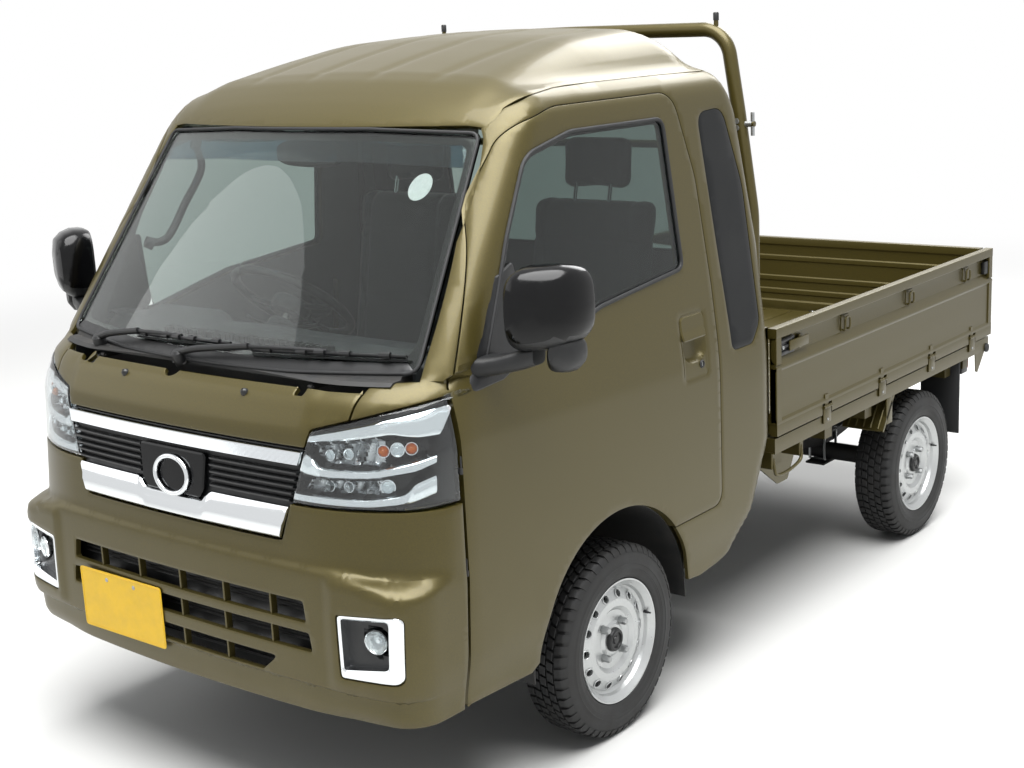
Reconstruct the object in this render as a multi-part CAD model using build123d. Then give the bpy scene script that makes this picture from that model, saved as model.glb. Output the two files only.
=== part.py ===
"""Kei truck: forward cab, flat bed with three drop gates, guard frame.

Millimetres, +Z up, the truck faces -Y, the ground is Z = 0 and X = 0 is the middle.
The passenger side is +X and the driver sits on the -X side.
"""
from build123d import *
import math
import os

os.makedirs("parts", exist_ok=True)

# Overall sizes
LENGTH = 3395.0
HALF_WIDTH = 737.0
WHEELBASE = 1900.0
FRONT_OVERHANG = 882.5
FRONT = -LENGTH / 2
REAR = LENGTH / 2
AXLE_FRONT = FRONT + FRONT_OVERHANG
AXLE_REAR = AXLE_FRONT + WHEELBASE

# Wheels
TYRE_RADIUS = 264.0
TREAD_HALF = 650.0
RIM_RADIUS = 160.0
SPINDLE_RADIUS = 20.0
RUNNING_CLEARANCE = 0.05
SEAT_GAP = 0.3
KINGPIN_X = 540.0
KINGPIN_RADIUS = 12.0
STRUT_TOP_RADIUS = 55.0

# Cab shell
CAB_WALL = 40.0
CAB_BOTTOM = 330.0
SHOULDER_Z = 950.0
RAIL_Z = 1742.0
RAIL_HALF_WIDTH = 643.5
CAB_REAR = -10.0
CAB_BACK_BOTTOM = 640.0
DOME_BASE_HALF = 560.0
DOME_TOP_HALF = 497.0
DOME_SIDE_TOP_Z = 1838.0
ROOF_TOP_Z = 1874.0
SEAM = 6.0
LID_THICKNESS = 22.0
GLASS_THICKNESS = 5.0
GLASS_INSET = 4.0
FLOOR_Z = 440.0
FLOOR_THICKNESS = 25.0
SEAT_BASE_Z = 665.0
FOOTWELL_REAR = -1215.0
ARCH_Y = AXLE_FRONT - 15.0
ARCH_Z = 290.0
ARCH_RADIUS = 347.0
DOOR_HINGE_X = 733.0
DOOR_HINGE_Y = -1441.5
DOOR_HINGE_PLACES = (655.0, 900.0)
DOOR_BARREL_RADIUS = 4.0
DOOR_PIN_RADIUS = 2.0
LID_HINGE_X = 381.0
LID_HINGE_Y = -1556.0
LID_HINGE_Z = 1090.0
LID_LUG_WIDTH = 13.0
LID_PIN_RADIUS = 2.5

# Frame below
RAIL_X = 330.0
RAIL_WIDTH = 60.0
RAIL_HEIGHT = 80.0
RAIL_FRONT_Z = 340.0
RAIL_REAR_Z = 440.0

# Bed
BED_FRONT = 12.0
DECK_Z = 660.0
DECK_THICKNESS = 18.0
DECK_HALF_WIDTH = 693.0
GATE_TOP_Z = 960.0
GATE_BOTTOM_Z = 627.0
GATE_THICKNESS = 30.0
GATE_OUTER_X = 731.0
GATE_HINGE_X = 732.0
GATE_HINGE_Z = 650.0
GATE_CLEARANCE = 9.0
GATE_EDGE_CHAMFER = 10.0
HINGE_BARREL_RADIUS = 5.5
HINGE_PIN_RADIUS = 3.0
TAIL_OUTER_Y = REAR - 6.5
TAIL_HINGE_Y = REAR - 5.5


def block(x0, x1, y0, y1, z0, z1):
    """Box between two limits on each axis."""
    centre = Pos((x0 + x1) / 2, (y0 + y1) / 2, (z0 + z1) / 2)
    return centre * Box(x1 - x0, y1 - y0, z1 - z0)


def rounded_face(points, radii):
    """Flat face inside a closed outline whose corners have the given radii."""
    if max(radii) > 0:
        return make_face(FilletPolyline(*points, radius=radii, close=True))
    return make_face(Polyline(*points, close=True))


def prism_x(rows, x0, x1):
    """Outline rows of y, z, corner radius, carried from x0 to x1."""
    points = [(x0, y, z) for y, z, _ in rows]
    face = rounded_face(points, [radius for _, _, radius in rows])
    return extrude(face, amount=x1 - x0, dir=(1, 0, 0))


def prism_y(rows, y0, y1):
    """Outline rows of x, z, corner radius, carried from y0 to y1."""
    points = [(x, y0, z) for x, z, _ in rows]
    face = rounded_face(points, [radius for _, _, radius in rows])
    return extrude(face, amount=y1 - y0, dir=(0, 1, 0))


def prism_z(rows, z0, z1):
    """Outline rows of x, y, corner radius, carried from z0 to z1."""
    points = [(x, y, z0) for x, y, _ in rows]
    face = rounded_face(points, [radius for _, _, radius in rows])
    return extrude(face, amount=z1 - z0, dir=(0, 0, 1))


def rod(start, end, radius):
    """Round bar between two points."""
    start = Vector(*start)
    span = Vector(*end) - start
    return extrude(Plane(origin=start, z_dir=span) * Circle(radius), amount=span.length)


def wheel_turn(profile, x, y, z):
    """Ring from rows of x, radius, turned about an axis along X."""
    points = [(x + across, y, z + radius) for across, radius in profile]
    face = make_face(Polyline(*points, close=True))
    return revolve(face, axis=Axis((x, y, z), (1, 0, 0)))


def mirrored(solid):
    """The same shape on the other side of the truck."""
    return mirror(solid, about=Plane.YZ)


def save(name, *solids):
    """Write one sub-part, made of one or more solids that do not touch."""
    found = []
    for item in solids:
        found.extend(item.solids())
    export_step(Compound(children=found) if len(found) > 1 else found[0], f"parts/{name}.step")


# Curved front of the cab
# Each arc turns the outline on to the angle in its second column; the corner arcs keep
# their radius and the middle arc takes up the rest of the half width.
NOSE_MIDDLE_ANGLE = 4.0
NOSE_CORNER_ARCS = (
    # radius, angle at the arc's end
    (502.0, 32.7),
    (200.0, 62.0),
    (80.0, 90.0),
)
BUMPER_MIDDLE_ANGLE = 3.0
BUMPER_CORNER_ARCS = (
    # radius, angle at the arc's end
    (1800.0, 10.0),
    (100.0, 40.0),
    (95.0, 90.0),
)
SCREEN_RADIUS = 2168.0
SCREEN_LOW = (-1565.0, 1112.0)
SCREEN_HIGH = (-1171.0, 1650.0)
NOSE_FACETS = (
    # low y, low z, high y, high z on the middle line
    (-1682.0, 690.0, -1655.0, 1000.0),
    (-1655.0, 1000.0, -1618.0, 1075.0),
    (-1618.0, 1075.0, -1565.0, 1112.0),
)
FAR_BACK = 2600.0


def front_curve(middle_angle, corner_arcs, half_width):
    """Points and arc middles of half an outline, as x and set-back, from the middle out."""
    corner_width = 0.0
    angle = middle_angle
    for radius, end in corner_arcs:
        corner_width += radius * (sind(end) - sind(angle))
        angle = end
    first = ((half_width - corner_width) / sind(middle_angle), middle_angle)
    x = 0.0
    back = 0.0
    angle = 0.0
    arcs = []
    for radius, end in (first,) + tuple(corner_arcs):
        middle = (angle + end) / 2
        through = (x + radius * (sind(middle) - sind(angle)), back + radius * (cosd(angle) - cosd(middle)))
        stop = (x + radius * (sind(end) - sind(angle)), back + radius * (cosd(angle) - cosd(end)))
        arcs.append(((x, back), through, stop))
        x, back = stop
        angle = end
    return arcs


def sind(angle):
    """Sine of an angle in degrees."""
    return math.sin(math.radians(angle))


def cosd(angle):
    """Cosine of an angle in degrees."""
    return math.cos(math.radians(angle))


def rod_x(x0, x1, y, z, radius):
    """Round bar that runs along X."""
    return rod((x0, y, z), (x1, y, z), radius)


def rod_y(x, y0, y1, z, radius):
    """Round bar that runs along Y."""
    return rod((x, y0, z), (x, y1, z), radius)


def rod_z(x, y, z0, z1, radius):
    """Round bar that runs along Z."""
    return rod((x, y, z0), (x, y, z1), radius)


def behind_curve(arcs, low, high, z0, z1):
    """Everything behind a plan curve carried along the slope from low to high."""
    slope = (high[0] - low[0]) / (high[1] - low[1])
    y0 = low[0] + slope * (z0 - low[1])
    edges = []
    for start, through, stop in arcs:
        for side in (1, -1):
            edges.append(ThreePointArc(
                (side * start[0], y0 + start[1], z0),
                (side * through[0], y0 + through[1], z0),
                (side * stop[0], y0 + stop[1], z0)))
    last = arcs[-1][2]
    edges.append(Polyline(
        (last[0], y0 + last[1], z0), (last[0], FAR_BACK, z0),
        (-last[0], FAR_BACK, z0), (-last[0], y0 + last[1], z0)))
    face = make_face(edges)
    height = z1 - z0
    return extrude(face, amount=height * math.hypot(1, slope), dir=(0, slope, 1))


def screen_curve(inset):
    """Arc of the windscreen's plan, a little wider than the cab."""
    radius = SCREEN_RADIUS - inset
    reach = HALF_WIDTH + 60
    middle = math.degrees(math.asin(reach / radius)) / 2
    through = (radius * sind(middle), radius * (1 - cosd(middle)))
    stop = (radius * sind(2 * middle), radius * (1 - cosd(2 * middle)))
    return [((0, 0), through, stop)]


CAB_TOP_LINE = (
    # y, z, corner radius: roof rail and rear wall of the lower body, seen from the side
    (-1260.0, 1650.0, 0),
    (-1092.0, 1714.0, 60),
    (-960.0, 1735.0, 100),
    (-800.0, RAIL_Z, 400),
    (-118.0, RAIL_Z, 60),
    (-50.0, 1610.0, 150),
    (CAB_REAR, 1230.0, 400),
    (CAB_REAR - 5, 640.0, 100),
    (-120.0, 440.0, 100),
    (-250.0, CAB_BOTTOM, 60),
    (FRONT + 20, CAB_BOTTOM, 0),
    (FRONT + 20, 1300.0, 0),
    (-1500.0, 1650.0, 0),
)
DOME_LINE = (
    # y, z, corner radius: the raised roof seen from the side
    (-1700.0, 1500.0, 0),
    (-1171.0, 1650.0, 0),
    (-1010.0, 1772.0, 300),
    (-560.0, 1860.0, 900),
    (-228.0, ROOF_TOP_Z, 60),
    (-128.0, RAIL_Z, 30),
    (-128.0, 1500.0, 0),
)


def cab_front_limit(inset):
    """Everything behind the nose, the hood and the windscreen."""
    low_y, low_z = SCREEN_LOW
    high_y, high_z = SCREEN_HIGH
    arcs = front_curve(NOSE_MIDDLE_ANGLE, NOSE_CORNER_ARCS, HALF_WIDTH - inset)
    nose = None
    for y0, z0, y1, z1 in NOSE_FACETS:
        steep = math.hypot(1, (y1 - y0) / (z1 - z0))
        back = inset * steep
        solid = behind_curve(arcs, (y0 + back, z0), (y1 + back, z1), 200.0, low_z)
        nose = solid if nose is None else nose & solid
    steep = math.hypot(1, (high_y - low_y) / (high_z - low_z))
    back = inset * steep
    screen = behind_curve(
        screen_curve(inset), (low_y + back, low_z), (high_y + back, high_z), low_z, 2000.0)
    return nose + screen


def inset_outline(rows, inset):
    """Closed outline moved inwards by inset, as rows of a, b, corner radius."""
    if inset == 0:
        return rows
    area = 0.0
    for here, after in zip(rows, rows[1:] + rows[:1]):
        area += here[0] * after[1] - after[0] * here[1]
    turn = 1 if area > 0 else -1
    moved = []
    count = len(rows)
    for index in range(count):
        before = Vector(*rows[index - 1][:2])
        here = Vector(*rows[index][:2])
        after = Vector(*rows[(index + 1) % count][:2])
        enter = (here - before).normalized()
        leave = (after - here).normalized()
        normal_in = Vector(-enter.Y, enter.X) * turn
        normal_out = Vector(-leave.Y, leave.X) * turn
        middle = (normal_in + normal_out).normalized()
        reach = inset / middle.dot(normal_in)
        place = here + middle * reach
        convex = (enter.X * leave.Y - enter.Y * leave.X) * turn > 0
        radius = rows[index][2]
        if radius > 0:
            radius = max(radius - inset, 2.0) if convex else radius + inset
        moved.append((place.X, place.Y, radius))
    return tuple(moved)


def cab_envelope(inset, floor_z):
    """Solid inside the cab's outer surfaces moved inwards by inset."""
    half = HALF_WIDTH - inset
    rail = RAIL_HALF_WIDTH - inset
    front_view = (
        (half, floor_z, 0), (half, SHOULDER_Z, 900), (rail, RAIL_Z - inset, 12),
        (-rail, RAIL_Z - inset, 12), (-half, SHOULDER_Z, 900), (-half, floor_z, 0))
    lower = prism_x(inset_outline(CAB_TOP_LINE, inset), -HALF_WIDTH, HALF_WIDTH)
    lower &= prism_y(front_view, FRONT, 100.0)
    base = DOME_BASE_HALF - inset
    top = DOME_TOP_HALF - inset
    dome_view = (
        (base, 1500.0, 0), (base, RAIL_Z, 0), (top, DOME_SIDE_TOP_Z - inset / 2, 45),
        (top * 0.5, ROOF_TOP_Z - 6 - inset, 900), (-top * 0.5, ROOF_TOP_Z - 6 - inset, 900),
        (-top, DOME_SIDE_TOP_Z - inset / 2, 45), (-base, RAIL_Z, 0), (-base, 1500.0, 0))
    dome = prism_x(inset_outline(DOME_LINE, inset), -HALF_WIDTH, HALF_WIDTH)
    dome &= prism_y(dome_view, FRONT, 100.0)
    return (lower + dome) & cab_front_limit(inset)


# Regions of the cab shell
DOOR_LINE = (
    # y, z, corner radius: door outline seen from the side, its arch corner squared off
    (-1464.0, 290.0, 0),
    (-1440.0, 640.0, 200),
    (-1440.0, 1085.0, 120),
    (-1215.0, 1480.0, 300),
    (-1085.0, 1648.0, 160),
    (-930.0, 1687.0, 250),
    (-398.0, 1687.0, 90),
    (-330.0, 1450.0, 300),
    (-313.0, 1150.0, 400),
    (-315.0, 511.0, 60),
    (ARCH_Y, 511.0, 0),
    (ARCH_Y, 290.0, 0),
)
DOOR_WINDOW_LINE = (
    # y, z, corner radius: opening for the door glass, mirror corner included
    (-1345.0, 1098.0, 12),
    (-1180.0, 1420.0, 60),
    (-1060.0, 1590.0, 90),
    (-880.0, 1630.0, 200),
    (-455.0, 1627.0, 30),
    (-445.0, 1205.0, 25),
    (-843.0, 1165.0, 0),
    (-1130.0, 1098.0, 0),
)
SAIL_LINE = (
    # y, z, corner radius: plate in the window's front corner that carries the mirror
    (-1400.0, 1080.0, 0),
    (-1125.0, 1080.0, 0),
    (-1125.0, 1112.0, 0),
    (-1200.0, 1370.0, 0),
    (-1400.0, 1370.0, 0),
)
QUARTER_WINDOW_LINE = (
    # y, z, corner radius
    (-285.0, 1620.0, 14),
    (-148.0, 1627.0, 30),
    (-84.0, 1400.0, 300),
    (-75.0, 1000.0, 50),
    (-125.0, 945.0, 40),
    (-240.0, 945.0, 30),
    (-262.0, 1250.0, 300),
)
ROOF_SPLIT_LINE = (
    # y, z, corner radius: what lies above belongs to the roof pressing
    (-1500.0, 1653.0, 0),
    (-1180.0, 1653.0, 0),
    (-1080.0, 1703.0, 60),
    (-950.0, 1722.0, 100),
    (-800.0, 1728.0, 0),
    (60.0, 1728.0, 0),
    (60.0, 2000.0, 0),
    (-1500.0, 2000.0, 0),
)
SCREEN_OUTLINE = (
    # x, z, corner radius, seen from the front
    (635.0, 1126.0, 25),
    (563.0, 1636.0, 30),
    (250.0, 1648.0, 0),
    (-250.0, 1648.0, 0),
    (-563.0, 1636.0, 30),
    (-635.0, 1126.0, 25),
    (-300.0, 1114.0, 0),
    (300.0, 1114.0, 0),
)
LID_LINE = (
    # x, z, corner radius, seen from the front
    (545.0, 1100.0, 0),
    (-545.0, 1100.0, 0),
    (-538.0, 1036.0, 0),
    (-449.0, 1012.0, 10),
    (-436.0, 968.0, 8),
    (436.0, 968.0, 8),
    (449.0, 1012.0, 10),
    (538.0, 1036.0, 0),
)
LAMP_LINE = (
    # x, z, corner radius, seen from the front
    (449.0, 1010.0, 14),
    (396.0, 838.0, 14),
    (800.0, 838.0, 0),
    (800.0, 1106.0, 0),
)
GRILLE_LINE = (
    # x, z, corner radius, seen from the front
    (434.0, 965.0, 6),
    (394.0, 835.0, 0),
    (362.0, 745.0, 10),
    (-362.0, 745.0, 10),
    (-394.0, 835.0, 0),
    (-434.0, 965.0, 6),
)
WIPER_PIVOT_RADIUS = 6.0
WIPER_NOTCH_RADIUS = 26.0
WIPER_FOOT_Z = 1112.3
WIPER_HEAD_Z = 1144.0
WIPER_PROUD = 14.0
WIPERS = (
    # pivot x, pivot y, tip x, tip z
    (-60.0, -1571.5, 410.0, 1165.0),
    (-420.0, -1541.0, 10.0, 1165.0),
)
LAMP_REAR = -1447.0
BULKHEAD_FRONT = -1520.0
BULKHEAD_THICKNESS = 25.0
BULKHEAD_HALF = 600.0
COWL_HALF = 500.0
COWL_BOTTOM = 1104.0
COWL_FRONT = -1562.0


def cab_pieces():
    """Split the hollow cab where its real panels meet."""
    outer = cab_envelope(0.0, 200.0)
    inner = cab_envelope(CAB_WALL, 100.0)
    shell = outer - inner
    inside = HALF_WIDTH - CAB_WALL
    shell -= block(-inside, inside, FRONT, -262, CAB_BOTTOM - 10, CAB_BOTTOM + CAB_WALL + 1)
    shell -= block(-inside, inside, -330, CAB_REAR + 40, CAB_BOTTOM - 10, CAB_BACK_BOTTOM)
    arch = rod((-HALF_WIDTH - 5, ARCH_Y, ARCH_Z), (HALF_WIDTH + 5, ARCH_Y, ARCH_Z), ARCH_RADIUS)
    shell -= arch

    # Windows
    screen_hole = prism_y(SCREEN_OUTLINE, FRONT, -1000.0)
    screen_glass_line = inset_outline(SCREEN_OUTLINE, SEAT_GAP)
    glass_outer = cab_front_limit(GLASS_INSET)
    glass_inner = cab_front_limit(GLASS_INSET + GLASS_THICKNESS)
    windscreen = (glass_outer - glass_inner) & prism_y(screen_glass_line, FRONT, -1000.0)
    shell -= screen_hole
    rear_hole = block(-470, 470, -200, 40, 1180, 1580)
    shell -= rear_hole
    rear_glass = block(-470 + SEAT_GAP, 470 - SEAT_GAP, -75, -70, 1180 + SEAT_GAP, 1580 - SEAT_GAP)
    quarter_hole = prism_x(QUARTER_WINDOW_LINE, 400, HALF_WIDTH + 20)
    shell = shell - quarter_hole - mirrored(quarter_hole)
    side_outer = side_sheet(GLASS_INSET)
    side_inner = side_sheet(GLASS_INSET + GLASS_THICKNESS)
    side_glass = side_outer - side_inner
    quarter = side_glass & prism_x(inset_outline(QUARTER_WINDOW_LINE, SEAT_GAP), 400, HALF_WIDTH)

    # Doors
    door_cut = prism_x(inset_outline(DOOR_LINE, -SEAM / 2), 400, HALF_WIDTH + 20)
    door_cut -= side_sheet(CAB_WALL + SEAM)
    door_region = prism_x(inset_outline(DOOR_LINE, SEAM / 2), 400, HALF_WIDTH + 20)
    door_region -= side_sheet(CAB_WALL)
    window = prism_x(DOOR_WINDOW_LINE, 400, HALF_WIDTH + 20)
    sail = prism_x(SAIL_LINE, 400, HALF_WIDTH + 20)
    door = (shell & door_region) - window
    glass_region = prism_x(inset_outline(DOOR_WINDOW_LINE, SEAT_GAP), 400, HALF_WIDTH)
    sail_hole = prism_x(inset_outline(SAIL_LINE, -SEAT_GAP), 400, HALF_WIDTH + 20)
    door_glass = (side_glass & glass_region) - sail_hole
    mirror_base = (side_sheet(0) - side_sheet(12)) & glass_region & sail
    for z in DOOR_HINGE_PLACES:
        door += rod_z(DOOR_HINGE_X, DOOR_HINGE_Y, z + 14.3, z + 40, DOOR_BARREL_RADIUS)
        door += block(DOOR_HINGE_X - 7, DOOR_HINGE_X, DOOR_HINGE_Y, DOOR_HINGE_Y + 12, z + 14.3, z + 40)
        bore = DOOR_PIN_RADIUS + RUNNING_CLEARANCE
        door -= rod_z(DOOR_HINGE_X, DOOR_HINGE_Y, z, z + 45, bore)
    shell = shell - door_cut - mirrored(door_cut)

    # Roof, front and rear
    roof_region = prism_x(ROOF_SPLIT_LINE, -HALF_WIDTH, HALF_WIDTH)
    roof = shell & roof_region
    shell -= roof_region
    back_region = block(-585, 585, -200, 60, 200, 1800)
    back = shell & back_region
    shell -= back_region
    strip = block(-600, 600, FRONT, -1440, COWL_BOTTOM, 1140)
    cowl = shell & block(-600, 600, COWL_FRONT, -1440, COWL_BOTTOM, 1140)
    for pivot_x, pivot_y, _, _ in WIPERS:
        boss = rod_z(pivot_x, pivot_y, COWL_BOTTOM, 1140, WIPER_NOTCH_RADIUS - 3)
        cowl += shell & boss
    shell -= strip

    lid = (outer & prism_y(inset_outline(LID_LINE, SEAM), FRONT, -1440)) - strip
    lid -= cab_front_limit(LID_THICKNESS)
    for side in (1, -1):
        low, high = sorted((side * LID_HINGE_X, side * (LID_HINGE_X + LID_LUG_WIDTH)))
        lid -= block(low - 1, high + 1, LID_HINGE_Y - 30, LID_HINGE_Y + 40, LID_HINGE_Z - 18, LID_HINGE_Z + 8)
        bore = LID_PIN_RADIUS + RUNNING_CLEARANCE
        lid -= rod_x(low - 6, high + 6, LID_HINGE_Y, LID_HINGE_Z, bore)
    for pivot_x, pivot_y, _, _ in WIPERS:
        lid -= rod((pivot_x, pivot_y, 1000), (pivot_x, pivot_y, 1150), WIPER_NOTCH_RADIUS)
    front_block = block(-HALF_WIDTH, HALF_WIDTH, FRONT, -1440, 0, 1200)
    lamp_region = prism_y(LAMP_LINE, FRONT, LAMP_REAR)
    deep = block(0, BULKHEAD_HALF, BULKHEAD_FRONT, -1300, 0, 1300)
    hollow = cab_front_limit(CAB_WALL) & block(BULKHEAD_HALF, HALF_WIDTH, FRONT, -1300, 0, 1300)
    lamp = (outer & prism_y(inset_outline(LAMP_LINE, 0.5), FRONT, LAMP_REAR)) - deep - hollow
    lamp &= block(0, inside + 100, -1700, LAMP_REAR, 800, 1100)
    grille = (outer & prism_y(GRILLE_LINE, FRONT, -1600.0))

    # What is left at each side above the lamps
    wing_low = prism_y((
        (0, 0, 0), (HALF_WIDTH, 0, 0), (HALF_WIDTH, 838, 0), (800, 838, 0), (800, 1107, 0),
        (449, 1012, 0), (540, 1037, 0), (549, COWL_BOTTOM, 0), (0, COWL_BOTTOM, 0)), FRONT, -1443)
    shell = shell - wing_low - mirrored(wing_low)
    left = shell & block(0, HALF_WIDTH, FRONT, 100, 0, 2000)
    return {
        "outer": outer, "windscreen": windscreen, "rear_glass": rear_glass, "quarter": quarter,
        "door": door, "door_glass": door_glass, "roof": roof, "back": back, "cowl": cowl,
        "lid": lid, "lamp": lamp, "grille": grille, "left": left, "mirror_base": mirror_base,
    }


def side_sheet(inset):
    """Everything between the two cab sides moved inwards by inset."""
    half = HALF_WIDTH - inset
    rail = RAIL_HALF_WIDTH - inset
    view = (
        (half, 200, 0), (half, SHOULDER_Z, 900), (rail, RAIL_Z, 0),
        (-rail, RAIL_Z, 0), (-half, SHOULDER_Z, 900), (-half, 200, 0))
    return prism_y(view, -1500, 0)


# Bumper
BUMPER_FACE = FRONT + 3.0
BUMPER_BOTTOM = 322.0
BUMPER_SHELF_Z = 690.0
BUMPER_WALL = 30.0
INTAKE_ROWS = (
    # half width at the top, half width at the bottom, top z, bottom z
    (430.0, 438.0, 613.0, 557.0),
    (440.0, 430.0, 536.0, 487.0),
    (330.0, 268.0, 447.0, 404.0),
)
FOG_LINE = (
    # x, z, corner radius, seen from the front
    (536.0, 596.0, 8),
    (722.0, 612.0, 8),
    (716.0, 482.0, 8),
    (536.0, 462.0, 8),
)


def bumper_limit(inset):
    """Space behind the bumper's face, in three slabs that lean back above and below."""
    arcs = front_curve(BUMPER_MIDDLE_ANGLE, BUMPER_CORNER_ARCS, HALF_WIDTH - inset)
    face_y = BUMPER_FACE + inset
    low = behind_curve(arcs, (face_y + 14, 322.0), (face_y, 405.0), 200.0, 405.0)
    middle = behind_curve(arcs, (face_y, 322.0), (face_y, 560.0), 405.0, 560.0)
    high = behind_curve(arcs, (face_y, 560.0), (face_y + 8, 690.0), 560.0, 1000.0)
    return low + middle + high


def bumper_pieces(outer):
    """Bumper skin with its intake, and the fog lamps behind it."""
    zone = block(-HALF_WIDTH, HALF_WIDTH, FRONT, LAMP_REAR, BUMPER_BOTTOM, BUMPER_SHELF_Z)
    core = block(-HALF_WIDTH, HALF_WIDTH, FRONT, 0, 0, BUMPER_SHELF_Z - 25)
    skin = (bumper_limit(0) & zone) - (bumper_limit(BUMPER_WALL) & core)
    upper_zone = block(-HALF_WIDTH, HALF_WIDTH, FRONT, LAMP_REAR, BUMPER_SHELF_Z - 25, 840)
    upper = (outer & upper_zone) - (cab_front_limit(CAB_WALL) & side_sheet_front(CAB_WALL))
    grille_hole = prism_y(GRILLE_LINE, FRONT, -1400)
    lamp_hole = prism_y(inset_outline(LAMP_LINE, -0.5), FRONT, -1400)
    upper = upper - grille_hole - lamp_hole - mirrored(lamp_hole)
    upper -= block(-HALF_WIDTH, HALF_WIDTH, FRONT, -1400, 838, 1200)
    skin += upper
    skin -= block(-BULKHEAD_HALF - 20, BULKHEAD_HALF + 20, BULKHEAD_FRONT, -1300, 0, 900)
    for top_half, low_half, top_z, low_z in INTAKE_ROWS:
        row = ((top_half, top_z, 6), (low_half, low_z, 6), (-low_half, low_z, 6), (-top_half, top_z, 6))
        skin -= prism_y(row, FRONT - 5, FRONT + 150)
    fog_hole = prism_y(FOG_LINE, FRONT - 5, -1560)
    skin = skin - fog_hole - mirrored(fog_hole)
    door_gap = prism_x(inset_outline(DOOR_LINE, -SEAM), BULKHEAD_HALF, HALF_WIDTH + 20)
    skin = skin - door_gap - mirrored(door_gap)
    for x in (500.0, -560.0):
        skin += block(x, x + 60, FRONT + 40, BULKHEAD_FRONT, 625, 660)
    fog = bumper_limit(2) - bumper_limit(BUMPER_WALL + 30)
    fog &= prism_y(inset_outline(FOG_LINE, SEAT_GAP), FRONT, -1560)
    return skin, fog


def side_sheet_front(inset):
    """Room between the two flanks of the nose."""
    half = HALF_WIDTH - inset
    return block(-half, half, FRONT, 0, 0, 1300)


def cab_front_panel(cowl):
    """Bulkhead behind the lamps, the cowl below the windscreen and the bumper mounts."""
    rear = BULKHEAD_FRONT + BULKHEAD_THICKNESS
    panel = block(-BULKHEAD_HALF, BULKHEAD_HALF, BULKHEAD_FRONT, rear, FLOOR_Z, 985)
    panel += block(-300, 300, -1600, BULKHEAD_FRONT, 760, 940)
    panel += block(-COWL_HALF, COWL_HALF, BULKHEAD_FRONT, -1440, 960, 985)
    panel += block(-COWL_HALF, COWL_HALF, -1465, -1440, 960, COWL_BOTTOM + 12)
    for side in (1, -1):
        # Lugs and pins of the lid's hinge
        low, high = sorted((side * LID_HINGE_X, side * (LID_HINGE_X + LID_LUG_WIDTH)))
        panel += block(low, high, LID_HINGE_Y, -1464, LID_HINGE_Z - 6, LID_HINGE_Z + 6)
        panel += rod_x(low, high, LID_HINGE_Y, LID_HINGE_Z, 6)
        panel += rod_x(low - 5, high + 5, LID_HINGE_Y, LID_HINGE_Z, LID_PIN_RADIUS)
        # Brackets and pins of the door hinges
        for z in DOOR_HINGE_PLACES:
            pin_x = side * DOOR_HINGE_X
            low, high = sorted((side * (BULKHEAD_HALF - 2), pin_x - side * 2))
            panel += block(low, high, DOOR_HINGE_Y - 2, DOOR_HINGE_Y + 1.2, z, z + 14)
            low, high = sorted((side * (BULKHEAD_HALF - 15), side * BULKHEAD_HALF))
            panel += block(low, high, BULKHEAD_FRONT, DOOR_HINGE_Y + 1.2, z, z + 14)
            panel += rod_z(pin_x, DOOR_HINGE_Y, z, z + 14, DOOR_BARREL_RADIUS)
            panel += rod_z(pin_x, DOOR_HINGE_Y, z, z + 42, DOOR_PIN_RADIUS)
    return panel + cowl


def cab_floor_pan():
    """Stepped floor with the two wheel arches under the seats."""
    t = FLOOR_THICKNESS
    front = BULKHEAD_FRONT + BULKHEAD_THICKNESS
    rear = CAB_REAR - 5 - CAB_WALL - SEAT_GAP
    step = (
        (front, FLOOR_Z, 0), (FOOTWELL_REAR, FLOOR_Z, 0), (FOOTWELL_REAR, SEAT_BASE_Z, 0),
        (rear, SEAT_BASE_Z, 0), (rear, SEAT_BASE_Z + t, 0), (FOOTWELL_REAR - t, SEAT_BASE_Z + t, 0),
        (FOOTWELL_REAR - t, FLOOR_Z + t, 0), (front, FLOOR_Z + t, 0))
    half = HALF_WIDTH - CAB_WALL
    door_clear = HALF_WIDTH - CAB_WALL - 7
    pan = prism_x(step, -door_clear, door_clear)
    pan += block(door_clear - 1, half, -300, rear, SEAT_BASE_Z, SEAT_BASE_Z + t)
    pan += block(-half, -door_clear + 1, -300, rear, SEAT_BASE_Z, SEAT_BASE_Z + t)
    for side in (1, -1):
        inner_x = side * 385.0
        outer_x = side * door_clear
        low, high = min(inner_x, outer_x), max(inner_x, outer_x)
        hump = block(low, high, ARCH_Y - 385, ARCH_Y + 385, ARCH_Z + 60, SEAT_BASE_Z)
        hollow = rod_x(inner_x + side * 12, outer_x + side * 5, ARCH_Y, ARCH_Z, ARCH_RADIUS + 13)
        pan += hump - hollow
    return pan


def engine():
    """Plain block that stands for the engine under the seats."""
    return block(-230, 230, -700, -180, 250, SEAT_BASE_Z - 40)


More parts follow.
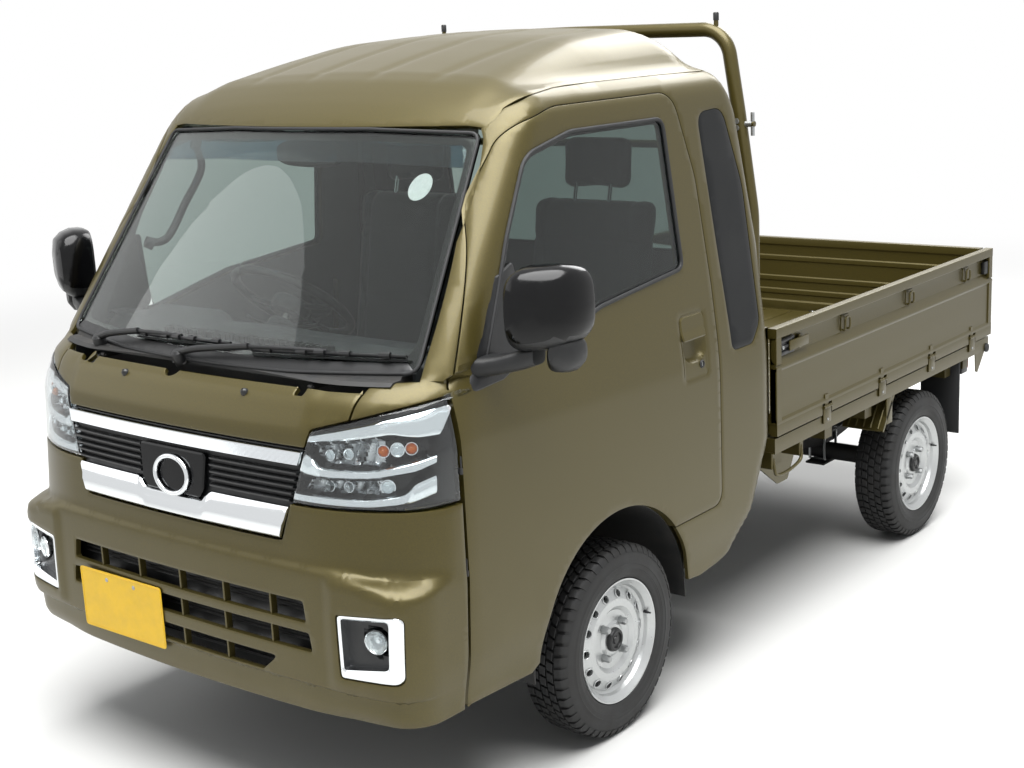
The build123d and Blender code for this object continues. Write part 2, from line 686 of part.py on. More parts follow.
def chassis():
    """Two rails that step up behind the cab, with their cross members."""
    rail_line = (
        (-1500.0, RAIL_FRONT_Z, 0), (-280.0, RAIL_FRONT_Z, 0), (120.0, RAIL_REAR_Z, 0),
        (1640.0, RAIL_REAR_Z, 0), (1640.0, RAIL_REAR_Z + RAIL_HEIGHT, 0),
        (100.0, RAIL_REAR_Z + RAIL_HEIGHT, 0), (-300.0, RAIL_FRONT_Z + RAIL_HEIGHT, 0),
        (-1500.0, RAIL_FRONT_Z + RAIL_HEIGHT, 0))
    low = RAIL_X - RAIL_WIDTH / 2
    high = RAIL_X + RAIL_WIDTH / 2
    frame = prism_x(rail_line, low, high) + prism_x(rail_line, -high, -low)
    cross_members = (
        # y, z
        (-1480.0, RAIL_FRONT_Z), (-760.0, RAIL_FRONT_Z), (-150.0, RAIL_FRONT_Z + 30),
        (160.0, RAIL_REAR_Z + 20), (760.0, RAIL_REAR_Z + 20), (1380.0, RAIL_REAR_Z + 20),
        (1600.0, RAIL_REAR_Z + 10))
    for y, z in cross_members:
        frame += block(-low, low, y, y + 50, z, z + 50)
    # Body mounts between the rails and the cab floor
    rail_top = RAIL_FRONT_Z + RAIL_HEIGHT
    for y in (-1450.0, -1270.0):
        for side in (1, -1):
            frame += block(side * RAIL_X - 25, side * RAIL_X + 25, y, y + 50, rail_top - 1, FLOOR_Z)
    # Outriggers to the cab sills and the bumper stays
    for side in (1, -1):
        x0, x1 = sorted((side * (high - 5), side * 400.0))
        frame += block(x0, x1, -420, -380, RAIL_FRONT_Z + 10, RAIL_FRONT_Z + 60)
        x0, x1 = sorted((side * 390.0, side * (HALF_WIDTH - CAB_WALL)))
        frame += block(x0, x1, -420, -380, RAIL_FRONT_Z + 10, RAIL_FRONT_Z + 60)
    return frame


def front_suspension():
    """Cross member, lower arms, struts and the steering rack."""
    y = AXLE_FRONT
    parts = block(-300, 300, y - 60, y + 60, 200, RAIL_FRONT_Z)
    for side in (1, -1):
        arm = (
            (side * 290, y - 90, 0), (side * 290, y + 110, 0), (side * (KINGPIN_X + 26), y + 26, 20),
            (side * (KINGPIN_X + 26), y - 26, 20))
        parts += prism_z(arm, 160, 182)
        parts += block(min(side * 250, side * 300), max(side * 250, side * 300), y - 90, y + 110, 160, 230)
        # Ball joint below the knuckle, strut rod above it
        parts += rod((side * KINGPIN_X, y, 175), (side * KINGPIN_X, y, 215), KINGPIN_RADIUS)
        parts += rod((side * 300, y - 110, 262), (side * 430, y - 100, 262), 9)
    parts += rod((-300, y - 110, 262), (300, y - 110, 262), 22)
    parts += block(-60, 60, y - 112, y - 50, 240, 284)
    struts = []
    for side in (1, -1):
        strut = rod((side * KINGPIN_X, y, 365), (side * KINGPIN_X, y, 636), KINGPIN_RADIUS)
        reach = STRUT_TOP_RADIUS + abs(ARCH_Y - y)
        top = ARCH_Z + math.sqrt((ARCH_RADIUS + 13) ** 2 - reach ** 2) - SEAT_GAP
        strut += rod((side * KINGPIN_X, y, 600), (side * KINGPIN_X, y, top), STRUT_TOP_RADIUS)
        struts.append(strut)
    return parts, struts


def knuckle(side):
    """Steered upright with the spindle; its lower eye and damper tube turn on the kingpin line."""
    x = side * KINGPIN_X
    y = AXLE_FRONT
    tube = rod((x, y, 195), (x, y, 235), 24)
    upright = block(min(x - 14, x + 14), max(x - 14, x + 14), y - 26, y + 26, 216, 320)
    damper = rod((x, y, 300), (x, y, 560), 25)
    body = tube + upright + damper
    body += block(x - 10, x + 10, y - 130, y, 250, 274)
    body += rod((x, y, TYRE_RADIUS), (side * (TREAD_HALF + 46), y, TYRE_RADIUS), SPINDLE_RADIUS)
    body -= rod((x, y, 190), (x, y, 216), KINGPIN_RADIUS + RUNNING_CLEARANCE)
    body -= rod((x, y, 355), (x, y, 565), KINGPIN_RADIUS + RUNNING_CLEARANCE)
    return body


TYRE_PROFILE = (
    # across from the middle, radius
    (-56.5, RIM_RADIUS + SEAT_GAP), (-58.5, 170.4), (-64.5, 170.4), (-69.0, 185.0), (-72.5, 212.0),
    (-70.0, 238.0), (-62.0, 256.0), (-50.0, 263.0), (0.0, TYRE_RADIUS), (50.0, 263.0), (62.0, 256.0),
    (70.0, 238.0), (72.5, 212.0), (69.0, 185.0), (64.5, 170.4), (58.5, 170.4),
    (56.5, RIM_RADIUS + SEAT_GAP),
)
RIM_PROFILE = (
    # across from the middle towards the outside, radius
    (-64.0, 170.0), (-59.0, 170.0), (-57.0, RIM_RADIUS), (57.0, RIM_RADIUS), (59.0, 170.0), (64.0, 170.0),
    (64.0, 166.0), (50.0, 152.0), (40.0, 148.0), (34.0, 140.0), (46.0, 112.0), (46.0, 92.0), (36.0, 80.0),
    (36.0, 50.0), (42.0, 40.0), (42.0, SPINDLE_RADIUS + RUNNING_CLEARANCE),
    (26.0, SPINDLE_RADIUS + RUNNING_CLEARANCE), (26.0, 82.0), (37.0, 96.0), (37.0, 108.0), (24.0, 140.0),
    (24.0, 154.0), (-64.0, 154.0),
)
RIM_HOLES = 14
RIM_HOLE_CIRCLE = 126.0
RIM_HOLE_RADIUS = 10.5


def tyre(side, y):
    """Tyre turned about the axle."""
    return wheel_turn(TYRE_PROFILE, side * TREAD_HALF, y, TYRE_RADIUS)


def rim(side, y):
    """Dished wheel disc with its ring of round holes."""
    profile = [(side * across, radius) for across, radius in RIM_PROFILE]
    disc = wheel_turn(profile, side * TREAD_HALF, y, TYRE_RADIUS)
    for index in range(RIM_HOLES):
        angle = 360.0 * index / RIM_HOLES
        hole_y = y + RIM_HOLE_CIRCLE * cosd(angle)
        hole_z = TYRE_RADIUS + RIM_HOLE_CIRCLE * sind(angle)
        start = side * (TREAD_HALF + 18)
        disc -= rod((start, hole_y, hole_z), (side * (TREAD_HALF + 50), hole_y, hole_z), RIM_HOLE_RADIUS)
    return disc


def rear_axle():
    """Solid axle with its differential, nose and two spindles."""
    z = TYRE_RADIUS
    y = AXLE_REAR
    axle = rod((-560, y, z), (560, y, z), 32)
    axle += rod((0, y - 60, z), (0, y + 70, z), 105)
    axle += rod((0, y - 150, z), (0, y - 50, z), 45)
    for side in (1, -1):
        axle += rod((side * 550, y, z), (side * 572, y, z), 70)
        axle += rod((side * 560, y, z), (side * (TREAD_HALF + 46), y, z), SPINDLE_RADIUS)
    return axle


def leaf_spring(side):
    """Leaf pack with its two hangers."""
    y = AXLE_REAR
    z = TYRE_RADIUS + 32 + SEAT_GAP
    line = (
        (y - 520, RAIL_REAR_Z - 30, 0), (y - 60, z, 0), (y + 60, z, 0), (y + 520, RAIL_REAR_Z - 30, 0),
        (y + 520, RAIL_REAR_Z, 0), (y + 480, RAIL_REAR_Z, 0), (y + 480, RAIL_REAR_Z - 20, 0),
        (y + 70, z + 34, 0), (y - 70, z + 34, 0), (y - 480, RAIL_REAR_Z - 20, 0),
        (y - 480, RAIL_REAR_Z, 0), (y - 520, RAIL_REAR_Z, 0))
    return prism_x(line, side * RAIL_X - 25, side * RAIL_X + 25)


def windscreen_wipers():
    """Two arms on upright pivots, each resting over the lower glass."""
    solids = []
    for pivot_x, pivot_y, tip_x, tip_z in WIPERS:
        foot = (pivot_x, pivot_y, WIPER_FOOT_Z)
        arm = rod(foot, (pivot_x, pivot_y, WIPER_HEAD_Z), WIPER_PIVOT_RADIUS)
        start = (pivot_x, pivot_y, WIPER_HEAD_Z - 3)
        arm += rod(start, screen_point(tip_x, tip_z, WIPER_PROUD), WIPER_PIVOT_RADIUS)
        solids.append(arm)
    return solids


def screen_point(x, z, proud):
    """Point standing in front of the windscreen at x and height z."""
    slope = (SCREEN_HIGH[0] - SCREEN_LOW[0]) / (SCREEN_HIGH[1] - SCREEN_LOW[1])
    sag = SCREEN_RADIUS - math.sqrt(SCREEN_RADIUS ** 2 - x ** 2)
    return (x, SCREEN_LOW[0] + slope * (z - SCREEN_LOW[1]) + sag - proud, z)


# Cabin
STEERING_CENTRE = (-350.0, -905.0, 1120.0)
STEERING_RADIUS = 182.0
COLUMN_TILT = 50.0


def steering_wheel():
    """Rim, three spokes, hub and shaft about the tilted column."""
    cx, cy, cz = STEERING_CENTRE
    axis = Vector(0, cosd(COLUMN_TILT), sind(COLUMN_TILT))
    plane = Plane(origin=(cx, cy, cz), x_dir=(1, 0, 0), z_dir=axis)
    ring = plane * Torus(STEERING_RADIUS, 14)
    hub = plane * (Pos(0, 0, -14) * Cylinder(62, 40))
    wheel = ring + hub
    for angle in (0, 90, 180):
        direction = plane.x_dir * cosd(angle) + plane.y_dir * sind(angle)
        start = Vector(cx, cy, cz) - axis * 10 + direction * 50
        end = Vector(cx, cy, cz) + direction * (STEERING_RADIUS - 4)
        wheel += rod(start, end, 12)
    end = Vector(cx, cy, cz) - axis * 250
    wheel += rod(Vector(cx, cy, cz) - axis * 30, end, 11)
    return wheel


def dashboard():
    """Dash with the shroud that carries the steering column."""
    line = (
        (-1440.0, 1126.0, 0), (-1300.0, 1165.0, 30), (-1250.0, 1120.0, 30), (-1270.0, 900.0, 40),
        (-1360.0, 820.0, 30), (-1440.0, 800.0, 0))
    dash = prism_x(line, -640, 640) & cab_front_limit(CAB_WALL + 10)
    cx, cy, cz = STEERING_CENTRE
    axis = Vector(0, cosd(COLUMN_TILT), sind(COLUMN_TILT))
    centre = Vector(cx, cy, cz)
    shroud = rod(centre - axis * 60, centre - axis * 330, 45)
    bore = rod(centre - axis * 30, centre - axis * 262, 11 + RUNNING_CLEARANCE)
    dash += shroud + block(cx - 50, cx + 50, -1300, -1080, 880, 940)
    return dash - bore


def seat(centre_x):
    """Cushion, back and head rest of one seat."""
    half = 225.0
    base = SEAT_BASE_Z + FLOOR_THICKNESS + SEAT_GAP
    cushion = block(centre_x - half, centre_x + half, -960, -430, base, base + 150)
    back_line = (
        (-505.0, base + 150 + SEAT_GAP, 0), (-385.0, base + 150 + SEAT_GAP, 0), (-290.0, 1400.0, 35),
        (-375.0, 1400.0, 35))
    back = prism_x(back_line, centre_x - half + 10, centre_x + half - 10)
    head_line = (
        (-365.0, 1400.0 + SEAT_GAP, 0), (-310.0, 1400.0 + SEAT_GAP, 0), (-285.0, 1565.0, 22),
        (-355.0, 1565.0, 22))
    head = prism_x(head_line, centre_x - 120, centre_x + 120)
    return cushion + back + head


# Doors
def mirror_housing(base):
    """Outside mirror on the left door, its arm on the plate in the window corner."""
    head = (
        (-1392.0, 1215.0, 30), (-1385.0, 1362.0, 50), (-1085.0, 1345.0, 50), (-1060.0, 1235.0, 40),
        (-1085.0, 1110.0, 30), (-1220.0, 1105.0, 30))
    shape = prism_x(head, 790, 966)
    shape &= block(780, 970, -1400, -1000, 1000, 1400)
    arm = rod((708, -1250, 1140), (800, -1230, 1155), 26)
    return shape + arm + base


def guard_frame():
    """Bent tube arch behind the cab with two pegs and side hooks."""
    y = 40.0
    radius = 21.0
    path = FilletPolyline(
        (640, y, DECK_Z - 60), (640, y, 1300), (598, y, 1600), (560, y, 1836), (0, y, 1840), (-560, y, 1836),
        (-598, y, 1600), (-640, y, 1300), (-640, y, DECK_Z - 60),
        radius=[400, 400, 90, 4000, 90, 400, 400])
    tube = sweep(Plane(origin=path @ 0, z_dir=path % 0) * Circle(radius), path=path)
    for side in (1, -1):
        tube += rod_z(side * 527, y, 1840, 1885, 7)
        tube += rod_x(side * 600, side * 652, y, 1562, 8)
    tube += rod_x(-640, 640, y, 1500, 12) & block(-622, 622, y - 30, y + 30, 1400, 1600)
    tube += rod_x(-640, 640, y, 1000, 16)
    return tube


# Bed
SILL_BOTTOM_Z = 575.0
SILL_TOP_Z = 620.0
CROSS_SILL_PLACES = (60.0, 400.0, 690.0, 1352.0, 1520.0)


def deck():
    """Floor, front wall, side sills and cross sills."""
    deck_rear = TAIL_OUTER_Y - GATE_THICKNESS - GATE_CLEARANCE
    underside = DECK_Z - DECK_THICKNESS
    bed = block(-DECK_HALF_WIDTH, DECK_HALF_WIDTH, BED_FRONT, deck_rear, underside, DECK_Z)
    bed += block(-DECK_HALF_WIDTH, DECK_HALF_WIDTH, BED_FRONT, BED_FRONT + 4, DECK_Z, GATE_TOP_Z)
    rear = TAIL_OUTER_Y - 12
    for side in (1, -1):
        x0, x1 = sorted((side * (DECK_HALF_WIDTH - 60), side * (GATE_OUTER_X - 6)))
        bed += block(x0, x1, BED_FRONT, rear, SILL_BOTTOM_Z, SILL_TOP_Z)
        x0, x1 = sorted((side * (DECK_HALF_WIDTH - 60), side * DECK_HALF_WIDTH))
        bed += block(x0, x1, BED_FRONT, deck_rear, SILL_TOP_Z - 20, underside)
    bed += block(-GATE_OUTER_X + 6, GATE_OUTER_X - 6, rear - 50, rear, SILL_BOTTOM_Z, SILL_TOP_Z)
    half = DECK_HALF_WIDTH - 2
    for y in CROSS_SILL_PLACES:
        bed += block(-half, half, y, y + 50, RAIL_REAR_Z + RAIL_HEIGHT, underside)
    hole_cut = rod_z(640, 40, 500, DECK_Z + 10, 21 + SEAT_GAP)
    return bed - hole_cut - mirrored(hole_cut)


GATE_HINGE_PLACES = (341.0, 741.0, 1142.0, 1505.0)
TAIL_HINGE_PLACES = (-520.0, 0.0, 520.0)
GATE_BORE = HINGE_PIN_RADIUS + RUNNING_CLEARANCE
GATE_BARREL_HALF = 12.0
GATE_PIN_HALF = 26.0
# Recessed band along the top of each gate, and the lower one of the side gates
BAND_LOW_Z = 852
BAND_HIGH_Z = 925
LOWER_BAND_LOW_Z = 686
LOWER_BAND_HIGH_Z = 840


def side_gate():
    """Left drop gate with its recessed band and hinge barrels."""
    outer_x = GATE_OUTER_X
    inner_x = outer_x - GATE_THICKNESS
    rear = REAR - 8.0
    gate = block(inner_x, outer_x, BED_FRONT + 5, rear, GATE_BOTTOM_Z, GATE_TOP_Z)
    edge = (
        (inner_x - 5, GATE_BOTTOM_Z - 5, 0), (inner_x + GATE_EDGE_CHAMFER, GATE_BOTTOM_Z - 5, 0),
        (inner_x + GATE_EDGE_CHAMFER, GATE_BOTTOM_Z, 0), (inner_x, GATE_BOTTOM_Z + GATE_EDGE_CHAMFER, 0),
        (inner_x - 5, GATE_BOTTOM_Z + GATE_EDGE_CHAMFER, 0))
    gate -= prism_y(edge, BED_FRONT, REAR)
    gate -= block(outer_x - 10, outer_x + 5, BED_FRONT + 40, rear - 40, BAND_LOW_Z, BAND_HIGH_Z)
    gate -= block(
        outer_x - 5, outer_x + 5, BED_FRONT + 30, rear - 30, LOWER_BAND_LOW_Z, LOWER_BAND_HIGH_Z)
    pin_z = GATE_HINGE_Z
    for y in GATE_HINGE_PLACES:
        low, high = y - GATE_BARREL_HALF, y + GATE_BARREL_HALF
        gate -= block(inner_x - 5, outer_x + 5, y - 32, y + 32, GATE_BOTTOM_Z - 5, pin_z + 12)
        gate += rod_y(GATE_HINGE_X, low, high, pin_z, HINGE_BARREL_RADIUS)
        gate += block(outer_x - 8, outer_x - 1, low, high, pin_z, pin_z + 13)
    for y in GATE_HINGE_PLACES:
        gate -= rod_y(GATE_HINGE_X, y - 40, y + 40, pin_z, GATE_BORE)
    return gate


def side_gate_hinges():
    """Deck halves of the left gate's hinges, with their pins."""
    solids = []
    pin_z = GATE_HINGE_Z
    for y in GATE_HINGE_PLACES:
        pin = rod_y(GATE_HINGE_X, y - GATE_PIN_HALF, y + GATE_PIN_HALF, pin_z, HINGE_PIN_RADIUS)
        for low in (y - GATE_PIN_HALF, y + GATE_PIN_HALF - 12):
            pin += rod_y(GATE_HINGE_X, low, low + 12, pin_z, HINGE_BARREL_RADIUS)
            pin += block(GATE_OUTER_X - 6, GATE_OUTER_X + 0.5, low, low + 12, 600, pin_z)
        solids.append(pin)
    return solids


def tail_gate():
    """Rear drop gate with its recessed band and hinge barrels."""
    outer_y = TAIL_OUTER_Y
    inner_y = outer_y - GATE_THICKNESS
    half = GATE_OUTER_X - GATE_THICKNESS - GATE_CLEARANCE
    gate = block(-half, half, inner_y, outer_y, GATE_BOTTOM_Z, GATE_TOP_Z)
    edge = (
        (inner_y - 5, GATE_BOTTOM_Z - 5, 0), (inner_y + GATE_EDGE_CHAMFER, GATE_BOTTOM_Z - 5, 0),
        (inner_y + GATE_EDGE_CHAMFER, GATE_BOTTOM_Z, 0), (inner_y, GATE_BOTTOM_Z + GATE_EDGE_CHAMFER, 0),
        (inner_y - 5, GATE_BOTTOM_Z + GATE_EDGE_CHAMFER, 0))
    gate -= prism_x(edge, -half - 5, half + 5)
    gate -= block(-half + 40, half - 40, outer_y - 10, outer_y + 5, BAND_LOW_Z, BAND_HIGH_Z)
    pin_z = GATE_HINGE_Z
    for x in TAIL_HINGE_PLACES:
        low, high = x - GATE_BARREL_HALF, x + GATE_BARREL_HALF
        gate -= block(x - 32, x + 32, inner_y - 5, outer_y + 5, GATE_BOTTOM_Z - 5, pin_z + 12)
        gate += rod_x(low, high, TAIL_HINGE_Y, pin_z, HINGE_BARREL_RADIUS)
        gate += block(low, high, outer_y - 8, outer_y - 1, pin_z, pin_z + 13)
    for x in TAIL_HINGE_PLACES:
        gate -= rod_x(x - 40, x + 40, TAIL_HINGE_Y, pin_z, GATE_BORE)
    return gate


def tail_gate_hinges():
    """Deck halves of the tail gate's hinges, with their pins."""
    solids = []
    rear = TAIL_OUTER_Y - 12
    pin_z = GATE_HINGE_Z
    for x in TAIL_HINGE_PLACES:
        pin = rod_x(x - GATE_PIN_HALF, x + GATE_PIN_HALF, TAIL_HINGE_Y, pin_z, HINGE_PIN_RADIUS)
        for low in (x - GATE_PIN_HALF, x + GATE_PIN_HALF - 12):
            pin += rod_x(low, low + 12, TAIL_HINGE_Y, pin_z, HINGE_BARREL_RADIUS)
            pin += block(low, low + 12, rear, TAIL_OUTER_Y + 0.5, 600, pin_z)
        solids.append(pin)
    return solids


def rear_mudguards():
    """Front guard plate and rear flap of each back wheel."""
    plate = ((832, 575, 0), (738, 480, 0), (752, 472, 0), (842, 563, 0), (862, 575, 0))
    flap = ((1405, 575, 0), (1420, 575, 0), (1417, 300, 0), (1407, 300, 0))
    solids = []
    for side in (1, -1):
        x0, x1 = sorted((side * 572.0, side * 724.0))
        solids.append(prism_x(plate, x0, x1))
        solids.append(prism_x(flap, x0, x1))
    return solids


def tail_lamps():
    """Lamp blocks and number plate bar under the rear of the bed."""
    solids = []
    for side in (1, -1):
        x0, x1 = sorted((side * 440.0, side * 660.0))
        solids.append(block(x0, x1, REAR - 110, REAR - 25, 480, 575))
    return solids


def fuel_tank():
    """Plain tank inside the left rail."""
    return block(70, RAIL_X - RAIL_WIDTH / 2, 215, 740, 300, RAIL_REAR_Z + 30)


def exhaust():
    """Pipe and silencer with its hanger."""
    pipe = rod((-150, -180 + SEAT_GAP, 330), (-150, 330, 330), 22)
    pipe += rod((-150, 300, 330), (-150, 800, 330), 80)
    pipe += rod((-150, 760, 330), (-150, 960, 330), 20)
    pipe += block(-160, -140, 770, 790, 330, RAIL_REAR_Z + 20)
    return pipe


def propeller_shaft():
    """Shaft from the engine block to the rear axle."""
    return rod((0, -179 + SEAT_GAP, 300), (0, AXLE_REAR - 151 - SEAT_GAP, TYRE_RADIUS), 30)


def number_plate():
    """Blank plate on its bracket, right of the middle of the bumper."""
    plate = block(-400, -70, FRONT, FRONT + 2, 380, 550)
    return plate + (block(-330, -140, FRONT + 2, FRONT + 30, 452, 482) - bumper_limit(0))


def build():
    """Write every node of the truck."""
    cab = cab_pieces()
    skin, fog = bumper_pieces(cab["outer"])
    save("cab_roof", cab["roof"])
    save("cab_side_left", cab["left"])
    save("cab_side_right", mirrored(cab["left"]))
    save("cab_back", cab["back"])
    save("cab_front", cab_front_panel(cab["cowl"]))
    save("cab_floor", cab_floor_pan())
    save("front_lid", cab["lid"])
    save("front_bumper", skin)
    save("grille", cab["grille"])
    save("front_lamps", cab["lamp"], mirrored(cab["lamp"]), fog, mirrored(fog))
    save("windscreen", cab["windscreen"])
    save("fixed_windows", cab["rear_glass"], cab["quarter"], mirrored(cab["quarter"]))
    save("wipers", *windscreen_wipers())
    save("door_left", cab["door"])
    save("door_right", mirrored(cab["door"]))
    save("door_glass_left", cab["door_glass"])
    save("door_glass_right", mirrored(cab["door_glass"]))
    housing = mirror_housing(cab["mirror_base"])
    save("mirror_left", housing)
    save("mirror_right", mirrored(housing))
    save("dashboard", dashboard())
    save("steering_wheel", steering_wheel())
    save("seats", seat(-350.0), seat(350.0))
    save("engine_block", engine())
    save("chassis_frame", chassis())
    lower, struts = front_suspension()
    save("front_suspension", lower, *struts)
    for side, name in ((1, "left"), (-1, "right")):
        save(f"knuckle_{name}", knuckle(side))
        for y, end in ((AXLE_FRONT, "front"), (AXLE_REAR, "rear")):
            save(f"tyre_{end}_{name}", tyre(side, y))
            save(f"rim_{end}_{name}", rim(side, y))
    save("rear_axle", rear_axle())
    save("leaf_springs", leaf_spring(1), leaf_spring(-1))
    save("propeller_shaft", propeller_shaft())
    save("fuel_tank", fuel_tank())
    save("exhaust", exhaust())
    bed = deck()
    hinges = side_gate_hinges()
    for hinge in hinges + [mirrored(item) for item in hinges] + tail_gate_hinges():
        bed += hinge
    save("bed_deck", bed)
    save("guard_frame", guard_frame())
    gate = side_gate()
    save("side_gate_left", gate)
    save("side_gate_right", mirrored(gate))
    save("tail_gate", tail_gate())
    save("rear_mudguards", *rear_mudguards())
    save("tail_lamps", *tail_lamps())
    save("number_plate", number_plate())


build()
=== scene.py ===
# %% [markdown]
# # A small pickup truck, finished in Blender
# The truck's solids were drawn in CAD and packed as a frame. This lesson loads that frame and builds
# what the eye sees around it: smooth painted panels, glass, lamps, tyres, seats and trim.
# Everything is in metres: +Z is up, the truck faces -Y and +X is the passenger's side.

# %% Load the frame
import bpy
import bmesh
import math
import numpy as np
from mathutils import Matrix, Vector
from mathutils.geometry import delaunay_2d_cdt


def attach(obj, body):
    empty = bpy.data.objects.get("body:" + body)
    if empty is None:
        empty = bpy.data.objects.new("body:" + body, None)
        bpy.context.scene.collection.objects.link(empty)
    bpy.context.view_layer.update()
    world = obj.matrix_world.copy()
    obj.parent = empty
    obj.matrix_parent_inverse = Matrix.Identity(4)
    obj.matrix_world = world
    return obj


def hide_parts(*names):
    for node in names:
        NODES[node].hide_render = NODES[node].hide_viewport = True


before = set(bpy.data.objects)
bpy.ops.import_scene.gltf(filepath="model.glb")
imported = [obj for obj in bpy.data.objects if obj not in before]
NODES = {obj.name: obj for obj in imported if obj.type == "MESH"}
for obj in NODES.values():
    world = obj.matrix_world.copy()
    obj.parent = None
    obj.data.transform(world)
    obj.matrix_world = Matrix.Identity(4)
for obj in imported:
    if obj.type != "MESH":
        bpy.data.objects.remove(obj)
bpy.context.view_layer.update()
print("frame loaded,", len(NODES), "CAD nodes")

# %% [markdown]
# ## Camera
# The photograph was taken from a standing person's eye height, in front of the truck's passenger
# side. The place, the angles and the 54 mm lens were worked out from the wheels, the number plate
# and the bed, whose real sizes are known. The camera leans a little, as the hand-held one did.

# %% Camera at the photograph's angle
CAMERA_PLACE = Vector((2.938, -3.96, 1.9035))
CAMERA_AZIMUTH = math.radians(39.072)
CAMERA_HEIGHT_ANGLE = math.radians(13.44)
CAMERA_ROLL = math.radians(-2.828)

back = Vector((math.sin(CAMERA_AZIMUTH) * math.cos(CAMERA_HEIGHT_ANGLE),
               -math.cos(CAMERA_AZIMUTH) * math.cos(CAMERA_HEIGHT_ANGLE),
               math.sin(CAMERA_HEIGHT_ANGLE)))
level = Vector((math.cos(CAMERA_AZIMUTH), math.sin(CAMERA_AZIMUTH), 0.0))
upright = back.cross(level)
right = level * math.cos(CAMERA_ROLL) + upright * math.sin(CAMERA_ROLL)
above = upright * math.cos(CAMERA_ROLL) - level * math.sin(CAMERA_ROLL)
camera = bpy.data.objects.new("camera", bpy.data.cameras.new("camera"))
camera.data.lens = 54.12
camera.data.sensor_width = 36.0
camera.data.clip_end = 100.0
turn = Matrix((right, above, back)).transposed().to_4x4()
camera.matrix_world = Matrix.Translation(CAMERA_PLACE) @ turn
bpy.context.scene.collection.objects.link(camera)
bpy.context.scene.camera = camera
bpy.context.scene.view_settings.view_transform = "Standard"
print("camera at", tuple(round(v, 2) for v in CAMERA_PLACE))

# %% [markdown]
# ## Materials
# Each finish starts from what the real one is. One function turns an sRGB hex value into the
# linear colour that Blender mixes in, and one function adds a shader node with its settings and
# links, so that a material reads as a short recipe.

# %% Colour and node helpers
MM = 0.001


def colour(hex_value):
    """Linear RGBA from an sRGB hex string."""
    channels = [int(hex_value[i:i + 2], 16) / 255 for i in (1, 3, 5)]
    linear = [c / 12.92 if c <= 0.04045 else ((c + 0.055) / 1.055) ** 2.4 for c in channels]
    return (*linear, 1.0)


def add(tree, kind, links=None, **values):
    """Adds one node; values are its properties, and links gives its inputs a value or a socket."""
    made = tree.nodes.new(kind)
    for name, value in values.items():
        setattr(made, name, value)
    for key, value in (links or {}).items():
        socket = made.inputs[key]
        if isinstance(value, bpy.types.NodeSocket):
            tree.links.new(value, socket)
        else:
            socket.default_value = value
    return made


def material(name, base, rough, metal=0.0, **sockets):
    """A new Principled material. Returns it with its tree and its shader node."""
    made = bpy.data.materials.new(name)
    made.use_nodes = True
    tree = made.node_tree
    shader = tree.nodes["Principled BSDF"]
    shader.inputs["Base Color"].default_value = colour(base)
    shader.inputs["Roughness"].default_value = rough
    shader.inputs["Metallic"].default_value = metal
    for key, value in sockets.items():
        shader.inputs[key.replace("_", " ")].default_value = value
    return made, tree, shader


def place(tree):
    """The point on the piece, in metres."""
    return add(tree, "ShaderNodeTexCoord").outputs["Object"]


def noise(tree, size_mm, detail=3.0, vector=None, stretch=None, roughness=0.5):
    """Noise whose lumps are size_mm across; stretch scales it along X, Y and Z."""
    at = vector or place(tree)
    if stretch:
        at = add(tree, "ShaderNodeMapping", {"Vector": at, "Scale": stretch}).outputs["Vector"]
    return add(tree, "ShaderNodeTexNoise", {
        "Vector": at, "Scale": 1000.0 / size_mm, "Detail": detail, "Roughness": roughness}).outputs["Fac"]


def spread(tree, value, low, high, out_low, out_high):
    """Takes value from low..high to out_low..out_high."""
    return add(tree, "ShaderNodeMapRange", {
        "Value": value, "From Min": low, "From Max": high,
        "To Min": out_low, "To Max": out_high}).outputs["Result"]


def blend_colours(tree, share, first, second):
    """Mixes two colours, hex strings or sockets, by share."""
    mixer = add(tree, "ShaderNodeMix", data_type="RGBA")
    tree.links.new(share, mixer.inputs[0])
    for slot, value in ((6, first), (7, second)):
        if isinstance(value, str):
            mixer.inputs[slot].default_value = colour(value)
        else:
            tree.links.new(value, mixer.inputs[slot])
    return mixer.outputs[2]


def join(tree, shader, **sockets):
    """Links sockets to inputs of the shader; Base_Color stands for Base Color."""
    for key, socket in sockets.items():
        tree.links.new(socket, shader.inputs[key.replace("_", " ")])


def bump(tree, shader, height, depth_mm, strength=1.0):
    """Raises the surface by up to depth_mm where height is 1."""
    made = add(tree, "ShaderNodeBump", {"Height": height, "Distance": depth_mm * MM, "Strength": strength})
    join(tree, shader, Normal=made.outputs["Normal"])


# %% [markdown]
# ### Khaki body paint
# The cab and the bed share one baked two-coat metallic enamel: fine aluminium flakes in an
# olive-beige base under clear lacquer. The flakes give a bright, soft highlight that falls off
# quickly, the lacquer a sharp one. A trace of road dust dulls the lower panels. The real orange
# peel is about 3 mm from crest to crest; it is kept very shallow.

# %% Body paint
PAINT_BASE = "#4C4319"
PAINT_SHADE = "#433C1B"
PAINT_DUST = "#6F684E"


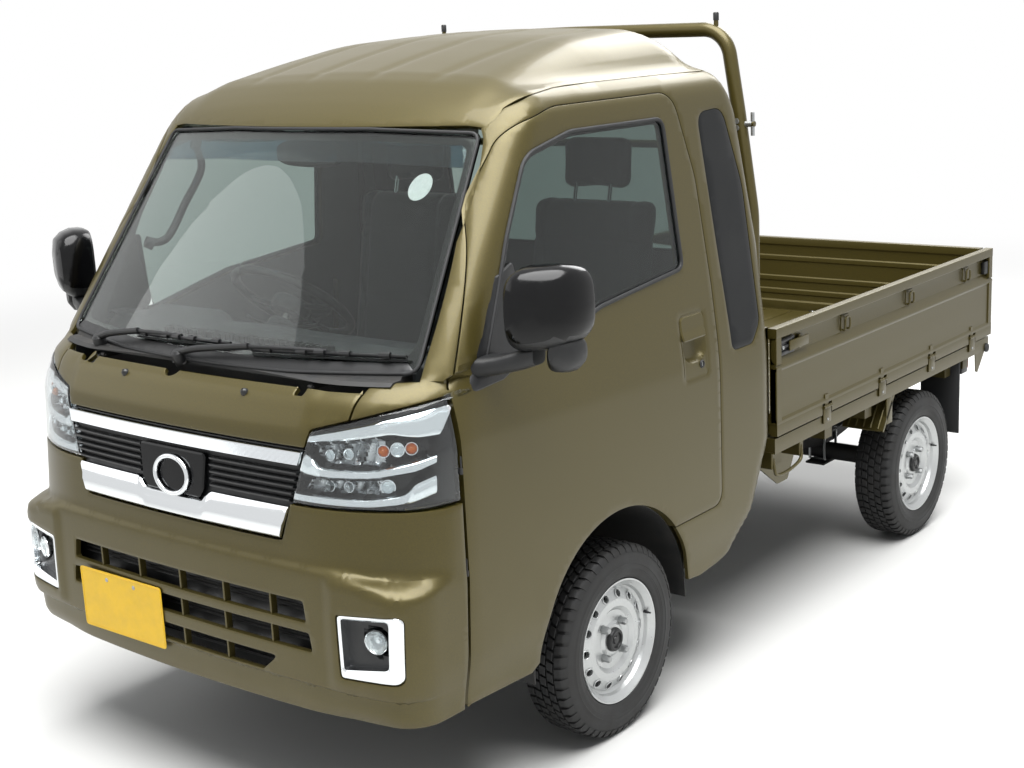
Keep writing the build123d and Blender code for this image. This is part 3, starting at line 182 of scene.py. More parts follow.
def body_paint(name, dust):
    """Metallic enamel whose dust, up to the given share, fades out 0.75 m above the ground."""
    made, tree, shader = material(name, PAINT_BASE, 0.42, 0.46, Coat_Weight=0.12, Coat_Roughness=0.05)
    flakes = noise(tree, 2.2, 2.0)
    paint = blend_colours(tree, spread(tree, flakes, 0.35, 0.65, 0.0, 1.0), PAINT_SHADE, PAINT_BASE)
    height = add(tree, "ShaderNodeSeparateXYZ", {"Vector": place(tree)}).outputs["Z"]
    low = spread(tree, height, 0.3, 0.75, dust, 0.0)
    cloud = spread(tree, noise(tree, 140.0, 5.0), 0.35, 0.7, 0.25, 1.0)
    share = add(tree, "ShaderNodeMath", {0: low, 1: cloud}, operation="MULTIPLY").outputs[0]
    join(tree, shader, Base_Color=blend_colours(tree, share, paint, PAINT_DUST),
         Roughness=spread(tree, share, 0.0, 0.5, 0.38, 0.52))
    bump(tree, shader, noise(tree, 3.2, 1.0), 0.02, 0.35)
    return made


PAINT = body_paint("khaki_metallic_enamel", 0.22)
PAINT_BED = body_paint("khaki_metallic_enamel_bed", 0.35)
print("paint ready")

# %% [markdown]
# ### Plastics, rubber and glass
# Grained polypropylene is what grilles, mirrors and dashboards are moulded from: nearly
# black, with a leather-like grain about 1.5 mm wide that breaks up the highlight. Rubber is duller
# and picks up dust. Glass is clear, with the green of float glass, or smoked to near black.

# %% Plastics, rubber, glass
def grained(name, base, light, rough, grain_mm, depth):
    """A moulded plastic whose cells are grain_mm wide, with faint lighter clouds."""
    made, tree, shader = material(name, base, rough, 0.0, IOR=1.49)
    cells = add(tree, "ShaderNodeTexVoronoi", {"Vector": place(tree), "Scale": 1000.0 / grain_mm})
    share = spread(tree, noise(tree, 60.0, 4.0), 0.35, 0.7, 0.0, 0.5)
    join(tree, shader, Base_Color=blend_colours(tree, share, base, light),
         Roughness=spread(tree, noise(tree, 25.0, 3.0), 0.3, 0.7, rough - 0.05, rough + 0.08))
    bump(tree, shader, cells.outputs["Distance"], depth, 0.6)
    return made


def lacquered(name, base, light, rough, cloud_mm, **sockets):
    """A smooth painted or moulded face with faint clouds of handling and a fine orange peel."""
    made, tree, shader = material(name, base, rough, 0.0, **sockets)
    share = spread(tree, noise(tree, cloud_mm, 4.0), 0.35, 0.75, 0.0, 0.6)
    join(tree, shader, Base_Color=blend_colours(tree, share, base, light),
         Roughness=spread(tree, noise(tree, cloud_mm / 3, 3.0), 0.3, 0.7, rough * 0.85, rough * 1.3))
    bump(tree, shader, noise(tree, 4.0, 1.0), 0.01, 0.25)
    return made


BLACK_PLASTIC = grained("grained_polypropylene_black", "#0D0E0F", "#18191B", 0.42, 1.6, 0.08)
GLOSS_BLACK = lacquered("gloss_black_abs", "#050506", "#0C0D0E", 0.15, 45.0, IOR=1.45,
                        Specular_IOR_Level=0.3)
DASH_PLASTIC = grained("grained_dashboard_plastic", "#26282B", "#303236", 0.55, 2.0, 0.1)
TRIM_GREY = grained("grained_trim_plastic_grey", "#3A3C3F", "#45474A", 0.6, 2.4, 0.08)
HEADLINER = grained("needled_headliner_felt", "#8F8D86", "#9B9990", 0.95, 1.2, 0.15)


def rubber(name, base, dust, share_low, share_high):
    """A dull black that picks up dust in clouds."""
    made, tree, shader = material(name, base, 0.72, 0.0, IOR=1.52)
    share = spread(tree, noise(tree, 70.0, 6.0, roughness=0.65), 0.38, 0.75, share_low, share_high)
    join(tree, shader, Base_Color=blend_colours(tree, share, base, dust),
         Roughness=spread(tree, share, 0.0, 0.6, 0.62, 0.9))
    bump(tree, shader, noise(tree, 1.5, 3.0), 0.08, 0.4)
    return made


TYRE_RUBBER = rubber("vulcanised_tyre_rubber", "#0C0D0E", "#2B2926", 0.0, 0.4)
SEAL_RUBBER = rubber("extruded_seal_rubber", "#0E0F10", "#26272A", 0.0, 0.3)


def glass(name, tint, see, rough=0.0, dust="#8B8B85", dust_share=0.05, bend=1.42):
    """Glass whose colour carries a faint film of dust in soft clouds."""
    made, tree, shader = material(name, tint, rough, 0.0, IOR=bend)
    shader.inputs["Transmission Weight"].default_value = see
    cloud = spread(tree, noise(tree, 220.0, 4.0), 0.4, 0.8, 0.0, dust_share)
    join(tree, shader, Base_Color=blend_colours(tree, cloud, tint, dust))
    return made


CLEAR_GLASS = glass("float_glass_clear", "#DCE4E0", 1.0)
TOP_BAND_GLASS = glass("float_glass_blue_band", "#4F7C92", 1.0)
DOOR_GLASS = glass("float_glass_tinted", "#8C9A96", 1.0, bend=1.35)
DARK_GLASS = glass("smoked_glass", "#0B0E10", 0.12, 0.03, dust_share=0.03, bend=1.27)
LENS_CLEAR = glass("polycarbonate_lens_clear", "#F2F6F7", 1.0)
FRIT = lacquered("black_ceramic_frit", "#08090A", "#101214", 0.18, 60.0, IOR=1.45)
print("plastics, rubber and glass ready")

# %% [markdown]
# ### Metals
# The grille bars and lamp trims are chromed ABS, the wheels pressed steel in silver lacquer, and
# the parts underneath are steel in black chassis paint with road film.

# %% Metals
def metal(name, base, rough, streak_mm, metallic=1.0, depth=0.01):
    """A bare, plated or lacquered metal whose gloss varies in patches streak_mm wide."""
    made, tree, shader = material(name, base, rough, metallic)
    join(tree, shader, Roughness=spread(tree, noise(tree, streak_mm, 4.0), 0.3, 0.7, rough * 0.8,
                                        rough * 1.35))
    bump(tree, shader, noise(tree, streak_mm / 3, 2.0), depth, 0.3)
    return made


CHROME = metal("chromed_abs", "#D9DCDE", 0.09, 30.0)
SATIN_CHROME = metal("satin_chromed_abs", "#B9BCBE", 0.26, 20.0)
REFLECTOR = metal("vacuum_metallised_reflector", "#E6E8E8", 0.14, 12.0)
WHEEL_SILVER = metal("silver_lacquered_steel", "#B4B6B6", 0.34, 9.0, 0.75, 0.03)
BOLT_STEEL = metal("zinc_plated_steel", "#9A9C9C", 0.38, 5.0, 0.9, 0.02)
CHASSIS_BLACK = rubber("black_chassis_paint", "#121314", "#3C3832", 0.0, 0.4)
CAST_METAL = metal("cast_aluminium", "#8C8E8D", 0.55, 4.0, 0.85, 0.2)
EXHAUST_STEEL = metal("aluminised_exhaust_steel", "#7F7A72", 0.5, 15.0, 0.8, 0.05)
AMBER = glass("amber_polycarbonate", "#F08A1C", 0.7)
RED_LENS = glass("red_polycarbonate", "#B5121A", 0.55)
PLATE_YELLOW = lacquered("yellow_painted_plate", "#DDB200", "#CBA414", 0.36, 30.0, IOR=1.45)
STICKER_WHITE = lacquered("matt_vinyl_white", "#D9DCDE", "#C4C9CC", 0.5, 12.0)
print("metals ready")

# %% [markdown]
# ## Light and floor
# Plain studio light: a wide soft lamp high above the cab, a weak one on the far side, one behind
# and a pale sky. The floor is plain and pale. Where a camera ray, a mirror ray or a ray through
# glass misses everything, it sees white; the light that falls on the truck stays plain.

# %% Lamps, sky and floor
def area_lamp(name, at, aim, size, power):
    """A round soft lamp, size metres wide, that points from at to aim."""
    lamp = bpy.data.lights.new(name, "AREA")
    lamp.shape = "DISK"
    lamp.size = size
    lamp.energy = power
    held = bpy.data.objects.new(name, lamp)
    toward = Vector(aim) - Vector(at)
    held.matrix_world = Matrix.Translation(at) @ toward.to_track_quat("-Z", "Y").to_matrix().to_4x4()
    bpy.context.scene.collection.objects.link(held)


area_lamp("key_lamp", (1.2, -1.6, 7.0), (0, -0.3, 0.9), 7.0, 1300)
area_lamp("fill_lamp", (-5.0, -4.5, 3.6), (0, -0.3, 0.8), 5.0, 60)
area_lamp("rear_lamp", (-0.6, 5.2, 5.2), (0, 0.6, 0.9), 4.0, 300)


def looked_at(tree):
    """1 for a camera ray, a mirror ray and a ray through glass, 0 for a ray that carries light."""
    rays = add(tree, "ShaderNodeLightPath").outputs
    seen = rays["Is Camera Ray"]
    for kind in ("Is Glossy Ray", "Is Transmission Ray"):
        seen = add(tree, "ShaderNodeMath", {0: seen, 1: rays[kind]}, operation="MAXIMUM").outputs[0]
    return seen


WHITE = (1, 1, 1, 1)
world = bpy.data.worlds.new("pale_sky")
bpy.context.scene.world = world
world.use_nodes = True
sky_tree = world.node_tree
sky_tree.nodes.clear()
sky = add(sky_tree, "ShaderNodeBackground", {"Color": colour("#EEF2F6"), "Strength": 0.31})
backdrop = add(sky_tree, "ShaderNodeBackground", {"Color": WHITE, "Strength": 1.0})
chosen = add(sky_tree, "ShaderNodeMixShader",
             {0: looked_at(sky_tree), 1: sky.outputs[0], 2: backdrop.outputs[0]})
add(sky_tree, "ShaderNodeOutputWorld", {"Surface": chosen.outputs[0]})

FLOOR_HALF = 14.0
floor_mesh = bpy.data.meshes.new("studio_floor")
floor_mesh.from_pydata([(-FLOOR_HALF, -FLOOR_HALF, 0), (FLOOR_HALF, -FLOOR_HALF, 0),
                        (FLOOR_HALF, FLOOR_HALF, 0), (-FLOOR_HALF, FLOOR_HALF, 0)], [], [(0, 1, 2, 3)])
studio_floor = bpy.data.objects.new("studio_floor", floor_mesh)
bpy.context.scene.collection.objects.link(studio_floor)
floor_paint, floor_tree, floor_shader = material("pale_studio_floor", "#D2D2D0", 0.75)
FLOOR_FADE = (3.0, 8.5)
reach = add(floor_tree, "ShaderNodeVectorMath", {0: place(floor_tree)}, operation="LENGTH").outputs["Value"]
fade = add(floor_tree, "ShaderNodeMapRange",
           {"Value": reach, "From Min": FLOOR_FADE[0], "From Max": FLOOR_FADE[1]},
           interpolation_type="SMOOTHSTEP").outputs["Result"]
share = add(floor_tree, "ShaderNodeMath", {0: looked_at(floor_tree), 1: fade},
            operation="MULTIPLY").outputs[0]
white = add(floor_tree, "ShaderNodeEmission", {"Color": WHITE, "Strength": 1.0})
faded = add(floor_tree, "ShaderNodeMixShader", {0: share, 1: floor_shader.outputs[0], 2: white.outputs[0]})
floor_tree.links.new(faded.outputs[0], floor_tree.nodes["Material Output"].inputs["Surface"])
floor_mesh.materials.append(floor_paint)
print("light and floor ready")

# %% [markdown]
# ## The cab's surface
# Pressed panels meet in one smooth skin. Here that skin is a function that is negative inside the
# cab and positive outside: two leaning sides, a curved nose, a raked screen, a rail at the roof's
# edge and a raised dome. Where two of them meet, a smooth maximum rounds the corner as the press
# tool does. Each panel is then an outline laid on that skin and filled with triangles, so panels
# that meet on the real truck meet here, and no seam is painted on.

# %% Rounded meetings of surfaces
HALF_WIDTH = 0.737
LEAN = 0.118
SHOULDER = 0.948
RAIL_Z = 1.742


def fillet_max(a, b, radius):
    """Larger of two distances, its corner rounded off."""
    near = np.maximum(radius - np.abs(a - b), 0.0)
    return np.maximum(a, b) + near * near / (4 * radius)


def fillet_min(a, b, radius):
    """Smaller of two distances, its corner rounded off."""
    return -fillet_max(-a, -b, radius)


def soft_step(value, low, high):
    """0 below low, 1 above high, and a smooth step between them."""
    t = np.clip((value - low) / (high - low), 0.0, 1.0)
    return t * t * (3 - 2 * t)


def side_width(y, z):
    """Half width of the cab: upright below the shoulder crease, leaning in above it."""
    crease = SHOULDER + 0.006 - 0.033 * (y + 0.9)
    soft = 0.016 + 0.1 * soft_step(y, -0.55, -0.2)
    over = z - crease
    bend = np.where(over > soft, over, np.where(over > -soft, (over + soft) ** 2 / (4 * soft), 0.0))
    tuck = 0.012 * soft_step(0.47 - z, 0.0, 0.13)
    return HALF_WIDTH - LEAN * bend - tuck


def plan_arcs(middle_angle, corner_arcs, half_width):
    """Arcs of a nose seen from above: rows of radius, first angle, last angle, in radians."""
    rows = []
    width = 0.0
    angle = math.radians(middle_angle)
    for radius, end in corner_arcs:
        rows.append((radius, angle, math.radians(end)))
        width += radius * (math.sin(math.radians(end)) - math.sin(angle))
        angle = math.radians(end)
    first = (half_width - width) / math.sin(math.radians(middle_angle))
    return [(first, 0.0, math.radians(middle_angle))] + rows


def plan_table(arcs):
    """Set-back of the plan curve at evenly spaced places across, as a lookup table."""
    xs, backs = [0.0], [0.0]
    x = depth = 0.0
    for radius, start, end in arcs:
        for angle in np.linspace(start, end, 60)[1:]:
            xs.append(x + radius * (math.sin(angle) - math.sin(start)))
            backs.append(depth + radius * (math.cos(start) - math.cos(angle)))
        x, depth = xs[-1], backs[-1]
    return np.array(xs), np.array(backs)


NOSE_PLAN = plan_table(plan_arcs(4.0, ((0.502, 32.7), (0.2, 62.0), (0.08, 90.0)), HALF_WIDTH))
BUMPER_PLAN = plan_table(plan_arcs(3.0, ((1.8, 10.0), (0.1, 40.0), (0.095, 90.0)), HALF_WIDTH))
SCREEN_RADIUS = 2.168


def set_back(plan, x, half):
    """Set-back of a plan curve at x, where the body is half wide."""
    across = np.clip(np.abs(x) / half * HALF_WIDTH, 0.0, HALF_WIDTH)
    past = np.maximum(np.abs(x) / half * HALF_WIDTH - HALF_WIDTH, 0.0)
    return np.interp(across, plan[0], plan[1]) + past * 40.0


def lines_max(z, rows, radius):
    """Smooth upper envelope of straight lines, each given by two points z, y."""
    total = None
    for z0, y0, z1, y1 in rows:
        line = y0 + (z - z0) * (y1 - y0) / (z1 - z0)
        total = line if total is None else fillet_max(total, line, radius)
    return total


NOSE_LINES = ((0.69, -1.682, 1.000, -1.655), (1.000, -1.655, 1.075, -1.618), (1.075, -1.618, 1.112, -1.565))
ROOF_SIDE = ((-1.26, 1.65), (-1.092, 1.714), (-0.96, 1.735), (-0.8, RAIL_Z), (0.1, RAIL_Z))
DOME_TOP = ((-1.171, 1.652), (-1.09, 1.713), (-1.01, 1.768), (-0.8, 1.812), (-0.56, 1.853), (-0.228, 1.868),
            (0.1, 1.868))
REAR_LINE = ((1.742, -0.112), (1.61, -0.05), (1.23, -0.011), (0.64, -0.015), (0.44, -0.12), (0.33, -0.25))
RIB_PLACES = (-0.33, -0.11, 0.11, 0.33)


def nose_y(x, z, half):
    return lines_max(z, NOSE_LINES, 0.012) + set_back(NOSE_PLAN, x, half)


def screen_y(x, z):
    """Place of the windscreen's face: a leaning plane, bowed forwards in the middle."""
    slope = (-1.171 + 1.565) / (1.65 - 1.112)
    leaning = -1.565 + slope * (z - 1.112) + SCREEN_RADIUS
    return leaning - np.sqrt(SCREEN_RADIUS ** 2 - np.minimum(np.abs(x), 0.9) ** 2)


def roof_height(y):
    rows = np.array(ROOF_SIDE)
    return np.interp(y, rows[:, 0], rows[:, 1])


def dome(x, y, z):
    """The raised roof: its top line, rounded sides, a sloped back and shallow ribs."""
    rows = np.array(DOME_TOP)
    top = np.interp(y, rows[:, 0], rows[:, 1])
    before = np.interp(y - 0.05, rows[:, 0], rows[:, 1])
    after = np.interp(y + 0.05, rows[:, 0], rows[:, 1])
    crown = (before + after + top) / 3 - 0.02 * (x / 0.5) ** 2
    ribs = sum(np.exp(-((x - at) / 0.02) ** 2) for at in RIB_PLACES)
    crown = crown - 0.0045 * ribs * soft_step(y, -1.03, -0.93) * soft_step(-y, 0.27, 0.36)
    over = (z - crown) * 0.96
    lifted = np.maximum(z, 1.72) - RAIL_Z
    flank = (np.abs(x) - 0.56 + lifted * 0.63) * 0.85
    rear = (y + 0.128 + lifted * 0.75) * 0.8
    return fillet_max(fillet_max(over, flank, 0.085), rear, 0.07)


def lower_cab(x, y, z):
    """The cab without its dome and front: sides, roof rails and rear wall."""
    sides = np.abs(x) - side_width(y, z)
    ledge = z - roof_height(y) + 0.1 * np.maximum(np.abs(x) - 0.5, 0.0)
    rows = np.array(REAR_LINE)[::-1]
    rear = y - np.interp(z, rows[:, 0], rows[:, 1])
    shell = fillet_max(sides, ledge, 0.075)
    return fillet_max(shell, rear, 0.06)


def front_limit(x, y, z):
    half = side_width(y, z)
    behind = np.maximum(y - screen_y(x, 1.112) - 0.05, 0.0)
    nose = fillet_max((nose_y(x, z, half) - y) * 0.8, (z - 1.112) * 0.9 - 0.7 * behind, 0.01)
    screen = np.maximum((screen_y(x, z) - y) * 0.8, 1.106 - z)
    return fillet_min(nose, screen, 0.01)


def cab(x, y, z):
    body = fillet_min(lower_cab(x, y, z), dome(x, y, z), 0.022)
    return fillet_max(body, front_limit(x, y, z), 0.06)


def bumper(x, y, z):
    """The bumper stands a little proud of the nose, with a sloped shelf on top and a chin below."""
    half = side_width(y, z)
    across = set_back(BUMPER_PLAN, x, half)
    face = lines_max(z, ((0.322, -1.6945, 0.56, -1.6945), (0.56, -1.6945, 0.69, -1.6865)), 0.01)
    chin = -1.6945 + 0.012 * soft_step(0.408 - z, 0.0, 0.008) + 0.02 * soft_step(0.36 - z, 0.0, 0.05)
    body = (fillet_max(face, chin, 0.004) + across - y) * 0.9
    shelf_z = 0.69 - 0.04 * soft_step(np.abs(x), 0.5, 0.72)
    shelf = (z - shelf_z - 0.35 * (y - across + 1.6865)) * 0.9
    return fillet_min(fillet_max(body, shelf, 0.012), cab_front_low(x, y, z), 0.01)


def cab_front_low(x, y, z):
    """The nose above the bumper's shelf, carried straight down behind the bumper."""
    return (nose_y(x, np.maximum(z, 0.66), side_width(y, z)) - y) * 0.8


print("cab width at the rail", round(float(side_width(np.array(-0.5), np.array(1.7))), 3))

# %% [markdown]
# ## Laying an outline on the skin
# A panel's outline comes as a few corners with radii, measured on the photograph. Rays that fan
# out from inside the cab carry each outline point and each filling point on to the skin, so one
# sheet can turn a corner. A thin band at the border is folded down a little: that is the rolled
# edge that catches a line of light along every real panel gap.

# %% Outlines and fans of rays
def outline(rows, step=0.012):
    """Closed outline from rows of a, b, corner radius, in metres, with points every step."""
    points = []
    count = len(rows)
    corners = [np.array(row[:2], float) for row in rows]
    for index, row in enumerate(rows):
        before, here, after = corners[index - 1], corners[index], corners[(index + 1) % count]
        enter, leave = here - before, after - here
        length_in, length_out = np.linalg.norm(enter), np.linalg.norm(leave)
        enter, leave = enter / length_in, leave / length_out
        turn = math.acos(max(-1.0, min(1.0, float(enter @ leave))))
        radius = row[2] if len(row) > 2 else 0.0
        if radius < 1e-6 or turn < 1e-3:
            points.append(here)
            continue
        reach = min(radius * math.tan(turn / 2), 0.49 * length_in, 0.49 * length_out)
        first, last = here - enter * reach, here + leave * reach
        pieces = max(3, int(turn * radius / step) + 2)
        for k in range(pieces + 1):
            t = k / pieces
            points.append((1 - t) ** 2 * first + 2 * t * (1 - t) * here + t * t * last)
    return densify(np.array(points), step)


def densify(points, step):
    """Adds points so that no run is longer than step, and drops doubles."""
    made = []
    for here, after in zip(points, np.roll(points, -1, axis=0)):
        length = np.linalg.norm(after - here)
        if length < 1e-5:
            continue
        pieces = max(1, int(math.ceil(length / step)))
        for k in range(pieces):
            made.append(here + (after - here) * k / pieces)
    return np.array(made)


def signed_area(loop):
    x, y = loop[:, 0], loop[:, 1]
    return 0.5 * float(np.sum(x * np.roll(y, -1) - np.roll(x, -1) * y))


def move_in(loop, amount):
    """Closed loop moved to its inside by amount."""
    side = 1.0 if signed_area(loop) > 0 else -1.0
    along = np.roll(loop, -1, axis=0) - np.roll(loop, 1, axis=0)
    along /= np.maximum(np.linalg.norm(along, axis=1), 1e-9)[:, None]
    return loop + np.stack([-along[:, 1], along[:, 0]], 1) * side * amount


def inside(points, loop):
    """Which points lie inside a closed loop."""
    x, y = points[:, 0][:, None], points[:, 1][:, None]
    x0, y0 = loop[:, 0][None], loop[:, 1][None]
    x1, y1 = np.roll(loop[:, 0], -1)[None], np.roll(loop[:, 1], -1)[None]
    crosses = (y0 > y) != (y1 > y)
    with np.errstate(divide="ignore", invalid="ignore"):
        at = (x1 - x0) * (y - y0) / (y1 - y0) + x0
    return (np.sum(crosses & (x < at), axis=1) % 2) == 1


def march(function, origin, direction, far):
    """The point of each ray where function goes from inside to outside."""
    low = np.zeros(len(origin))
    high = np.full(len(origin), far)
    for _ in range(34):
        middle = (low + high) / 2
        point = origin + direction * middle[:, None]
        out = function(point[:, 0], point[:, 1], point[:, 2]) > 0
        high = np.where(out, middle, high)
        low = np.where(out, low, middle)
    return origin + direction * low[:, None]


class Fan:
    """Rays that leave a straight track and turn round its two ends, on to a skin."""

    REACH = 1.6

    def __init__(self, function, ends, depth, turn_length, frame_of):
        self.function = function
        self.ends = ends
        self.depth = depth
        self.turn_length = turn_length
        self.frame_of = np.array(frame_of, float)

    def lay(self, flat):
        """Skin points of flat places: along the track or round its end, and up."""
        flat = np.asarray(flat, float)
        low, high = self.ends
        at = np.clip(flat[:, 0], low, high)
        turn = (flat[:, 0] - at) / self.turn_length
        along, out, up = self.frame_of
        origin = at[:, None] * along + self.depth * out + flat[:, 1][:, None] * up
        direction = np.sin(turn)[:, None] * along + np.cos(turn)[:, None] * out
        return march(self.function, origin, direction, self.REACH)

    def flat(self, points):
        """Flat places of skin points."""
        along, out, up = self.frame_of
        a, b, c = points @ along, points @ out - self.depth, points @ up
        low, high = self.ends
        at = np.clip(a, low, high)
        return np.stack([at + np.arctan2(a - at, b) * self.turn_length, c], 1)


MIRROR_X = np.array([-1.0, 1.0, 1.0])
SIDE = Fan(cab, (-0.98, -0.24), 0.42, 0.3, ((0, 1, 0), (1, 0, 0), (0, 0, 1)))
ROOF = Fan(cab, (-0.44, 0.44), 1.5, 0.22, ((1, 0, 0), (0, 0, 1), (0, 1, 0)))
REAR = Fan(cab, (-0.58, 0.58), -0.3, 0.2, ((1, 0, 0), (0, 1, 0), (0, 0, 1)))
NOSE = Fan(cab, (-0.45, 0.45), 1.36, 0.287, ((1, 0, 0), (0, -1, 0), (0, 0, 1)))
BUMPER = Fan(bumper, (-0.45, 0.45), 1.36, 0.287, ((1, 0, 0), (0, -1, 0), (0, 0, 1)))


def shone(rows, function, axis, start, way, far):
    """Skin points met by rays along axis, from start; rows give the two other coordinates."""
    origin = np.insert(np.asarray(rows, float), axis, start, axis=1)
    direction = np.zeros_like(origin)
    direction[:, axis] = way
    return march(function, origin, direction, far)


def from_side(rows, function=cab):
    """Skin points of the left side at given y and z."""
    return shone(rows, function, 0, 0.3, 1.0, 0.7)


def from_front(rows, function=cab):
    """Skin points of the front at given x and z."""
    return shone(rows, function, 1, -0.9, -1.0, 1.0)


def from_rear(rows):
    """Skin points of the rear wall at given x and z."""
    return shone(rows, cab, 1, -0.4, 1.0, 0.8)


print("fans ready; nose at", np.round(NOSE.lay([[0.0, 0.85]])[0], 3))

# %% [markdown]
# ### From outline to panel
# A constrained triangulation fills the flat outline with its holes cut out, and the fan carries the
# triangles on to the skin. Every panel gets a back and a rim, so that it has a real thickness.

# %% Sheets of triangles with rolled edges
def link_mesh(name, verts, faces, materials, indices=None, crease=32.0):
    """A mesh object from plain lists, smooth except where faces meet at more than crease degrees."""
    mesh = bpy.data.meshes.new(name)
    mesh.from_pydata([tuple(v) for v in verts], [], [tuple(int(i) for i in f) for f in faces])
    for item in materials:
        mesh.materials.append(item)
    if indices is not None:
        mesh.polygons.foreach_set("material_index", [int(i) for i in indices])
    mesh.update()
    smooth(mesh, crease)
    made = bpy.data.objects.new(name, mesh)
    bpy.context.scene.collection.objects.link(made)
    return made


def smooth(mesh, crease=32.0):
    """Shades a mesh smooth but for edges sharper than crease degrees."""
    work = bmesh.new()
    work.from_mesh(mesh)
    limit = math.radians(crease)
    for face in work.faces:
        face.smooth = True
    for edge in work.edges:
        edge.smooth = len(edge.link_faces) == 2 and edge.calc_face_angle(4.0) < limit
    work.to_mesh(mesh)
    work.free()


def fill(loops, step, extra=None):
    """Triangles that fill an outer loop less its holes, with a grid of points inside."""
    outer, holes = loops[0], loops[1:]
    low, high = outer.min(0), outer.max(0)
    xs = np.arange(low[0] + step / 2, high[0], step)
    ys = np.arange(low[1] + step / 2, high[1], step)
    grid = np.stack(np.meshgrid(xs, ys), -1).reshape(-1, 2)
    if extra is not None:
        near = np.array([np.min(np.hypot(*(extra - point).T)) for point in grid])
        grid = np.concatenate([grid[near > step * 0.4], extra])
    grid = grid[inside(grid, outer)]
    for hole in holes:
        grid = grid[~inside(grid, hole)]
    border = np.concatenate(loops)
    if len(grid):
        gap = np.array([np.min(np.hypot(*(border - point).T)) for point in grid])
        grid = grid[gap > step * 0.3]
    points = np.concatenate([border, grid])
    edges = []
    start = 0
    for loop in loops:
        count = len(loop)
        edges += [(start + i, start + (i + 1) % count) for i in range(count)]
        start += count
    out = delaunay_2d_cdt([Vector(p) for p in points], edges, [], 0, 1e-7)
    flat = np.array([tuple(v) for v in out[0]])
    faces = np.array([f for f in out[2] if len(f) == 3])
    middle = flat[faces].mean(1)
    keep = inside(middle, outer)
    for hole in holes:
        keep &= ~inside(middle, hole)
    faces = faces[keep]
    a, b, c = flat[faces[:, 0]], flat[faces[:, 1]], flat[faces[:, 2]]
    area = (b[:, 0] - a[:, 0]) * (c[:, 1] - a[:, 1]) - (b[:, 1] - a[:, 1]) * (c[:, 0] - a[:, 0])
    faces = faces[np.abs(area) > 1e-10]
    area = area[np.abs(area) > 1e-10]
    faces[area < 0] = faces[area < 0][:, ::-1]
    used = np.unique(faces)
    renumber = np.full(len(flat), -1)
    renumber[used] = np.arange(len(used))
    return flat[used], renumber[faces]


def normals(function, points):
    """Outward unit vectors of a skin at points on it."""
    small = 2e-4
    slopes = []
    for axis in range(3):
        shift = np.zeros(3)
        shift[axis] = small
        ahead, behind = points + shift, points - shift
        slopes.append(function(*ahead.T) - function(*behind.T))
    vectors = np.stack(slopes, 1)
    return vectors / np.maximum(np.linalg.norm(vectors, axis=1), 1e-12)[:, None]


def sheet_mesh(fan, loops, step=0.018, thick=0.01, edge=0.003, drop=0.0012, shape=None, lift=0.0,
               extra=None):
    """Verts, faces and face kinds of a panel on the skin: 0 outside, 1 rim, 2 inside."""
    rings = []
    for number, loop in enumerate(loops):
        inner = move_in(loop, edge if number == 0 else -edge)
        rings.append((loop, inner))
    flat, faces = fill([inner for _, inner in rings], step, extra)
    top = fan.lay(flat)
    out = normals(fan.function, top)
    push = (shape(top) if shape else np.zeros(len(top))) + lift
    top = top + out * push[:, None]
    keys = {tuple(np.round(p, 6)): i for i, p in enumerate(flat)}
    bottom = top - out * thick
    verts = [top, bottom]
    count = len(top)
    all_faces = [tuple(f) for f in faces] + [tuple(int(i) + count for i in f[::-1]) for f in faces]
    kinds = [0] * len(faces) + [2] * len(faces)
    start = 2 * count
    for number, (loop, inner) in enumerate(rings):
        on = fan.lay(loop)
        n = normals(fan.function, on)
        base = on + n * ((shape(on) if shape else np.zeros(len(on))) + lift)[:, None]
        fold = base - n * drop
        foot = base - n * thick
        verts += [fold, foot]
        size = len(loop)
        inner_ids = [keys.get(tuple(np.round(p, 6)), -1) for p in inner]
        if min(inner_ids) < 0:
            distances = [int(np.argmin(np.hypot(*(flat - p).T))) for p in inner]
            inner_ids = [i if i >= 0 else d for i, d in zip(inner_ids, distances)]
        outward = (signed_area(loop) > 0) == (number == 0)
        for i in range(size):
            j = (i + 1) % size
            a, b = inner_ids[i], inner_ids[j]
            fa, fb = start + i, start + j
            ga, gb = start + size + i, start + size + j
            band = [(a, fa, fb, b), (fa, ga, gb, fb), (ga, a + count, b + count, gb)]
            for kind, quad in zip((0, 1, 2), band):
                ring = [q for k, q in enumerate(quad) if q != quad[k - 1]]
                if len(ring) < 3:
                    continue
                all_faces.append(tuple(ring if outward else ring[::-1]))
                kinds.append(kind)
        start += 2 * size
    return np.concatenate(verts), all_faces, kinds


def outwards(verts, faces):
    """The faces, turned round where the first one points to the cab's middle."""
    a, b, c = (np.array(verts[i]) for i in faces[0][:3])
    normal = np.cross(b - a, c - a)
    away = (a + b + c) / 3 - np.array([0.0, -0.85, 1.0])
    return faces if normal @ away > 0 else [tuple(f[::-1]) for f in faces]


def mirrored(verts, mirror):
    """Points of the left side, or their places on the right side."""
    return verts * MIRROR_X if mirror else verts


def panel(name, fan, loops, body, slot, stands_for=(), paint=None, inner=None, mirror=False, pick=None,
          **sizes):
    """One panel on the skin, finished, riding its body and standing for its CAD node.

    paint covers the outside and inner the back, which is grey trim behind body paint."""
    verts, faces, kinds = sheet_mesh(fan, loops, **sizes)
    indices = [1 if kind == 2 else 0 for kind in kinds]
    if pick:
        middles = np.array([np.mean([verts[i] for i in face], axis=0) for face in faces])
        chosen = pick(middles)
        indices = [0 if kind != 2 and chosen[k] else 1 for k, kind in enumerate(kinds)]
    verts = mirrored(verts, mirror)
    made = link_mesh(name, verts, outwards(verts, faces), [paint or PAINT, inner or paint or TRIM_GREY],
                     indices)
    finish(made, body, stands_for)


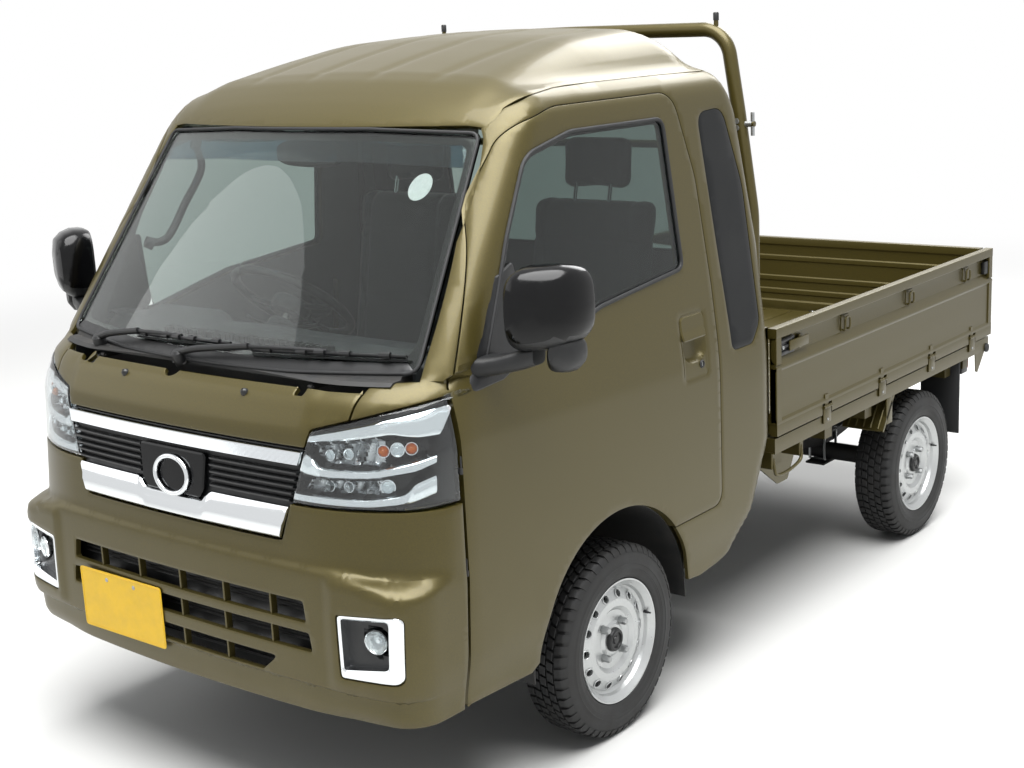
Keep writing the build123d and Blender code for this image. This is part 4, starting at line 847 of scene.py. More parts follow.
def finish(made, body, stands_for=()):
    """Gives a piece its body and hides the CAD nodes it stands for."""
    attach(made, body)
    if stands_for:
        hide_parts(*stands_for)
    print(made.name, len(made.data.polygons), "faces on", body)


SIDES = (("left", False), ("right", True))


# %% [markdown]
# ### Plain shapes
# Small fittings are made of a few plain shapes: a bar laid on the skin, a profile turned about an
# axis, a tube along a line, a box with rounded edges and a section carried along an axis.

# %% Bars, tubes, turned parts and pressed boxes
def bar(name, fan, lower, upper, profile, body, mat, depth=0.012, mirror=False):
    """A moulded bar on the skin between two flat lines; profile rows are share across, height."""
    profile = np.array(profile)
    share = profile[:, 0][None, :, None]
    flat = lower[:, None, :] * (1 - share) + upper[:, None, :] * share
    rows, cols = flat.shape[:2]
    top = fan.lay(flat.reshape(-1, 2))
    out = normals(fan.function, top)
    height = np.tile(profile[:, 1], rows)
    outer = top + out * height[:, None]
    inner = top + out * (height.min() - depth)
    grid = np.arange(rows * cols).reshape(rows, cols)
    faces = []
    for i in range(rows - 1):
        for j in range(cols - 1):
            a, b, c, d = grid[i, j], grid[i + 1, j], grid[i + 1, j + 1], grid[i, j + 1]
            faces.append((a, b, c, d))
            faces.append(tuple(k + rows * cols for k in (d, c, b, a)))
    ring = list(grid[:, 0]) + list(grid[-1, 1:]) + list(grid[:-1, -1][::-1]) + list(grid[0, 1:-1][::-1])
    for a, b in zip(ring, ring[1:] + ring[:1]):
        faces.append((b, a, a + rows * cols, b + rows * cols))
    verts = np.concatenate([outer, inner])
    verts = mirrored(verts, mirror)
    finish(link_mesh(name, verts, outwards(verts, faces), [mat], crease=38.0), body)


def turned(profile, centre, axis, count=48):
    """Verts and faces of a shape turned about an axis; profile rows are place along, radius."""
    axis = Vector(axis).normalized()
    side = axis.cross(Vector((0, 0, 1)))
    side = side.normalized() if side.length > 1e-6 else axis.orthogonal().normalized()
    up = side.cross(axis)
    centre = Vector(centre)
    verts, faces, rows = [], [], []
    for along, radius in profile:
        if radius < 1e-6:
            rows.append([len(verts)] * count)
            verts.append(centre + axis * along)
            continue
        rows.append(list(range(len(verts), len(verts) + count)))
        for k in range(count):
            angle = 2 * math.pi * k / count
            verts.append(centre + axis * along + (side * math.cos(angle) + up * math.sin(angle)) * radius)
    for here, after in zip(rows, rows[1:]):
        for k in range(count):
            j = (k + 1) % count
            face = []
            for index in (here[k], here[j], after[j], after[k]):
                if index not in face:
                    face.append(index)
            if len(face) > 2:
                faces.append(tuple(face[::-1]))
    return verts, faces


def tube(points, radius, count=12, closed=False, flat=1.0):
    """Verts and faces of a round bar that follows points."""
    points = [Vector(p) for p in points]
    size = len(points)
    verts, faces = [], []
    up = None
    for i, point in enumerate(points):
        if closed:
            ahead = points[(i + 1) % size] - points[i - 1]
        else:
            ahead = points[min(i + 1, size - 1)] - points[max(i - 1, 0)]
        ahead.normalize()
        if up is None:
            up = ahead.orthogonal().normalized()
        up = (up - ahead * up.dot(ahead)).normalized()
        side = ahead.cross(up)
        for k in range(count):
            angle = 2 * math.pi * k / count
            verts.append(point + up * math.cos(angle) * radius * flat + side * math.sin(angle) * radius)
    runs = size if closed else size - 1
    for i in range(runs):
        j = (i + 1) % size
        for k in range(count):
            m = (k + 1) % count
            faces.append((i * count + k, i * count + m, j * count + m, j * count + k))
    if not closed:
        faces.append(tuple(range(count))[::-1])
        faces.append(tuple((size - 1) * count + k for k in range(count)))
    return verts, faces


def smooth_line(points, pieces=8, closed=False):
    """Points along a smooth curve through a few given ones."""
    points = [Vector(p) for p in points]
    size = len(points)
    made = []
    runs = size if closed else size - 1
    for i in range(runs):
        if closed:
            p = [points[(i + k - 1) % size] for k in range(4)]
        else:
            p = [points[max(0, min(size - 1, i + k - 1))] for k in range(4)]
        for k in range(pieces):
            t = k / pieces
            made.append(0.5 * ((2 * p[1]) + (p[2] - p[0]) * t
                               + (2 * p[0] - 5 * p[1] + 4 * p[2] - p[3]) * t * t
                               + (3 * p[1] - 3 * p[2] + p[3] - p[0]) * t * t * t))
    if not closed:
        made.append(points[-1])
    return made


def rounded_box(low, high, edge=0.004, steps=2):
    """Verts and faces of a box whose edges are rounded."""
    work = bmesh.new()
    bmesh.ops.create_cube(work, size=1.0)
    size = [h - l for l, h in zip(low, high)]
    for vert in work.verts:
        for axis in range(3):
            vert.co[axis] = low[axis] + (vert.co[axis] + 0.5) * size[axis]
    edge = min(edge, 0.45 * min(size))
    if edge > 0:
        bmesh.ops.bevel(work, geom=list(work.edges), offset=edge, segments=steps, affect="EDGES",
                        profile=0.5)
    verts = [v.co.copy() for v in work.verts]
    index = {v: i for i, v in enumerate(work.verts)}
    faces = [tuple(index[v] for v in f.verts) for f in work.faces]
    work.free()
    return verts, faces


class Parts(list):
    """The parts of one piece, each as verts, faces and material."""

    def add(self, mat, shape, *sizes, **options):
        """Adds what shape makes of its sizes, in a material."""
        self.append((*shape(*sizes, **options), mat))


def gather(name, parts, body, stands_for=(), crease=32.0, mirror=False):
    """Joins parts (verts, faces, material) into one object; each closed part faces outwards."""
    verts, faces, indices, mats = [], [], [], []
    for part_verts, part_faces, mat in parts:
        if mat not in mats:
            mats.append(mat)
        start = len(verts)
        sign = -1.0 if mirror else 1.0
        verts += [(sign * v[0], v[1], v[2]) for v in part_verts]
        faces += [tuple(i + start for i in (f[::-1] if mirror else f)) for f in part_faces]
        indices += [mats.index(mat)] * len(part_faces)
    made = link_mesh(name, verts, faces, mats, indices, crease)
    work = bmesh.new()
    work.from_mesh(made.data)
    bmesh.ops.remove_doubles(work, verts=work.verts, dist=1e-6)
    bmesh.ops.recalc_face_normals(work, faces=work.faces)
    work.to_mesh(made.data)
    work.free()
    smooth(made.data, crease)
    finish(made, body, stands_for)


def ring_points(axis, radius, count):
    """Offsets of points on a circle about an axis."""
    axis = Vector(axis).normalized()
    side = axis.orthogonal().normalized()
    up = axis.cross(side)
    turns = [2 * math.pi * k / count for k in range(count)]
    return [(side * math.cos(t) + up * math.sin(t)) * radius for t in turns]


def extruded(section, low, high, axis=1):
    """Verts and faces of a closed section, rows of two other coordinates, carried along an axis."""
    verts, faces = [], []
    size = len(section)
    for at in (low, high):
        for a, b in section:
            point = [a, b]
            point.insert(axis, at)
            verts.append(Vector(point))
    faces.append(tuple(range(size)))
    faces.append(tuple(range(2 * size - 1, size - 1, -1)))
    for k in range(size):
        j = (k + 1) % size
        faces.append((k, j, j + size, k + size))
    return verts, faces


# %% [markdown]
# ## Doors and body sides
# The door outline, the windows and the wheel arch were measured on the photograph as places along
# the truck and heights. The door and the side around it are cut from one skin along one outline,
# 5 mm apart, as the real panels are. The side runs up the windscreen pillar, along the roof and
# down behind the door to the sill, as one pressing.

# %% Outlines of the side
GAP = 0.005
ARCH_CENTRE = (-0.83, 0.29)
ARCH_RADIUS = 0.347
DOOR_FRONT = ((-1.463, 0.333, 0.004), (-1.443, 0.64, 0.2), (-1.441, 1.085, 0.06))
DOOR_TOP = ((-1.215, 1.48, 0.3), (-1.085, 1.648, 0.16), (-0.93, 1.687, 0.25), (-0.398, 1.687, 0.09))
DOOR_REAR = ((-0.33, 1.45, 0.3), (-0.313, 1.15, 0.4), (-0.315, 0.513, 0.05))
DOOR_WINDOW = ((-1.325, 1.116, 0.012), (-1.18, 1.4, 0.06), (-1.068, 1.58, 0.1), (-0.88, 1.62, 0.2),
               (-0.462, 1.618, 0.035), (-0.452, 1.216, 0.03), (-0.843, 1.18, 0.1), (-1.13, 1.112, 0.1))
QUARTER_WINDOW = ((-0.285, 1.62, 0.045), (-0.148, 1.627, 0.06), (-0.084, 1.4, 0.3), (-0.075, 1.000, 0.05),
                  (-0.125, 0.945, 0.04), (-0.24, 0.945, 0.03), (-0.262, 1.25, 0.3))


def arch_points(first, last, count=48, radius=ARCH_RADIUS):
    """Points of the wheel arch between two angles in degrees, from the rear over the top."""
    turns = np.radians(np.linspace(first, last, count))
    return np.stack([ARCH_CENTRE[0] + radius * np.cos(turns), ARCH_CENTRE[1] + radius * np.sin(turns)], 1)


ARCH_MEETS_DOOR = math.degrees(math.asin((0.513 - ARCH_CENTRE[1]) / ARCH_RADIUS))
arch = [(y, z, 0.0) for y, z in arch_points(ARCH_MEETS_DOOR, 172.0)]
door_rows = DOOR_FRONT + DOOR_TOP + DOOR_REAR + tuple(arch) + ((-1.208, 0.322, 0.0),)
door_loop = outline(door_rows, 0.014)
door_window = outline(DOOR_WINDOW, 0.012)
print("door outline", len(door_loop), "points")


def flat_loop(fan, points, gap=0.0, step=0.012):
    """A closed loop of skin points as a flat loop of the fan, moved in by gap."""
    return move_in(densify(fan.flat(points), step), gap)


side_door = flat_loop(SIDE, from_side(door_loop), GAP / 2)
side_window = flat_loop(SIDE, from_side(door_window))

# %% [markdown]
# ### Handle recess
# The outside handle is a pull flap over a scoop for the fingers, in a rounded bezel that lies a
# little below the door. The bezel is its own finely divided patch of the same skin, pressed
# inwards, so that the door itself can stay light.

# %% Doors
HANDLE_CENTRE = (-0.4385, 0.998)
POCKET = outline(((-0.501, 0.907, 0.022), (-0.501, 1.09, 0.022), (-0.376, 1.09, 0.022),
                  (-0.376, 0.907, 0.022)), 0.006)
pocket_flat = flat_loop(SIDE, from_side(POCKET))
crease_line = np.array([(y, SHOULDER - 0.033 * (y + 0.9) + d) for d in (-0.008, 0.0, 0.006, 0.014)
                        for y in np.arange(-1.42, -0.32, 0.02)])
crease_flat = SIDE.flat(from_side(crease_line))


def pocket_depth(points):
    """The handle's bezel lies 1.5 mm below the skin, with a scoop for the fingers under the flap."""
    y = (points[:, 1] - HANDLE_CENTRE[0]) / 0.056
    z = (points[:, 2] - HANDLE_CENTRE[1]) / 0.044
    rim = np.maximum(np.abs(points[:, 1] - HANDLE_CENTRE[0]) - 0.0625,
                     np.abs(points[:, 2] - HANDLE_CENTRE[1]) - 0.0915)
    scoop = 0.02 * soft_step(1 - np.abs(y) ** 3 - np.abs(z) ** 3, 0.0, 0.8)
    return -0.0018 * soft_step(-rim, 0.0008, 0.003) - scoop


for side, flip in SIDES:
    panel(f"door_skin_{side}", SIDE, [side_door, side_window, pocket_flat], f"door_{side}", "body_paint",
          (f"door_{side}",), mirror=flip, thick=0.028, extra=crease_flat)
    panel(f"door_pocket_{side}", SIDE, [pocket_flat], f"door_{side}", "body_paint", mirror=flip, step=0.006,
          thick=0.004, edge=0.001, drop=0.0002, shape=pocket_depth)

# %% [markdown]
# ### Body sides
# One closed loop goes up the windscreen's edge, along the roof seam, down the cab's rear corner,
# under the sill and back round the door opening.

# %% Body sides
SCREEN_EDGE = ((0.648, 1.112), (0.641, 1.16), (0.607, 1.4), (0.576, 1.622), (0.56, 1.645))
ROOF_SEAM = ((-1.045, 1.69), (-0.96, 1.716), (-0.86, 1.726), (-0.7, 1.729), (-0.4, 1.729), (-0.15, 1.726))
REAR_SEAM_X = 0.6
SILL = ((-0.22, 0.362), (-0.251, 0.35), (-0.33, 0.336), (-0.424, 0.327), (-0.487, 0.334))


def split_loop(loop, first, last):
    """The part of a closed loop from the point nearest first to the one nearest last."""
    start = int(np.argmin(np.hypot(*(loop - np.array(first)).T)))
    end = int(np.argmin(np.hypot(*(loop - np.array(last)).T)))
    if end < start:
        end += len(loop)
    return loop[[i % len(loop) for i in range(start, end + 1)]]


arch_corner = (ARCH_CENTRE[0] + ARCH_RADIUS * math.cos(math.radians(ARCH_MEETS_DOOR)), 0.513)
opening = split_loop(door_loop, (-1.441, 1.092), arch_corner)
rear_seam = np.array([(REAR_SEAM_X, z) for z in np.linspace(1.69, 0.56, 40)])
low_rear = ((-0.095, 0.5), (-0.125, 0.425), (-0.175, 0.385))
wing_front = [(x, 1.0135 + (x - 0.449) * 0.2695) for x in np.linspace(0.722, 0.546, 14)]
wing_inner = [(0.5475, 1.06), (0.55, 1.085), (0.552, 1.1), (0.553, 1.109)]
side_points = np.concatenate([
    from_front(SCREEN_EDGE), from_side(ROOF_SEAM), from_rear(rear_seam), from_side(low_rear),
    from_side(SILL), from_side(arch_points(7.5, ARCH_MEETS_DOOR, 20)), from_side(opening[::-1]),
    from_front(wing_front), from_front(wing_inner)])
side_frame = flat_loop(SIDE, side_points)
quarter_flat = flat_loop(SIDE, from_side(outline(QUARTER_WINDOW, 0.01)))
for side, flip in SIDES:
    panel(f"body_side_{side}", SIDE, [side_frame, quarter_flat], "chassis", "body_paint",
          (f"cab_side_{side}",), mirror=flip, thick=0.012)

# %% [markdown]
# ## Roof and rear wall
# The roof is one pressing with a raised middle and shallow ribs that stop it drumming. Its edge
# follows the seam with the body sides, and its back edge the top of the rear wall.

# %% Roof
seam_3d = from_side(ROOF_SEAM)
screen_corner = from_front(((0.576, 1.622), (0.56, 1.645)))
HEADER = [(x, 1.65) for x in np.linspace(0.52, -0.52, 30)]
header_3d = from_front(HEADER)
rear_top = from_rear([(x, 1.704) for x in np.linspace(0.6, -0.6, 40)])
roof_points = np.concatenate([header_3d, (screen_corner * MIRROR_X)[::-1], seam_3d * MIRROR_X,
                              rear_top[::-1], seam_3d[::-1], screen_corner])
roof_flat = flat_loop(ROOF, roof_points, GAP / 2)
panel("roof_skin", ROOF, [roof_flat], "chassis", "body_paint", ("cab_roof",), step=0.013, thick=0.014,
      inner=HEADLINER)

# %% [markdown]
# ### Rear wall
# The rear wall is one pressing round its window, stiffened by three wide ribs below the glass.

# %% Rear wall
REAR_WINDOW = outline(((-0.47, 1.18, 0.05), (-0.47, 1.58, 0.05), (0.47, 1.58, 0.05), (0.47, 1.18, 0.05)),
                      0.012)
REAR_WALL = outline(((-0.6, 0.56, 0.0), (-0.6, 1.704, 0.0), (0.6, 1.704, 0.0), (0.6, 0.56, 0.0)), 0.014)


def rear_swage(points):
    """Pressed ribs across the rear wall below its window, and a raised frame round the window."""
    x, z = points[:, 0], points[:, 2]
    ribs = sum(soft_step(0.03 - np.abs(z - at), 0.0, 0.012) for at in (0.78, 0.92, 1.06))
    return 0.006 * ribs * soft_step(0.52 - np.abs(x), 0.0, 0.03) - 0.006


panel("rear_wall_skin", REAR, [flat_loop(REAR, from_rear(REAR_WALL), GAP / 2),
                               flat_loop(REAR, from_rear(REAR_WINDOW))], "chassis", "body_paint",
      ("cab_back",), step=0.014, thick=0.012, shape=rear_swage)

# %% [markdown]
# ## Front lid, bumper and their openings
# The short lid under the windscreen covers the fluid fillers. The bumper is one body-coloured
# moulding from the lamps down to the chin, with three rows of intake between two slats.

# %% Front lid
LID_ROWS = ((0.548, 1.0945, 0.004), (0.542, 1.037, 0.006), (0.451, 1.0125, 0.01), (0.438, 0.969, 0.008))
LID_REAR_Z = 1.0945
HINGE_SLOTS = (-0.3875, 0.3875)
lid_rear = []
for middle in sorted((-0.42, -0.06) + HINGE_SLOTS):
    if middle in HINGE_SLOTS:
        corners = ((-0.012, LID_REAR_Z), (-0.012, 1.08), (0.012, 1.08), (0.012, LID_REAR_Z))
        lid_rear += [(middle + x, z, 0.003) for x, z in corners]
    else:
        turns = np.radians(np.linspace(198, 342, 9))
        lid_rear += [(middle + 0.0265 * math.cos(t), 1.1 + 0.0186 * math.sin(t), 0.0) for t in turns]
lid_outline = outline(list(LID_ROWS) + [(-x, z, r) for x, z, r in LID_ROWS[::-1]] + lid_rear, 0.012)


def lid_swage(points):
    """A shallow raised field over the upper middle of the lid."""
    x, z = np.abs(points[:, 0]), points[:, 2]
    return 0.003 * soft_step(z, 0.985, 1.005) * soft_step(0.46 - x, 0.0, 0.04)


panel("front_lid_skin", NOSE, [flat_loop(NOSE, from_front(lid_outline), GAP / 2)], "front_lid", "body_paint",
      ("front_lid",), step=0.012, thick=0.012, shape=lid_swage)

# %% [markdown]
# ### Bumper
# The bumper has its own skin, because it stands proud of the nose. Extra filling points follow the
# shelf and the chin's step, so that these creases stay crisp between the larger triangles.

# %% Bumper
BUMPER_REAR = ((-1.468, 0.33), (-1.4575, 0.48), (-1.448, 0.64), (-1.4465, 0.7), (-1.446, 0.834))
GRILLE_SIDE = ((0.391, 0.834), (0.364, 0.746))
INTAKE_CELLS = ((0.43, 0.438, 0.611, 0.558), (0.444, 0.452, 0.535, 0.488), (0.338, 0.285, 0.4575, 0.4125))
FOG_OPENING = ((0.531, 0.599, 0.012), (0.706, 0.616, 0.02), (0.703, 0.45, 0.024), (0.535, 0.443, 0.014))

half_line = np.concatenate([
    from_front([(x, 0.33) for x in np.linspace(0.0, 0.7, 40)], bumper),
    from_side(BUMPER_REAR, bumper),
    from_front([(x, 0.834) for x in np.linspace(0.715, 0.395, 24)], bumper),
    from_front(GRILLE_SIDE, bumper),
    from_front([(x, 0.744) for x in np.linspace(0.35, 0.0, 20)], bumper)])
bumper_points = np.concatenate([half_line, (half_line * MIRROR_X)[::-1][1:-1]])
bumper_flat = flat_loop(BUMPER, bumper_points, GAP / 4)
holes = []
for top_half, low_half, top_z, low_z in INTAKE_CELLS:
    row = outline(((top_half, top_z, 0.008), (low_half, low_z, 0.008), (-low_half, low_z, 0.008),
                   (-top_half, top_z, 0.008)), 0.01)
    holes.append(flat_loop(BUMPER, from_front(row, bumper), step=0.01))
fog_loop = outline(FOG_OPENING, 0.008)
for sign in (1, -1):
    points = from_front(fog_loop, bumper) * np.array([sign, 1.0, 1.0])
    holes.append(flat_loop(BUMPER, points, step=0.008))
STATIONS = np.arange(-0.8, 0.805, 0.016)
shelf_rows = np.array([(a, z) for z in np.arange(0.642, 0.706, 0.004) for a in STATIONS])
shelf_at = 0.69 - 0.04 * soft_step(np.abs(shelf_rows[:, 0]), 0.5, 0.74)
shelf_rows = shelf_rows[np.abs(shelf_rows[:, 1] - shelf_at) < 0.014]
chin_rows = np.array([(a, z) for z in (0.396, 0.401, 0.405, 0.409) for a in STATIONS])


def fog_step(points):
    """The fog lamp's pod: an upright step line inboard of each fog lamp, over the full height."""
    x, z = np.abs(points[:, 0]), points[:, 2]
    sideways = 0.006 * (soft_step(x, 0.502, 0.51) - soft_step(x, 0.69, 0.735))
    return sideways * soft_step(0.685 - z, 0.0, 0.02) * soft_step(z, 0.405, 0.415)


panel("bumper_skin", BUMPER, [bumper_flat] + holes, "chassis", "body_paint", ("front_bumper",), step=0.014,
      thick=0.016, shape=fog_step, extra=np.concatenate([shelf_rows, chin_rows]), inner=BLACK_PLASTIC)

# %% [markdown]
# ## Grille
# Behind the chromed bars lies a black moulding with fine louvres. Each louvre and bar is a small
# profile carried along the nose, so it bends with the skin it sits on. A plain ring fills the
# middle of the gloss-black centre panel.

# %% Grille
def front_line(fan, rows, function=cab):
    return fan.flat(from_front(rows, function))


GRILLE_ROWS = ((0.433, 0.964, 0.006), (0.392, 0.836, 0.0), (0.362, 0.748, 0.01))
grille_outline = outline(list(GRILLE_ROWS) + [(-x, z, r) for x, z, r in GRILLE_ROWS[::-1]], 0.014)
panel("grille_backing", NOSE, [flat_loop(NOSE, from_front(grille_outline))], "chassis", "black_plastic",
      ("grille",), paint=BLACK_PLASTIC, step=0.03, thick=0.012, lift=-0.01)

across = np.linspace(-1.0, 1.0, 61)
top_bar_low = front_line(NOSE, [(0.4215 * a, 0.927) for a in across])
top_bar_high = front_line(NOSE, [(0.4325 * a, 0.962) for a in across])
LINED = tuple((0.02 + 0.96 * k / 24, 0.0085 - 0.0013 * (k % 2)) for k in range(1, 24))
TOP_BAR = ((0.0, -0.004), (0.02, 0.004)) + LINED + ((0.98, 0.004), (1.0, -0.004))
bar("grille_top_bar", NOSE, top_bar_low, top_bar_high, TOP_BAR, "chassis", CHROME)


def notch(x):
    """Drop of the lower bar's top edge round the centre panel."""
    return 0.024 * (soft_step(x, -0.14, -0.112) - soft_step(x, 0.1, 0.128))


low_bar_low = front_line(NOSE, [(0.3625 * a, 0.749) for a in across])
low_bar_high = front_line(NOSE, [(0.39 * a, 0.829 - float(notch(0.39 * a))) for a in across])
LOWER_BAR = ((0.0, -0.004), (0.03, 0.004), (0.12, 0.01), (0.45, 0.012), (0.62, 0.0085), (0.9, 0.0075),
             (0.98, 0.003), (1.0, -0.004))
bar("grille_lower_bar", NOSE, low_bar_low, low_bar_high, LOWER_BAR, "chassis", CHROME)

LOUVRE = ((0.0, -0.006), (0.25, 0.003), (0.7, 0.0045), (1.0, -0.005))
for sign, side in ((1, "left"), (-1, "right")):
    for number in range(5):
        z = 0.843 + number * 0.0165
        first, last = 0.13, 0.389 + (z - 0.83) * 0.33
        xs = np.linspace(first, last, 16) * sign
        bar(f"grille_louvre_{side}_{number}", NOSE, front_line(NOSE, [(x, z - 0.0045) for x in xs]),
            front_line(NOSE, [(x, z + 0.0055) for x in xs]), LOUVRE, "chassis",
            BLACK_PLASTIC, depth=0.004)

CENTRE_PANEL = outline(((-0.13, 0.918, 0.012), (0.118, 0.918, 0.012), (0.108, 0.83, 0.012),
                        (0.092, 0.806, 0.012), (-0.104, 0.806, 0.012), (-0.12, 0.83, 0.012)), 0.008)
panel("grille_centre", NOSE, [flat_loop(NOSE, from_front(CENTRE_PANEL))], "chassis", "black_plastic",
      paint=GLOSS_BLACK, step=0.012, thick=0.01, lift=0.006, edge=0.004, drop=0.003)

ring_places = from_front([(0.06 * math.cos(t), 0.853 + 0.046 * math.sin(t))
                          for t in np.linspace(0, 2 * math.pi, 65)[:-1]])
ring_places[:, 1] -= 0.0125
gather("grille_ring", [(*tube(ring_places, 0.0065, 12, closed=True), CHROME)], "chassis")

# %% [markdown]
# ## Headlamps
# A headlamp is a clear cover over a dark housing with two cells, one above the other. The housing
# is the same skin pushed inwards, with scooped reflector chambers pressed into both cells. Three
# broad chromed bands frame the cells, and small lamp units and amber turn lamps sit in them.

# %% Headlamps
LAMP_OUTER = ((-1.447, 0.838), (-1.4455, 0.95), (-1.445, 1.08))
lamp_edge = np.concatenate([
    from_front([(x, 0.838) for x in np.linspace(0.4, 0.712, 24)]),
    from_side(LAMP_OUTER),
    from_front([(x, 1.0095 + (x - 0.449) * 0.2695) for x in np.linspace(0.72, 0.452, 20)]),
    from_front(((0.4485, 1.004), (0.398, 0.842)))])
lamp_flat = flat_loop(NOSE, lamp_edge, 0.002)
UPPER_CELL = (
    ((0.44, 0.963), (0.468, 0.932), (0.606, 0.932), (0.694, 0.952), (0.716, 0.96)),
    ((0.44, 0.979), (0.555, 0.994), (0.638, 1.008), (0.697, 1.000), (0.716, 1.000)))
LOWER_CELL = (
    ((0.405, 0.868), (0.601, 0.866), (0.668, 0.877), (0.691, 0.9), (0.716, 0.913)),
    ((0.412, 0.905), (0.493, 0.9), (0.604, 0.904), (0.692, 0.918), (0.716, 0.932)))
CHAMBER_END = 0.604
CHAMBER_WIDTH = 0.052


def cell_share(points):
    """How far each point lies inside one of the two lamp cells, from 0 at the rim to 1."""
    x, z = np.abs(points[:, 0]), points[:, 2]
    share = np.zeros(len(points))
    for lows, highs in (UPPER_CELL, LOWER_CELL):
        low, high = np.interp(x, *zip(*lows)), np.interp(x, *zip(*highs))
        across = np.minimum(soft_step(z, low, low + 0.006), 1 - soft_step(z, high - 0.006, high))
        along = np.minimum(soft_step(x, lows[0][0], lows[0][0] + 0.008), 1 - soft_step(x, 0.712, 0.72))
        share = np.maximum(share, np.minimum(across, along))
    return share


def chamber(points):
    """Scooped reflector chambers side by side, leaning outwards: 0 at a wall, 1 in a middle."""
    x, z = np.abs(points[:, 0]), points[:, 2]
    place_in = ((x - 0.35 * (z - 0.93) - 0.448) / CHAMBER_WIDTH) % 1.0
    return 1 - (2 * place_in - 1) ** 2


def housing_depth(points):
    scoop = np.where(np.abs(points[:, 0]) < CHAMBER_END, 0.02 * chamber(points), 0.012)
    return -0.014 - cell_share(points) * (0.016 + scoop)


def is_reflector(points):
    return (cell_share(points) > 0.25) & (np.abs(points[:, 0]) < CHAMBER_END) & (chamber(points) > 0.1)


def resampled(rows, count=20):
    """Points evenly spread over the index of a short list of rows."""
    rows = np.array(rows)
    at = np.linspace(0, len(rows) - 1, count)
    return np.stack([np.interp(at, np.arange(len(rows)), rows[:, k]) for k in (0, 1)], 1)


LAMP_BAR = ((0.0, -0.02), (0.05, -0.01), (0.2, -0.006), (0.8, -0.006), (0.95, -0.01), (1.0, -0.02))
LAMP_BARS = (
    ("top", ((0.443, 0.981), (0.555, 0.996), (0.638, 1.01), (0.69, 1.0), (0.716, 0.999)),
     ((0.45, 1.002), (0.56, 1.029), (0.64, 1.048), (0.695, 1.06), (0.716, 1.064))),
    ("middle", ((0.415, 0.909), (0.447, 0.906), (0.493, 0.903), (0.604, 0.907), (0.692, 0.921),
                (0.716, 0.936)),
     ((0.438, 0.957), (0.451, 0.95), (0.472, 0.928), (0.606, 0.928), (0.694, 0.949), (0.716, 0.957))),
    ("lower", ((0.4, 0.842), (0.52, 0.841), (0.6, 0.841), (0.66, 0.846), (0.69, 0.854), (0.716, 0.866)),
     ((0.406, 0.865), (0.52, 0.863), (0.6, 0.863), (0.668, 0.874), (0.691, 0.898), (0.716, 0.911))))
LAMP_UNITS = (
    # x, z, radius, material
    (0.622, 0.969, 0.0125, AMBER), (0.652, 0.973, 0.014, LENS_CLEAR), (0.682, 0.975, 0.0125, AMBER),
    (0.632, 0.886, 0.015, LENS_CLEAR), (0.54, 0.96, 0.011, LENS_CLEAR), (0.49, 0.954, 0.011, LENS_CLEAR),
    (0.54, 0.884, 0.011, LENS_CLEAR), (0.49, 0.883, 0.011, LENS_CLEAR))
for side, flip in SIDES:
    panel(f"lamp_housing_{side}", NOSE, [move_in(lamp_flat, 0.003)], "chassis", "lamp_lens", mirror=flip,
          paint=SATIN_CHROME, inner=GLOSS_BLACK, step=0.0055, thick=0.006, shape=housing_depth,
          pick=is_reflector)
    panel(f"lamp_cover_{side}", NOSE, [lamp_flat], "chassis", "lamp_lens", mirror=flip, paint=LENS_CLEAR,
          step=0.018, thick=0.003, edge=0.004, drop=0.0018)
    for label, rows_low, rows_high in LAMP_BARS:
        bar(f"lamp_{label}_bar_{side}", NOSE, front_line(NOSE, resampled(rows_low)),
            front_line(NOSE, resampled(rows_high)), LAMP_BAR, "chassis", CHROME, depth=0.006,
            mirror=flip)
    parts = Parts()
    for x, z, radius, lens in LAMP_UNITS:
        base = from_front([(x, z)])
        out = Vector(normals(cab, base)[0])
        centre = Vector(base[0]) - out * 0.04
        cup = [(0.0, 0.0), (0.0, radius * 1.15), (0.01, radius * 1.2), (0.01, radius * 1.05),
               (0.002, radius), (0.001, 0.0)]
        lens_rows = [(0.002, 0.0), (0.002, radius), (0.012, radius * 0.95), (0.019, radius * 0.7),
                     (0.023, radius * 0.35), (0.024, 0.0)]
        parts.add(CHROME, turned, cup, centre, out, 20)
        parts.add(lens, turned, lens_rows, centre, out, 20)
    gather(f"lamp_units_{side}", parts, "chassis", mirror=flip)

# %% [markdown]
# ## Fog lamps, intake and number plate
# Each fog lamp sits at the outer side of a black pod with a chromed bezel round three of its sides.
# The intake's cells are divided by thin body-coloured uprights, with a black grid of rods behind
# them. The number plate is blank.

# %% Fog lamps
FOG_INNER = outline(((0.5435, 0.588, 0.005), (0.674, 0.601, 0.012), (0.67, 0.484, 0.014),
                     (0.5465, 0.466, 0.006)), 0.008)
FOG_LAMP_AT = (0.632, 0.541)


def fog_bowl(points):
    """The pod is pressed back round its lamp."""
    away = np.hypot(np.abs(points[:, 0]) - FOG_LAMP_AT[0], points[:, 2] - FOG_LAMP_AT[1])
    return -0.03 * soft_step(0.036 - away, 0.0, 0.01)


